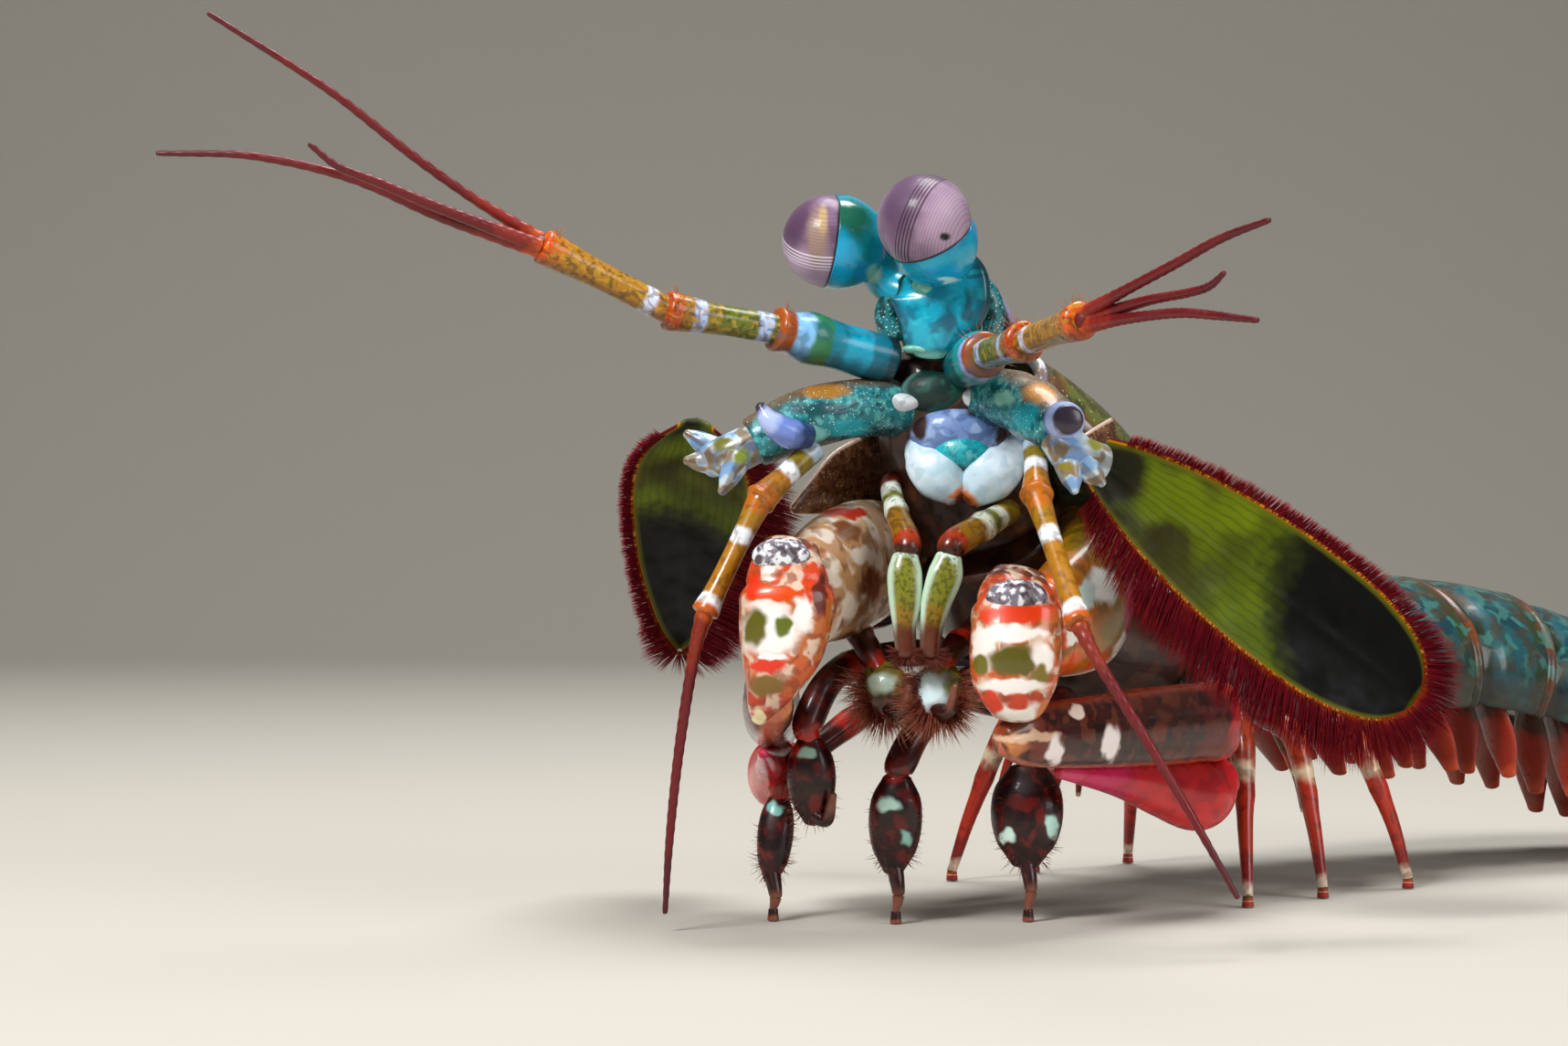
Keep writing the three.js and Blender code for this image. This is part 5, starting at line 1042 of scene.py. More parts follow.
def scale_fringe(shape, hairs, hair_mm, seed):
    """Hairs that stand close together all round the rim, longest on the lower edge and the tip."""
    random = np.random.default_rng(seed)
    place = scale_frame(shape)
    outline = smooth_path(shape["outline"], 12) * (SCALE_LENGTH, 1.0)
    edge = np.vstack([outline * (1, -1), outline[::-1]])
    reach = np.concatenate([[0], np.cumsum(np.linalg.norm(np.diff(edge, axis=0), axis=1))])
    where = np.sort(random.uniform(0.02, 0.98, hairs)) * reach[-1]
    x, y = (np.interp(where, reach, line) for line in edge.T)
    ahead, behind = where + RIM_STEP_MM, where - RIM_STEP_MM
    run = np.stack([np.interp(ahead, reach, line) - np.interp(behind, reach, line) for line in edge.T],
                   axis=-1)
    out = unit(np.stack([run[:, 1], -run[:, 0]], axis=-1))
    lengths = np.array(BRISTLE_LENGTHS)
    long_side = np.sign(y) == shape["long"]
    long = np.where(long_side, np.interp(x / SCALE_LENGTH, lengths[:, 0], lengths[:, 2]),
                    np.interp(x / SCALE_LENGTH, lengths[:, 0], lengths[:, 1]))
    wave = 1 + 0.05 * np.sin(where * 2.1) + 0.04 * np.sin(where * 5.3)
    long = long * wave * random.uniform(0.8, 1.05, hairs)
    lean = unit(out + HAIR_LEAN + random.normal(0, 0.07, (hairs, 2)))
    depth = random.uniform(-0.16, 0.16, hairs)
    roots = place(x - out[:, 0] * ROOT_DEPTH_MM, y - out[:, 1] * ROOT_DEPTH_MM, depth)
    tips = place(x + lean[:, 0] * long, y + lean[:, 1] * long,
                 depth * 2.2 + random.uniform(-0.2, 0.2, hairs))
    widest = outline[:, 1].max()
    skin = np.stack([0.05 + 0.9 * x / SCALE_LENGTH, 0.5 + 0.45 * y / widest], axis=-1)
    return bristles(roots, tips, random.uniform(0.75, 1.2, hairs) * hair_mm, (roots - tips) * (0, 0, 0.03),
                    skin)


def scale_leaf(name, black, slant):
    """Antennal scale: a thin, clear, leafy cuticle over pigment, so it shows soft veins under a wet gloss.

    It is brown at its root, yellow green in the middle, and black where its slanted oval end begins.
    """
    material, tree, shader, place, readings = started(name)
    warped, noise = wavered(tree, place, 0.3)
    centred = {0: noise, 1: 0.1, 2: -0.05}
    shift = add_node(tree, "ShaderNodeMath", centred, operation="MULTIPLY_ADD").outputs[0]
    share = add_node(tree, "ShaderNodeMath", {0: readings["share"], 1: shift}, operation="ADD").outputs[0]
    bands = [(0, "#1c1c0c"), (black * 0.25, "#2c2808"), (black * 0.5, "#3a3c06"), (black * 0.75, "#4c5a05")]
    colour = banded(tree, share, bands, 0.06)
    cloud = add_node(tree, "ShaderNodeTexNoise", {"Vector": warped, "Scale": 1 / (5.0 * MM), "Detail": 1.0})
    colour = layer(tree, colour, "#6a7c06", cloud.outputs["Fac"], 0.42, 0.68, 0.7)
    # Veins: fine dark lines that run along the blade and waver a little.
    across = {0: readings["side"], 1: VEINS}
    turns = add_node(tree, "ShaderNodeMath", across, operation="MULTIPLY").outputs[0]
    wavering = {0: noise, 1: 5.0, 2: turns}
    wobble = add_node(tree, "ShaderNodeMath", wavering, operation="MULTIPLY_ADD").outputs[0]
    vein = add_node(tree, "ShaderNodeMath", {0: wobble}, operation="SINE").outputs[0]
    colour = layer(tree, colour, "#2a2408", vein, 0.3, 1.0, 0.3)
    # The black end: its edge slants across the blade and bows.
    slanted = {0: readings["side"], 1: slant, 2: share}
    tilt = add_node(tree, "ShaderNodeMath", slanted, operation="MULTIPLY_ADD").outputs[0]
    squared = {0: readings["rim"], 1: readings["rim"]}
    bent = add_node(tree, "ShaderNodeMath", squared, operation="MULTIPLY").outputs[0]
    bowed = {0: bent, 1: -END_BOW, 2: tilt}
    end = add_node(tree, "ShaderNodeMath", bowed, operation="MULTIPLY_ADD").outputs[0]
    colour = layer(tree, colour, "#181c06", end, black - 0.08, black, 0.85)
    colour = layer(tree, colour, "#050504", end, black - 0.02, black + 0.06)
    colour = layer(tree, colour, "#5c5c08", readings["upper"], 0.9, 0.5, 0.7)
    colour = layer(tree, colour, "#b87806", readings["upper"], 0.48, 0.3)
    colour = layer(tree, colour, "#5a1208", readings["upper"], 0.26, 0.12)
    tree.links.new(colour, shader.inputs["Base Color"])
    wet_skin(tree, shader, place, 0.46, 0.0, 0.12, 0.012, 0.03, ior=1.2)
    return material


def build_scales(sizes, colours):
    """Each antennal scale: its blade and its fringe."""
    # Fringe: clear hairs over red pigment, too fine to shine, so their mass looks soft and deep.
    fringe = shell("maroon scale fringe, fine clear hairs", colours.fringe, roughness=0.6, coat=0.0,
                   relief_mm=0.0, bands=[(0, "#8a2c0c"), (0.1, colours.fringe), (0.75, "#84101c")],
                   soft=0.05, layers=[("upper", 0.6, 0.65, 0.45, "#3a060e")], ior=1.15)
    for k, (hand, shape) in enumerate(SCALES.items()):
        leaf = scale_leaf(f"leafy antennal scale, {hand}", shape["black"], shape["slant"])
        piece(f"antennal_scale_{hand}_blade", scale_blade(shape), [leaf],
              [f"antennal_scale_{hand}"])
        hairs = scale_fringe(shape, sizes.fringe_hairs, sizes.fringe_hair * 1000, 11 + k)
        piece(f"antennal_scale_{hand}_fringe", hairs, [fringe])


# MOUTH LIMBS

CLEANERS = {
    "right": {
        "arm": [(10.6, 7.6, 36.0, 0.8), (8.9, 3.4, 36.2, 0.85), (9.3, -1.2, 33.6, 0.95),
                (10.0, -4.0, 31.4, 1.15), (9.9, -4.6, 30.4, 0.9)],
        "palm": [(9.8, -4.7, 30.2, 1.1, 0.8), (9.75, -5.2, 28.8, 1.42, 0.8), (9.75, -5.5, 26.6, 1.3, 0.75),
                 (9.7, -5.7, 24.6, 0.95, 0.7), (9.85, -5.8, 22.5, 0.85, 0.65)],
    },
    "left": {
        "arm": [(19.0, 6.6, 34.4, 0.9), (18.6, 2.6, 34.0, 1.0), (16.0, -2.0, 32.6, 1.15),
                (13.7, -4.4, 31.3, 1.2), (13.4, -4.9, 30.4, 0.9)],
        "palm": [(13.3, -4.9, 30.2, 1.1, 0.8), (13.0, -5.3, 28.8, 1.42, 0.8), (12.3, -5.6, 26.7, 1.25, 0.75),
                 (11.9, -5.8, 24.6, 0.95, 0.7), (11.8, -5.8, 22.5, 0.85, 0.65)],
    },
}
CLEANER_BACK = (0.0, 1.0, 0.2)
# The third to fifth limbs: the arm's stations, the ends of the palm, its half width and depth, and whether
# it carries a brush of hairs or stands on the floor.
PICKERS = {
    "third_right": {"arm": [(12.4, 11.0, 26.4, 1.0), (6.6, 6.6, 24.6, 1.05), (6.9, 0.6, 22.6, 1.1)],
                    "palm": [(7.7, -1.4, 21.2), (8.5, -3.0, 17.6)], "size": (2.1, 1.3), "brush": True},
    "third_left": {"arm": [(18.4, 9.4, 26.4, 1.0), (16.0, 5.0, 24.2, 1.05), (13.6, -0.6, 22.4, 1.1)],
                   "palm": [(13.0, -2.8, 21.2), (12.2, -4.4, 17.6)], "size": (2.2, 1.3), "brush": True},
    "fourth_right": {"arm": [(16.4, 14.2, 21.6, 1.0), (9.6, 7.6, 22.0, 1.1), (4.4, 1.6, 20.6, 1.2),
                             (2.0, -0.6, 16.8, 1.3)],
                     "palm": [(2.1, -1.0, 15.2), (2.4, -0.8, 8.6)], "size": (2.0, 1.5)},
    "fourth_left": {"arm": [(21.6, 13.2, 20.6, 1.0), (16.4, 6.6, 20.4, 1.1), (11.6, 2.2, 16.4, 1.2),
                            (9.6, 0.6, 13.2, 1.3)],
                    "palm": [(9.3, 0.4, 12.0), (9.0, 1.0, 4.4)], "size": (2.2, 1.6), "floor": True},
    "fifth_right": {"arm": [(19.0, 18.4, 17.0, 1.0), (10.6, 11.6, 18.6, 1.1), (3.0, 6.6, 14.4, 1.1),
                            (0.0, 4.8, 11.6, 1.2)],
                    "palm": [(-0.4, 4.4, 10.2), (-1.1, 3.2, 3.4)], "size": (1.5, 1.3), "floor": True},
    "fifth_left": {"arm": [(25.0, 17.0, 16.6, 1.0), (23.2, 9.4, 18.0, 1.1), (20.6, 4.4, 14.2, 1.3)],
                   "palm": [(20.3, 3.6, 12.6), (20.0, 2.6, 4.8)], "size": (3.0, 1.9), "floor": True},
}
PALM_BACK = (0.1, 1.0, 0.15)
# How many hairs stand on each kind of palm, and the range of their lengths in mm.
BRUSH_HAIRS = (1100, (0.9, 2.9))
PALM_HAIRS = (220, (0.4, 1.3))
CLEANER_HAIRS = (260, (0.6, 1.5))
# The share along a palm and the share of its width there.
PALM_SHAPE = [(0.0, 0.55), (0.22, 0.92), (0.5, 1.0), (0.78, 0.82), (1.0, 0.4)]
# Marks on the dark palms, as pixels of the photograph.
PICKER_MARKS = {
    "third_right": [(966, 748, 15, 12, "#c4dcc8"), (990, 756, 10, 14, "#5f5c20")],
    "third_left": [(1012, 755, 27, 20, "#d8f0f4"), (1044, 756, 9, 18, "#6a6a20")],
    "fourth_right": [(884, 826, 9, 7, "#a8d0c0"), (862, 818, 12, 8, "#b0200e"),
                     (892, 880, 7, 12, "#6a120a")],
    "fifth_right": [(851, 850, 8, 6, "#c8f0e0"), (849, 884, 7, 6, "#7fc0b8")],
    "fourth_left": [(974, 881, 10, 8, "#c8f0e0"), (990, 917, 6, 8, "#8fc0b4"), (976, 846, 13, 9, "#a81c0c")],
    "fifth_left": [(1087, 920, 9, 7, "#d8f4e8"), (1166, 906, 6, 12, "#b8e4d8"),
                   (1120, 880, 16, 9, "#6a100a")],
}


def knuckled(share, turn):
    """Two swollen joints along an arm."""
    return 1 + 0.12 * bell(share, 0.62, 0.04) + 0.1 * bell(share, 0.3, 0.04)


def tufts(start, end, out_of, lengths, count, random):
    """Roots and tips of hairs that radiate in front of a palm and below it, from an oval."""
    turn = random.uniform(-2.0, 2.0, count)
    out = unit(np.stack([np.sin(turn), random.uniform(-0.75, -0.1, count), -np.cos(turn)], axis=-1))
    share = random.uniform(0.25, 0.85, count)[:, None]
    roots = start + (end - start) * share + out * out_of
    return roots, roots + out * random.uniform(*lengths, count)[:, None]


def picker_forms(shape, hair_mm, seed):
    """One picking limb: palm, claw and arm as a form, and its bristles."""
    start, end = (np.asarray(p, float) for p in shape["palm"])
    wide, deep = shape["size"]
    stations = [at_share(start, end, share, wide * size, deep * size) for share, size in PALM_SHAPE]
    palm = tube(stations, sides=52, wanted=PALM_BACK, caps=(0.4, 0.4), mould=collared)
    on_floor = "floor" in shape
    tip = end + ((0.2, -0.4, 1.0 - end[2]) if on_floor else (1.6, -1.7, 2.2))
    bent = end + (tip - end) * 0.5 + (0.3, -0.3, 0.0 if on_floor else -0.9)
    claw = tube([at_share(start, end, 0.9, 0.75), tuple(bent) + (0.55,), tuple(tip) + (0.3,)], sides=24,
                finish=2)
    arm_line = shape["arm"] + [tuple(start) + (0.85,), at_share(start, end, 0.2, 0.7)]
    forms = [palm, claw, tube(arm_line, sides=36, mould=knuckled, finish=1)]
    if on_floor:
        forms.append(tube([tuple(tip) + (0.4,), (tip[0], tip[1], 0.12, 0.5)], sides=24, caps=(0.1, 0.1),
                          wanted=(0, 1, 0), finish=2))
    random = np.random.default_rng(seed)
    count, lengths = BRUSH_HAIRS if "brush" in shape else PALM_HAIRS
    roots, tips = tufts(start, end, (wide * 0.7, deep * 0.8, wide * 0.7), lengths, count, random)
    return joined(forms), bristles(roots, tips, hair_mm, random.normal(0, 0.06, roots.shape))


def build_cleaners(sizes, colours):
    """The first pair of mouth limbs, with their bristles."""
    # Cleaning limbs: thin smooth shell in clear bands, and palms with a pale rim that is a painted
    # highlight.
    hair = shell("russet palm bristles, fine and stiff", "#6a2a18", roughness=0.5, coat=0.0, relief_mm=0.0)
    arm_bands = {"right": [(0, "#4a0e0a"), (0.26, "#7a1c10"), (0.4, "#dce4d8"), (0.5, "#6f7420"),
                           (0.56, "#dce4d8"), (0.66, "#8f6410"), (0.86, "#a83408"), (0.93, "#3a140a")],
                 "left": [(0, "#5a2410"), (0.3, "#8a7018"), (0.46, "#d8dcc8"), (0.54, "#6f7420"),
                          (0.62, "#d8dcc8"), (0.7, "#8f6410"), (0.86, "#a83408"), (0.93, "#3a140a")]}
    for k, (hand, shape) in enumerate(CLEANERS.items()):
        arm = tube(shape["arm"], sides=44, caps=(0.2, 0.4), wanted=CLEANER_BACK, mould=knuckled)
        palm = tube(shape["palm"], sides=56, caps=(0.5, 0.5), wanted=CLEANER_BACK, finish=1)
        banded_arm = shell(f"banded cleaning limb arm, {hand}", "#8a8a4a", bands=arm_bands[hand], soft=0.018,
                           mottles=[("#3a2a10", 0.6, 0.34, 0.5)])
        # The palm's pale rim is a painted highlight.
        palm_skin = shell(f"mint rimmed cleaning palm, {hand}", colours.olive, soft=0.05, wander_mm=0.15,
                          bands=[(0, "#cfe8d8"), (0.08, "#7a7c20"), (0.5, "#8a6a18"), (0.7, "#6a2c14"),
                                 (0.86, "#5a1c10")],
                          mottles=[("#4a4a10", 0.35, 0.42, 0.7)],
                          layers=[("rim", 0.5, 0.85, 0.9, "#c4e0c8"), ("share", 0.6, 0.8, 0.9, "#5a2412")])
        piece(f"cleaner_{hand}_limb", joined([arm, palm]), [banded_arm, palm_skin],
              [f"cleaner_{hand}"])
        end = np.asarray(shape["palm"][-1][:3])
        count, lengths = CLEANER_HAIRS
        roots, tips = tufts(end, end, 0.5, lengths, count, np.random.default_rng(70 + k))
        piece(f"cleaner_{hand}_bristles", bristles(roots, tips, sizes.bristle * 1000), [hair])


def build_pickers(sizes, colours):
    """The third to fifth pairs of mouth limbs, with their bristles."""
    # Picking limbs: dark, fairly smooth shell, so the pale spots and small highlights stand out on it.
    pale = shell("rusty mouth bristles, fine and stiff", "#8a3a24", roughness=0.5, coat=0.0, relief_mm=0.0,
                 soft=0.06, bands=[(0, "#6a1c10"), (0.4, "#98442c"), (0.8, "#b88468")])
    dark = shell("russet mouth bristles, fine and stiff", "#6a2a1c", roughness=0.5, coat=0.0, relief_mm=0.0,
                 bands=[(0, "#4a0e0a"), (0.5, "#8a4030")], soft=0.08)
    for k, (name, shape) in enumerate(PICKERS.items()):
        form, hairs = picker_forms(shape, sizes.bristle * 1000, 30 + k)
        brush = "brush" in shape
        marks = seen_marks(form, PICKER_MARKS[name], 0.35)
        if brush:
            palm = shell(f"olive picking palm, {name}", "#6a561a", wander_mm=0.4, marks=marks, soft=0.08,
                         bands=[(0, "#7a6a20"), (0.55, "#5f4416"), (0.75, "#5a1c10")],
                         mottles=[("#2c1c08", 0.7, 0.36, 0.7)])
        else:
            palm = shell(f"dark picking palm, {name}", colours.maroon, wander_mm=0.45, roughness=0.34,
                         coat=0.2, marks=marks, mottles=[("#6a120a", 1.3, 0.4, 0.75),
                                                         ("#0c0202", 1.0, 0.42, 0.8)])
        arm = shell(f"picking arm shell, {name}", "#3a0c08", mottles=[("#6a180e", 1.4, 0.4, 0.6)], soft=0.02,
                    bands=[(0, "#280806"), (0.5, "#4a0e0a"), (0.58, "#c02a14"), (0.66, "#3a0c08"),
                           (0.9, "#b02412")])
        claw = shell(f"pale picking claw, {name}", "#5a2418", bands=[(0, "#2c0806"), (0.6, "#7a4430")],
                     soft=0.1)
        piece(f"picker_{name}_limb", form, [palm, arm, claw], [f"picker_{name}"])
        piece(f"picker_{name}_bristles", hairs, [pale if brush else dark])


# CLUBS

# The striking limbs, each part through stations [x, y, z, half width, half height].
CLUBS = {
    "right": {
        "arm": [(14.6, 15.8, 28.6, 2.0, 2.6), (10.4, 12.6, 30.2, 2.8, 3.9), (7.0, 6.6, 29.8, 3.4, 5.2),
                (4.2, 0.6, 28.6, 3.4, 5.3), (2.0, -4.4, 27.4, 2.9, 4.4), (0.9, -6.8, 26.9, 2.4, 3.5)],
        "wrist": [(0.6, -8.2, 31.2, 2.2, 1.2), (0.3, -9.4, 29.2, 3.1, 2.2), (0.2, -10.2, 26.2, 3.7, 2.7),
                  (-0.2, -10.4, 23.2, 3.4, 2.6), (-0.9, -10.4, 20.6, 2.4, 2.2),
                  (-1.7, -10.2, 18.5, 1.3, 1.3), (-2.0, -10.0, 17.4, 0.6, 0.6)],
        "forearm": [(-0.9, -7.2, 18.8, 1.6, 1.8), (-1.2, -4.6, 18.6, 2.0, 2.8), (-1.3, 0.2, 18.2, 2.1, 3.2),
                    (-1.2, 5.0, 17.6, 2.1, 3.3), (-0.6, 10.4, 17.0, 2.0, 3.2)],
        "hammer": [(-0.5, 12.0, 13.2, 1.9, 1.9), (-0.7, 9.8, 11.8, 2.4, 3.0), (-1.0, 6.4, 12.2, 1.7, 2.1),
                   (-1.3, 1.4, 13.2, 1.0, 1.2), (-1.7, -5.4, 14.4, 0.4, 0.4)],
    },
    "left": {
        "arm": [(19.8, 15.2, 28.8, 2.0, 2.6), (23.8, 12.2, 30.4, 2.8, 3.9), (25.8, 6.8, 28.8, 3.4, 5.4),
                (25.0, 1.0, 26.6, 3.5, 5.6), (22.2, -4.2, 25.0, 2.9, 4.6), (20.6, -6.8, 24.4, 2.4, 3.5)],
        "wrist": [(18.7, -9.2, 28.8, 2.2, 1.2), (18.4, -10.8, 26.8, 3.2, 2.3), (18.3, -11.8, 23.8, 3.6, 2.8),
                  (18.2, -12.0, 21.0, 3.5, 2.7), (18.2, -11.7, 19.0, 2.7, 2.2),
                  (18.1, -11.3, 18.0, 1.8, 1.6)],
        "forearm": [(17.4, -11.4, 15.8, 1.2, 1.3), (19.6, -9.2, 16.0, 1.9, 2.4),
                    (25.4, -3.0, 16.1, 2.2, 3.0), (32.0, 4.2, 16.2, 2.3, 3.3), (37.0, 9.6, 16.3, 2.1, 3.3)],
        "hammer": [(37.2, 11.0, 11.5, 1.8, 2.0), (35.2, 9.2, 10.1, 2.6, 3.1), (31.6, 5.4, 10.9, 2.0, 2.5),
                   (27.4, 0.4, 12.0, 1.3, 1.5), (22.2, -5.4, 12.9, 0.5, 0.5)],
    },
}
# Marks on the striking limbs, as pixels of the photograph.
CLUB_MARKS = {
    "arm_right": [(929, 549, 34, 7, "#b8301c"), (930, 580, 18, 12, "#7a4a2c"), (955, 640, 14, 18, "#7a4426"),
                  (925, 700, 16, 14, "#6f4020"), (945, 608, 16, 10, "#e4d8c8"),
                  (930, 664, 12, 14, "#e0d0bc")],
    "arm_left": [(1210, 641, 24, 20, "#f0f0ec"), (1252, 720, 16, 18, "#f0f0ec"),
                 (1175, 697, 10, 10, "#f0ece4"), (1196, 734, 30, 22, "#e0500a"),
                 (1262, 660, 12, 44, "#b8104a"), (1190, 650, 10, 16, "#c8dcd4"),
                 (1218, 690, 18, 16, "#8a6a0c")],
    "wrist_right": [(846, 650, 34, 9, "#d8480c"), (840, 664, 22, 7, "#f0d8d0"),
                    (880, 672, 10, 20, "#f4ece8"), (842, 690, 34, 26, "#f4eee8"),
                    (824, 640, 8, 14, "#d8340c"), (890, 640, 9, 20, "#c83c10"), (899, 650, 6, 26, "#5f1c0c"),
                    (827, 686, 14, 21, "#5f5a14"), (858, 685, 10, 12, "#5f6a1c"),
                    (842, 728, 22, 7, "#d82c10"), (846, 718, 16, 4, "#f4ece8"),
                    (840, 750, 20, 12, "#7a5a1c"), (862, 772, 10, 6, "#f4ece4"),
                    (832, 786, 6, 9, "#f0e0b0")],
    "wrist_left": [(1112, 672, 44, 12, "#d8380a"), (1104, 694, 44, 9, "#f4ece6"),
                   (1078, 712, 12, 22, "#f0e4dc"), (1111, 724, 27, 18, "#5a5414"),
                   (1074, 728, 9, 10, "#6a6418"), (1142, 722, 12, 16, "#f0e8e0"),
                   (1140, 740, 9, 10, "#7a6a1c"), (1108, 752, 40, 7, "#f4ece6"),
                   (1116, 780, 24, 14, "#f4eee6"), (1116, 770, 14, 8, "#c8401c"),
                   (1086, 770, 12, 14, "#d83a10"), (1142, 778, 9, 14, "#c8681c")],
    "forearm_left": [(1130, 806, 44, 6, "#d8b090"), (1155, 822, 10, 18, "#f4e8e4"),
                     (1217, 815, 11, 21, "#f4e8e4"), (1180, 780, 8, 8, "#e8d0c0"),
                     (1270, 800, 12, 10, "#7a3018")],
    "forearm_right": [(846, 768, 7, 12, "#c89a70")],
    "hammer_left": [(1210, 857, 34, 8, "#c00a50")],
    "hammer_right": [(850, 842, 10, 12, "#e01820")],
}
# The patch of painted reflection on top of each wrist, as pixels of the photograph: its middle and half
# sizes.
WRIST_REFLECTIONS = {"right": (855, 609, 32, 20), "left": (1114, 654, 34, 20)}


def arm_mould(share, turn):
    """A groove and a raised rim at the wrist's end."""
    return 1 - 0.05 * bell(share, 0.93, 0.02) + 0.03 * bell(share, 0.96, 0.02)


def wrist_mould(share, turn):
    """A step below the flat top, and a keel down the front."""
    step = 0.05 * bell(share, 0.33, 0.05) - 0.06 * bell(share, 0.27, 0.025)
    return 1 + step - 0.04 * bell(np.sin(turn), -1, 0.25)


def forearm_mould(share, turn):
    """A raised rim at the hammer's end, and a shallow groove along each side."""
    return 1 + 0.04 * bell(share, 0.93, 0.03) - 0.03 * bell(np.sin(turn), 0.2, 0.08)


def hammer_mould(share, turn):
    """A slight swelling behind the bulb."""
    return 1 + 0.02 * bell(share, 0.35, 0.1)


# How the tube of each part is rounded, squared, moulded and turned.
CLUB_TUBES = {
    "arm": {"caps": (0.4, 0.5), "square": 1.1, "mould": arm_mould},
    "wrist": {"caps": (0.5, 0.4), "square": 1.15, "mould": wrist_mould, "wanted": (0.0, 1.0, 0.2)},
    "forearm": {"caps": (0.5, 0.8), "square": 1.2, "mould": forearm_mould},
    "hammer": {"caps": (0.9, 0.5), "mould": hammer_mould},
}


def build_clubs(colours):
    """The striking limbs: arm, wrist with its painted reflection patch, forearm and hammer."""
    # Club shell: the hardest and smoothest cuticle, so it is glossy and its marks are crisp.
    arm_bands = {"right": [(0, "#6f4426"), (0.3, "#9a7448"), (0.5, "#c8a480"), (0.7, "#b88a60"),
                           (0.92, "#b0341c")],
                 "left": [(0, "#8a4410"), (0.25, "#8a5c0c"), (0.5, "#8a6a0c"), (0.75, "#b06008"),
                          (0.9, "#d8500a")]}
    arm_clouds = {"right": [("#ece0d0", 1.9, 0.34, 0.8), ("#6f4420", 1.3, 0.36, 0.6)],
                  "left": [("#b87a10", 1.6, 0.36, 0.7), ("#5f4a0c", 1.3, 0.34, 0.6)]}
    paints = {
        "wrist": {"bands": [(0, "#5a2c1c"), (0.16, "#c8441c"), (0.34, "#b8642c"), (0.6, "#c85a24"),
                            (0.8, "#b8300e")],
                  "mottles": [(colours.cream, 1.3, 0.4, 0.85), ("#8a3a14", 0.9, 0.34, 0.7)]},
        "forearm": {"bands": [(0, "#c87a44"), (0.05, "#6a2410"), (0.14, "#3a0e06"), (0.5, "#4a180a"),
                              (0.78, "#6a100a"), (0.92, "#d0101a")],
                    "mottles": [("#1c0603", 1.6, 0.42, 0.8), ("#7a3a20", 1.2, 0.3, 0.5)],
                    "layers": [("upper", 0.7, 0.98, 0.6, "#a03018"),
                               ("upper", -0.8, -0.98, 0.8, "#c86a50")]},
        "hammer": {"bands": [(0, colours.scarlet), (0.5, "#d01420"), (0.62, "#b80a48"), (0.9, "#c83060")],
                   "mottles": [("#a80c18", 1.8, 0.42, 0.7)]},
    }
    # A low dome on top of each wrist, coloured silver and white as a painted reflection.
    painted_reflection = shell("painted reflection on the wrist top, smooth cuticle", "#77707c", roughness=0.22,
                   coat=0.5, mottles=[("#e8e8f0", 0.5, 0.42, 0.95), ("#3a2424", 0.7, 0.34, 0.8)],
                   layers=[("share", 0.3, 0.16, 0.8, "#5a2418")])
    for hand, club in CLUBS.items():
        for name, line in club.items():
            form = tube(line, sides=76, steps=14, **CLUB_TUBES[name])
            paint = paints.get(name) or {"bands": arm_bands[hand], "mottles": arm_clouds[hand]}
            marks = seen_marks(form, CLUB_MARKS[f"{name}_{hand}"], 0.26)
            skins = [shell(f"club {name} shell, {hand}, hard mineral cuticle", colours.cream, soft=0.02,
                           wander_mm=0.4, marks=marks, roughness=0.26, coat=0.35, **paint)]
            if name == "wrist":
                form = joined([form, seen_dome(form, *WRIST_REFLECTIONS[hand], 1.1, 1)])
                skins.append(painted_reflection)
            piece(f"club_{hand}_{name}", form, skins, [f"club_{name}_{hand}"])


# TRUNK AND TAIL

# The trunk's line in the layout.
TRUNK = [(16.6, 10.4, 33.6), (19.8, 15.4, 27.6), (24.8, 21.8, 22.9), (30.8, 28.3, 20.4), (37.6, 35.2, 19.4),
         (44.6, 41.6, 19.6), (52.6, 48.0, 20.3), (61.4, 53.8, 20.2), (70.6, 58.7, 18.2), (79.8, 62.7, 15.0),
         (88.8, 65.8, 11.2), (96.8, 68.2, 8.0), (104.5, 70.3, 6.4), (112.5, 72.4, 5.9)]
# Half of a ring's cross section, as shares of its half width and half height, from its back to its belly.
SOMITE_OUTLINE = [(0, 1), (0.32, 0.95), (0.6, 0.78), (0.83, 0.5), (0.97, 0.12), (1.0, -0.28), (0.93, -0.62),
                  (0.8, -0.5), (0.66, -0.36), (0.3, -0.42), (0, -0.44)]
# Each ring's name, length, half width and half height.
SOMITES = [("chest_somite_5", 3.2, 10.6, 6.5), ("chest_somite_6", 5.2, 11.2, 6.8),
           ("chest_somite_7", 5.6, 11.7, 7.0), ("chest_somite_8", 6.0, 12.0, 7.2),
           ("tail_somite_1", 9.6, 12.4, 7.4), ("tail_somite_2", 10.2, 12.6, 7.5),
           ("tail_somite_3", 10.2, 12.6, 7.4), ("tail_somite_4", 10.0, 12.4, 7.1),
           ("tail_somite_5", 9.6, 12.0, 6.7), ("tail_somite_6", 8.2, 11.2, 5.9)]
# Which of these carry swimmerets.
SWIMMERET_RINGS = range(4, 9)
# Where the first of them begins along the trunk, and the gap between two.
CHEST_END = 24.2
SOMITE_GAP = 0.46
TRUNK_LINE = smooth_path(TRUNK, 60)
TRUNK_REACH = np.concatenate([[0], np.cumsum(np.linalg.norm(np.diff(TRUNK_LINE, axis=0), axis=1))])
TRUNK_LENGTH = TRUNK_REACH[-1]


def on_trunk(distance):
    """Points of the trunk's line at distances along it."""
    held = np.clip(distance, 0, TRUNK_LENGTH)
    return np.stack([np.interp(held, TRUNK_REACH, line) for line in TRUNK_LINE.T], axis=-1)


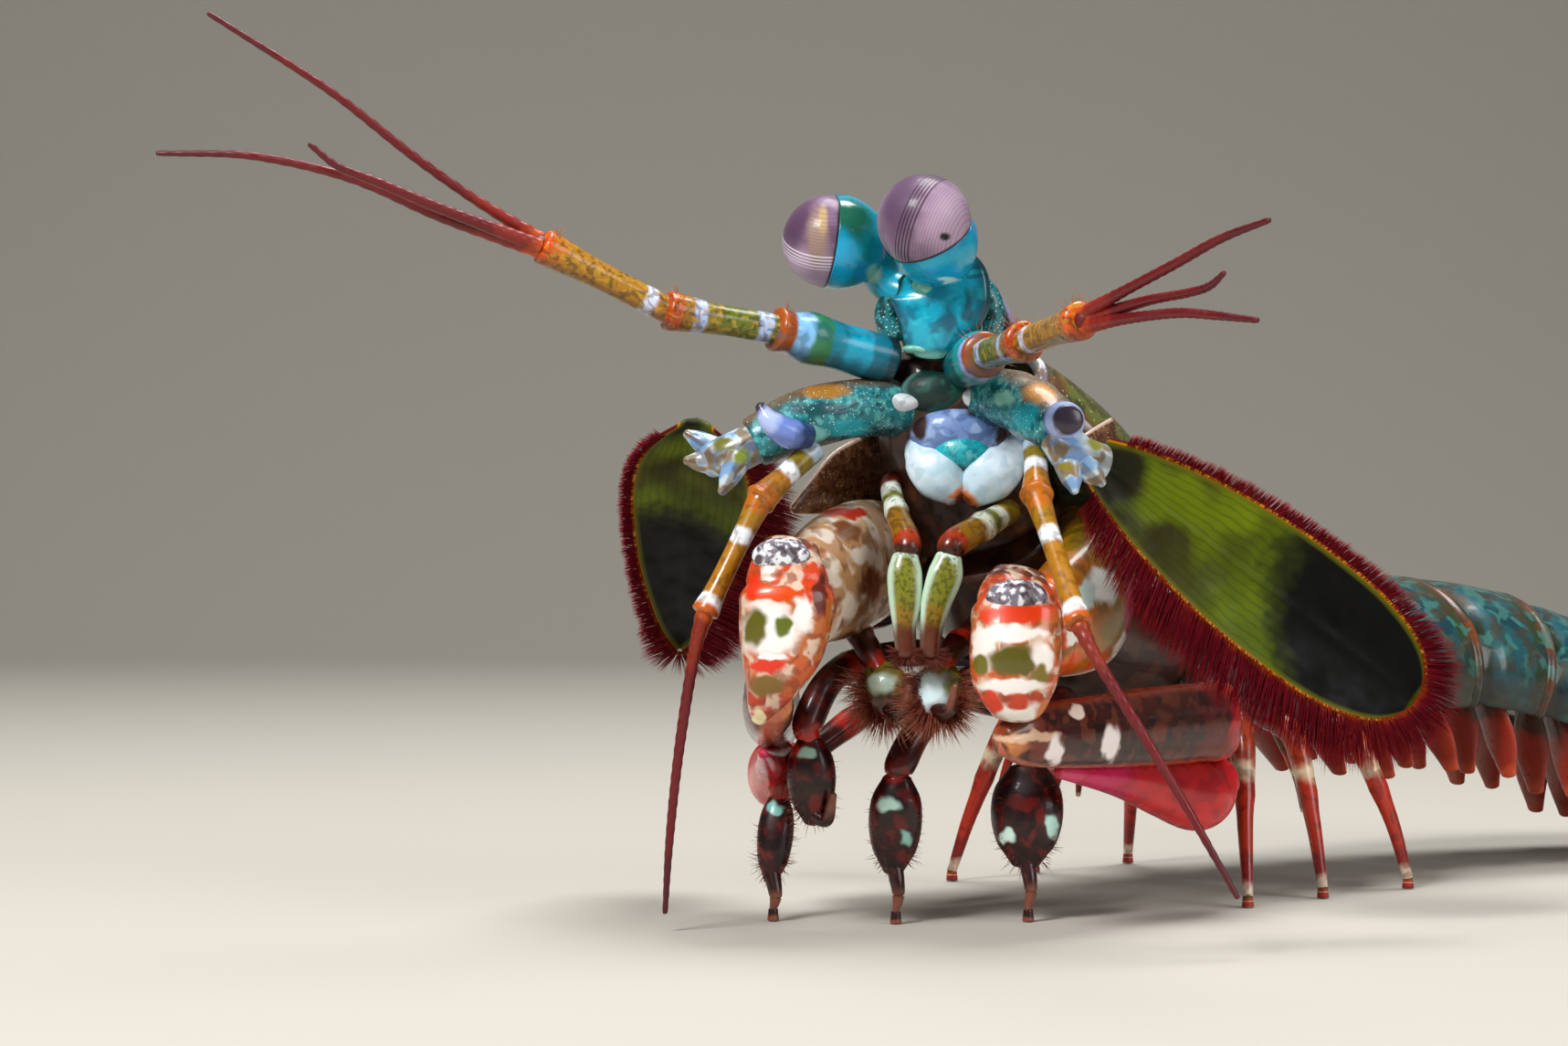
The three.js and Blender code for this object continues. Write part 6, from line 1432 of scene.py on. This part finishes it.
def along_trunk(distance, x, z):
    """Points beside and above the trunk's line at distances along it, going straight on past its end."""
    distance, x, z = np.broadcast_arrays(*(np.asarray(v, float) for v in (distance, x, z)))
    held = np.clip(distance, 0.05, TRUNK_LENGTH - 0.05)
    centre, ahead, behind = (on_trunk(held + step) for step in (0.0, 0.6, -0.6))
    tailward = unit(ahead - behind)
    side = unit(np.cross(tailward, UP))
    back = np.cross(side, tailward)
    return centre + tailward * (distance - held)[..., None] + side * x[..., None] + back * z[..., None]


def somite_form(start, end, half_width, half_height):
    """One ring of the trunk: its rear edge stands proud over the next ring, its front slips under."""
    half = smooth_path(SOMITE_OUTLINE, 8)
    outline = np.vstack([half, half[1:-1][::-1] * (-1, 1)])[::-1]
    t = np.linspace(0, 1, 44)[:, None]
    tuck = 0.93 + 0.07 * ease(t, 0.0, 0.3) + 0.012 * bell(t, 0.955, 0.03) - 0.015 * bell(t, 0.9, 0.02)
    x, z = outline[None, :, 0] * half_width * tuck, outline[None, :, 1] * half_height * tuck
    rings = along_trunk(np.broadcast_to(start + (end - start) * t, x.shape), x, z)
    lie = np.stack(np.broadcast_arrays(t, outline[None, :, 0], outline[None, :, 1]), axis=-1)
    return loft(rings, lie)


def beside(start, hand, stations):
    """Stations [aside, back, up, half width, half height] from a distance along the trunk, in the layout."""
    return [tuple(along_trunk(start + y, hand * x, z)) + (wide, high) for x, y, z, wide, high in stations]


def swimmeret_forms(middle, half_width):
    """Two leaf blades on each side under a tail ring."""
    forms = []
    for hand in (-1, 1):
        for root, spread in ((0.44, -0.12), (0.62, 0.14)):
            line = [(half_width * root, -1.4, -1.8, 1.7, 1.0),
                    (half_width * (root + spread), 0.8, -6.6, 2.0, 0.5),
                    (half_width * (root + spread * 1.2), 3.0, -10.4, 0.9, 0.3)]
            forms.append(tube(beside(middle, hand, line), sides=28, caps=(0.2, 0.4), wanted=(0.5, 0.5, 0.6),
                              finish=1))
    return forms


TELSON_LENGTH = 16.5
TELSON_HALF_WIDTH = 9.2
# The share along the tail plate, with its width as a share and its height in mm.
TELSON_SHAPE = [(0, 0.9, 3.6), (0.15, 1, 3.7), (0.4, 1, 3.3), (0.65, 0.9, 2.5), (0.85, 0.72, 1.7),
                (1, 0.5, 1.0)]
TELSON_HALF_SECTION = [(0, 1.12), (0.12, 0.94), (0.42, 0.84), (0.72, 0.62), (1, 0.1), (0.8, -0.25),
                       (0, -0.3)]
# Each tooth of the tail plate: where it starts aside, how far back it reaches, and where its tip is aside.
TELSON_TEETH = [(0.22, 1.0, 0.2), (0.58, 0.9, 0.56), (0.93, 0.68, 0.98)]
# The blades of half a tail fan, each through stations [aside, back, up, half width, half height].
UROPOD = [
    [(6.4, -4.6, -2.6, 1.8, 1.3), (8.8, -1.6, -3.4, 2.1, 1.4), (10.4, 2.0, -3.6, 1.9, 1.2)],
    [(10.4, 1.4, -3.6, 1.8, 0.9), (12.6, 5.6, -4.0, 2.0, 0.8), (13.8, 9.4, -4.2, 1.7, 0.6)],
    [(7.8, 0.6, -4.6, 1.1, 0.7), (7.8, 5.6, -5.0, 0.9, 0.5), (7.2, 11.4, -4.9, 0.36, 0.3)],
    [(13.6, 8.8, -4.2, 1.4, 0.5), (14.6, 12.2, -4.3, 2.5, 0.42), (15.2, 16.2, -4.3, 1.5, 0.3)],
    [(9.6, 2.0, -4.3, 1.0, 0.6), (10.8, 7.0, -4.6, 1.7, 0.5), (11.2, 12.6, -4.7, 1.2, 0.32)],
]
# How many of a uropod's blades are hard. The others are thin leaves with a fringe.
UROPOD_HARD = 3
UROPOD_SPINES = 9
# The hairs round each leaf, and their level under the trunk's line.
UROPOD_HAIRS = 300
UROPOD_FRINGE_LEVEL = -4.35
# Each leaf's fringe: centre aside and back, its half sizes, and the length of the hairs.
UROPOD_FRINGES = [(14.8, 12.8, 2.0, 3.4, 2.2), (10.9, 8.6, 1.4, 4.0, 1.6)]


def telson_form(start):
    """The tail plate: a carved plate with a middle ridge, two ribs and teeth on its rear edge."""
    rows = smooth_path(TELSON_SHAPE, 10)
    half = smooth_path(TELSON_HALF_SECTION, 8)
    outline = np.vstack([half, half[1:-1][::-1] * (-1, 1)])[::-1]
    t, w, h = (rows[:, k:k + 1] for k in range(3))
    ribs = 1 + 0.1 * bell(np.abs(outline[None, :, 0]), 0.34, 0.05) * (outline[None, :, 1] > 0)
    x = outline[None, :, 0] * w * TELSON_HALF_WIDTH
    z = outline[None, :, 1] * h * ribs - 0.6
    rings = along_trunk(np.broadcast_to(start + t * TELSON_LENGTH * 0.8, x.shape), x, z)
    lie = np.stack(np.broadcast_arrays(t, outline[None, :, 0], outline[None, :, 1]), axis=-1)
    forms = [loft(rings, lie)]
    for hand in (-1, 1):
        for aside, reach, out in TELSON_TEETH:
            root = along_trunk(start + TELSON_LENGTH * (0.62 - 0.3 * (aside - 0.22)),
                               hand * aside * TELSON_HALF_WIDTH * 0.86, -0.35)
            tip = along_trunk(start + TELSON_LENGTH * reach, hand * out * TELSON_HALF_WIDTH * 0.92, -0.5)
            sizes = [(0.0, 1.5, 0.8), (0.5, 1.1, 0.7), (1.0, 0.3, 0.25)]
            forms.append(tube([at_share(root, tip, *size) for size in sizes], sides=24, caps=(0.2, 0.3)))
    return joined(forms)


def uropod_forms(hand, start, hair_mm, seed):
    """One half of the tail fan: stout root, blades, spines and sole as a form, and its fringe."""
    blades = [tube(beside(start, hand, line), sides=36, finish=int(i >= UROPOD_HARD))
              for i, line in enumerate(UROPOD)]
    for t in np.linspace(0, 1, UROPOD_SPINES):
        line = [(11.4 + 2.8 * t, 3.6 + 5.8 * t, -4.0, 0, 0), (14.4 + 2.6 * t, 5.4 + 6.8 * t, -4.0, 0, 0)]
        a, b = (station[:3] for station in beside(start, hand, line))
        sizes = [(0.0, 0.45), (0.5, 0.36), (1.0, 0.12)]
        blades.append(tube([at_share(a, b, *size) for size in sizes], sides=16, caps=(0.1, 0.2)))
    x, y, z = beside(start, hand, [(14.6, 12.2, -4.3, 0, 0)])[0][:3]
    blades.append(tube([(x, y, z, 0.5), (x, y, 0.1, 0.6)], sides=24, caps=(0.05, 0.05), wanted=(0, 1, 0)))
    random = np.random.default_rng(seed)
    roots, tips, skin = [], [], []
    for x0, y0, rx, ry, long in UROPOD_FRINGES:
        for turn in np.linspace(-1.7, 1.7, UROPOD_HAIRS):
            x, y = math.sin(turn), math.cos(turn)
            reach = long * random.uniform(0.8, 1.1)
            lift = random.uniform(-0.2, 0.2)
            near = (x0 + x * rx, y0 + y * ry, UROPOD_FRINGE_LEVEL, 0, 0)
            far = (x0 + x * (rx + reach), y0 + y * (ry + reach), UROPOD_FRINGE_LEVEL + lift, 0, 0)
            root, tip = beside(start, hand, [near, far])
            roots.append(root[:3])
            tips.append(tip[:3])
            skin.append(((x0 + x * rx) / 20, (y0 + y * ry) / 20))
    return joined(blades), bristles(roots, tips, hair_mm, None, skin)


# How far each pair of walking legs swings towards the tail, and how far they reach aside, in mm.
LEG_SWINGS = (-7.5, -1.5, 5.5)
LEG_REACH = 15.5


def tailward_at(distance):
    """The direction along the trunk at a distance."""
    return unit(along_trunk(distance + 0.4, 0, 0) - along_trunk(distance - 0.4, 0, 0))


def leg_form(order, hand):
    """A thin walking leg with its side branch, on a small flat sole."""
    distance = CHEST_END + sum(SOMITES[i][1] * (1 if i < order else 0.5) for i in range(order + 1))
    swing = LEG_SWINGS[order - 1]
    ahead = tailward_at(distance)
    shin, toe = (along_trunk(distance, hand * (LEG_REACH + out), 0) + ahead * swing * share
                 for out, share in ((0, 0.8), (1.4, 1.0)))
    line = [(6.0, 0, -2.0, 1.1), (9.6, swing * 0.15, -3.8, 1.0), (13.2, swing * 0.35, -5.6, 1.05)]
    thigh = [tuple(along_trunk(distance, hand * x, z) + ahead * y) + (size,) for x, y, z, size in line]
    line = [(11.0, swing * 0.25, -4.8, 0.5), (12.6, swing * 0.6 + 1.6, -8.6, 0.45),
            (13.2, swing * 0.8 + 2.4, -12.0, 0.25)]
    branch = [tuple(along_trunk(distance, hand * x, z) + ahead * y) + (size,) for x, y, z, size in line]
    shank = [(shin[0], shin[1], 7.0, 0.7), (toe[0], toe[1], 1.0, 0.45)]
    sole = tube([(toe[0], toe[1], 1.2, 0.42), (toe[0], toe[1], 0.1, 0.55)], sides=24, caps=(0.05, 0.05),
                wanted=(0, 1, 0))
    return joined([tube(thigh + shank, sides=32, caps=(0.2, 0.2), mould=knuckled), sole,
                   tube(branch, sides=24, caps=(0.1, 0.2))])


def build_trunk(sizes, colours):
    """The rings of the trunk with their swimmerets, the tail plate and the tail fan."""
    # Trunk: hard mineral shell, so the rings are glossy, and thin clear leaves under them that let light in.
    swim = shell("clear swimmeret leaf, thin cuticle", "#8a2a22", soft=0.05, glow=0.2,
                 bands=[(0, "#4a2418"), (0.4, "#9a2c18"), (0.9, "#c04a28")])
    at = CHEST_END + SOMITE_GAP
    for k, (name, length, half_width, half_height) in enumerate(SOMITES):
        start, end = at, at + length - SOMITE_GAP
        forms = [somite_form(start, end, half_width, half_height)]
        if k in SWIMMERET_RINGS:
            forms += swimmeret_forms((start + end) / 2, half_width)
        # Each ring darkens towards its belly: painted shade.
        teal = shell(f"teal trunk ring {k + 1}, hard mineral shell", colours.teal, soft=0.03, wander_mm=0.6,
                     bands=[(0, "#202c1c"), (0.14, colours.teal), (0.5, "#1c4e54"), (0.72, "#2a3a20"),
                            (0.85, "#5a341a"), (0.95, "#7a4020")],
                     mottles=[("#0f3038", 3.0, 0.48, 0.8), ("#3f7a70", 1.6, 0.36, 0.6),
                              ("#3a2a12", 2.2, 0.36, 0.7)],
                     layers=[("upper", 0.2, -0.5, 0.7, "#1c1a10")])
        piece(f"trunk_ring_{k + 1}", joined(forms), [teal, swim], [name])
        at += length
    blue = shell("blue green tail plate, hard carved shell", colours.teal, soft=0.05,
                 bands=[(0, "#2c4a2c"), (0.3, "#146470"), (0.7, "#1f5a4c"), (0.9, "#a04410")],
                 mottles=[("#0c343c", 2.4, 0.48, 0.8), ("#c0501a", 1.6, 0.3, 0.7)])
    piece("telson_plate", telson_form(at), [blue], ["telson"])
    red = shell("scarlet tail fan blade, hard shell", colours.scarlet, soft=0.05,
                bands=[(0, "#1f5a50"), (0.4, "#3f5a3c"), (0.7, "#c8341c")],
                mottles=[("#e05a20", 1.6, 0.36, 0.6)])
    leaf = shell("blue tail fan leaf, thin shell", "#0f5a80",
                 bands=[(0, "#c0341c"), (0.25, "#0f7a94"), (0.8, "#0c4464")], soft=0.06,
                 layers=[("rim", 0.86, 0.97, 0.9, "#d89010")])
    hair = shell("scarlet tail fringe, fine hairs", colours.scarlet, roughness=0.5, coat=0.0, relief_mm=0.0)
    for hand, sign in (("right", -1), ("left", 1)):
        fan, fringe = uropod_forms(sign, at, sizes.fringe_hair * 1000, 60 + sign)
        piece(f"uropod_{hand}_blades", fan, [red, leaf], [f"uropod_{hand}"])
        piece(f"uropod_{hand}_fringe", fringe, [hair])


def build_legs(colours):
    """The three pairs of walking legs."""
    # Leg shell: thin and smooth, so its bands stay crisp under a narrow highlight.
    paint = shell("walking leg shell, thin banded cuticle", colours.scarlet, soft=0.02,
                  bands=[(0, "#5a4a1c"), (0.3, "#a83a14"), (0.5, "#d8c0a0"), (0.56, "#b02c18"),
                         (0.85, "#8a1c18"), (0.95, "#e0c8b0")], mottles=[("#5a140c", 1.0, 0.36, 0.5)])
    for order in (1, 2, 3):
        for hand, sign in (("right", -1), ("left", 1)):
            piece(f"walking_leg_{order}_{hand}", leg_form(order, sign), [paint],
                  [f"leg_{order}_{hand}"])


# STAGE

# The paper sweep, in metres: where it begins in front, the radius of its bend up, its back, its height and
# its half width, and the steps in its bend.
PAPER_FRONT = -0.8
PAPER_BEND = 0.35
PAPER_BACK = 0.9
PAPER_HEIGHT = 1.4
PAPER_HALF_WIDTH = 1.5
PAPER_STEPS = 16
SKY_COLOUR = "#e9edf2"
SKY_STRENGTH = 0.16
# What the lamps light, in the layout, and each lamp's name, place from there and size in m, and power in W.
LAMPS_MIDDLE_MM = np.array([12.0, 0.0, 35.0])
LAMPS = (("key_softbox", (-0.28, -0.38, 0.42), 0.18, 4.2), ("fill_softbox", (0.42, -0.32, 0.2), 0.3, 1.3),
         ("top_softbox", (0.05, 0.14, 0.5), 0.26, 2.6))


def build_stage(sizes, colours):
    """The paper under and behind the animal, the world, the lamps and the camera."""
    # Paper: rough and even, so the floor takes soft shadows and shows no shine.
    paper = bpy.data.materials.new("pale matt paper, smooth")
    paper.use_nodes = True
    shader = paper.node_tree.nodes["Principled BSDF"]
    shader.inputs["Base Color"].default_value = linear(colours.floor)
    shader.inputs["Roughness"].default_value = 0.85
    flat_end = PAPER_BACK - PAPER_BEND
    profile = [(PAPER_FRONT, 0.0), (flat_end, 0.0)]
    profile += [(flat_end + PAPER_BEND * math.sin(a), PAPER_BEND - PAPER_BEND * math.cos(a))
                for a in np.linspace(0, math.pi / 2, PAPER_STEPS + 1)[1:]]
    profile.append((PAPER_BACK, PAPER_HEIGHT))
    points = [(x, y, z) for x in (-PAPER_HALF_WIDTH, PAPER_HALF_WIDTH) for y, z in profile]
    n = len(profile)
    mesh = bpy.data.meshes.new("paper_sweep")
    mesh.from_pydata(points, [], [(i, i + n, i + n + 1, i + 1) for i in range(n - 1)])
    mesh.polygons.foreach_set("use_smooth", [True] * len(mesh.polygons))
    mesh.materials.append(paper)
    sweep = bpy.data.objects.new("paper_sweep", mesh)
    bpy.context.scene.collection.objects.link(sweep)

    world = bpy.data.worlds.new("soft studio")
    world.use_nodes = True
    back = world.node_tree.nodes["Background"]
    back.inputs["Color"].default_value = linear(SKY_COLOUR)
    back.inputs["Strength"].default_value = SKY_STRENGTH
    bpy.context.scene.world = world
    middle = Vector((LAMPS_MIDDLE_MM - LAYOUT_MIDDLE) * MM)
    for name, place, size, power in LAMPS:
        lamp = bpy.data.lights.new(name, "AREA")
        lamp.size = size
        lamp.energy = power * sizes.light
        made = bpy.data.objects.new(name, lamp)
        made.location = middle + Vector(place)
        made.rotation_euler = (middle - made.location).to_track_quat("-Z", "Y").to_euler()
        bpy.context.scene.collection.objects.link(made)

    lens = bpy.data.cameras.new("camera")
    lens.sensor_width = SENSOR_MM
    lens.lens = SENSOR_MM / 2 / (PHOTO_WIDTH / 2 * PIXEL_MM / -CAMERA_MM[1])
    lens.clip_start = 0.01
    camera = bpy.data.objects.new("camera", lens)
    camera.location = Vector((CAMERA_MM - LAYOUT_MIDDLE) * MM)
    camera.rotation_euler = (math.pi / 2, 0, 0)
    bpy.context.scene.collection.objects.link(camera)
    bpy.context.scene.camera = camera
    bpy.context.scene.view_settings.view_transform = "Standard"


# Add-on classes

def picked(name, description, colour):
    """A colour that the user can pick."""
    return bpy.props.FloatVectorProperty(name=name, description=description, subtype="COLOR", size=3,
                                         min=0.0, max=1.0, default=linear(colour)[:3])


class MantisSizes(bpy.types.PropertyGroup):
    fringe_hairs: bpy.props.IntProperty(
        name="Fringe hairs", description="How many hairs stand on each antennal scale", default=3600,
        min=100, max=6000)
    fringe_hair: bpy.props.FloatProperty(
        name="Fringe hair", description="Thickness of a fringe hair at its root", default=0.0001,
        min=0.00002, max=0.001, subtype="DISTANCE", unit="LENGTH", precision=5)
    bristle: bpy.props.FloatProperty(
        name="Bristle", description="Thickness of a mouth bristle at its root", default=0.00007, min=0.00002,
        max=0.001, subtype="DISTANCE", unit="LENGTH", precision=5)
    light: bpy.props.FloatProperty(
        name="Light", description="Strength of the studio lamps, as a share of the usual", default=1.0,
        min=0.0, max=10.0, subtype="FACTOR")


class MantisColours(bpy.types.PropertyGroup):
    turquoise: picked("Turquoise", "The face shield and the cups of the eyes", "#0a9cb8")
    amber: picked("Amber", "The stalks of the antennules", "#a87406")
    crimson: picked("Crimson", "The whips of the antennules and antennae", "#640c10")
    fringe: picked("Fringe", "The hairs round the antennal scales", "#680a16")
    olive: picked("Olive", "The palms of the cleaning limbs", "#7a7c20")
    maroon: picked("Maroon", "The palms of the lower mouth limbs", "#2e0806")
    cream: picked("Cream", "The pale clouds on the wrists of the striking limbs", "#dcc4ac")
    scarlet: picked("Scarlet", "The hammers, the walking legs and the tail fan", "#d8141c")
    teal: picked("Teal", "The rings of the trunk and the tail plate", "#174f58")
    floor: picked("Floor", "The paper under the animal", "#bab5aa")


class MANTIS_OT_stage(bpy.types.Operator):
    """Set up the paper sweep, the lamps and the camera"""
    bl_idname = "mantis.stage"
    bl_label = "Stage"

    def execute(self, context):
        build_stage(context.scene.mantis_sizes, context.scene.mantis_colours)
        return {"FINISHED"}


class MANTIS_OT_eyes(bpy.types.Operator):
    """Build the corneas and the eyestalks"""
    bl_idname = "mantis.eyes"
    bl_label = "Eyes"

    def execute(self, context):
        build_eyes(context.scene.mantis_colours)
        return {"FINISHED"}


class MANTIS_OT_face(bpy.types.Operator):
    """Build the face shield, the head, the lip and the jaws"""
    bl_idname = "mantis.face"
    bl_label = "Face"

    def execute(self, context):
        build_face(context.scene.mantis_colours)
        return {"FINISHED"}


class MANTIS_OT_carapace(bpy.types.Operator):
    """Build the carapace and the chest"""
    bl_idname = "mantis.carapace"
    bl_label = "Carapace"

    def execute(self, context):
        build_carapace()
        return {"FINISHED"}


class MANTIS_OT_antennules(bpy.types.Operator):
    """Build the antennules with their whips"""
    bl_idname = "mantis.antennules"
    bl_label = "Antennules"

    def execute(self, context):
        build_antennules(context.scene.mantis_colours)
        return {"FINISHED"}


class MANTIS_OT_antennae(bpy.types.Operator):
    """Build the antennae with their feelers"""
    bl_idname = "mantis.antennae"
    bl_label = "Antennae"

    def execute(self, context):
        build_antennae(context.scene.mantis_colours)
        return {"FINISHED"}


class MANTIS_OT_scales(bpy.types.Operator):
    """Build the antennal scales with their fringes"""
    bl_idname = "mantis.scales"
    bl_label = "Antennal scales"

    def execute(self, context):
        build_scales(context.scene.mantis_sizes, context.scene.mantis_colours)
        return {"FINISHED"}


class MANTIS_OT_cleaners(bpy.types.Operator):
    """Build the two thin cleaning limbs in front of the mouth"""
    bl_idname = "mantis.cleaners"
    bl_label = "Cleaning limbs"

    def execute(self, context):
        build_cleaners(context.scene.mantis_sizes, context.scene.mantis_colours)
        return {"FINISHED"}


class MANTIS_OT_pickers(bpy.types.Operator):
    """Build the third to fifth mouth limbs with their bristles"""
    bl_idname = "mantis.pickers"
    bl_label = "Picking limbs"

    def execute(self, context):
        build_pickers(context.scene.mantis_sizes, context.scene.mantis_colours)
        return {"FINISHED"}


class MANTIS_OT_clubs(bpy.types.Operator):
    """Build the two striking limbs"""
    bl_idname = "mantis.clubs"
    bl_label = "Clubs"

    def execute(self, context):
        build_clubs(context.scene.mantis_colours)
        return {"FINISHED"}


class MANTIS_OT_trunk(bpy.types.Operator):
    """Build the trunk rings, the telson and the tail fan"""
    bl_idname = "mantis.trunk"
    bl_label = "Trunk and tail"

    def execute(self, context):
        build_trunk(context.scene.mantis_sizes, context.scene.mantis_colours)
        return {"FINISHED"}


class MANTIS_OT_legs(bpy.types.Operator):
    """Build the walking legs"""
    bl_idname = "mantis.legs"
    bl_label = "Walking legs"

    def execute(self, context):
        build_legs(context.scene.mantis_colours)
        return {"FINISHED"}


OPERATORS = (MANTIS_OT_stage, MANTIS_OT_eyes, MANTIS_OT_face, MANTIS_OT_carapace, MANTIS_OT_antennules,
             MANTIS_OT_antennae, MANTIS_OT_scales, MANTIS_OT_cleaners, MANTIS_OT_pickers,
             MANTIS_OT_clubs, MANTIS_OT_trunk, MANTIS_OT_legs)


class MANTIS_PT_panel(bpy.types.Panel):
    """Lists the pieces of the animal"""
    bl_idname = "MANTIS_PT_panel"
    bl_label = "Mantis Shrimp"
    bl_space_type = "VIEW_3D"
    bl_region_type = "UI"
    bl_category = "Mantis Shrimp"

    def draw(self, context):
        for settings in (context.scene.mantis_sizes, context.scene.mantis_colours):
            for name in settings.bl_rna.properties.keys():
                if name not in ("rna_type", "name"):
                    self.layout.prop(settings, name)
        for operator in OPERATORS:
            self.layout.operator(operator.bl_idname)


CLASSES = (MantisSizes, MantisColours, *OPERATORS, MANTIS_PT_panel)


def register():
    """Adds the settings, the operators and the panel."""
    for cls in CLASSES:
        bpy.utils.register_class(cls)
    bpy.types.Scene.mantis_sizes = bpy.props.PointerProperty(type=MantisSizes)
    bpy.types.Scene.mantis_colours = bpy.props.PointerProperty(type=MantisColours)


def unregister():
    """Takes them out again."""
    del bpy.types.Scene.mantis_colours
    del bpy.types.Scene.mantis_sizes
    for cls in reversed(CLASSES):
        bpy.utils.unregister_class(cls)


def main():
    """Builds every piece."""
    register()
    for operator in OPERATORS:
        group, name = operator.bl_idname.split(".")
        getattr(getattr(bpy.ops, group), name)()


if __name__ == "__main__":
    main()
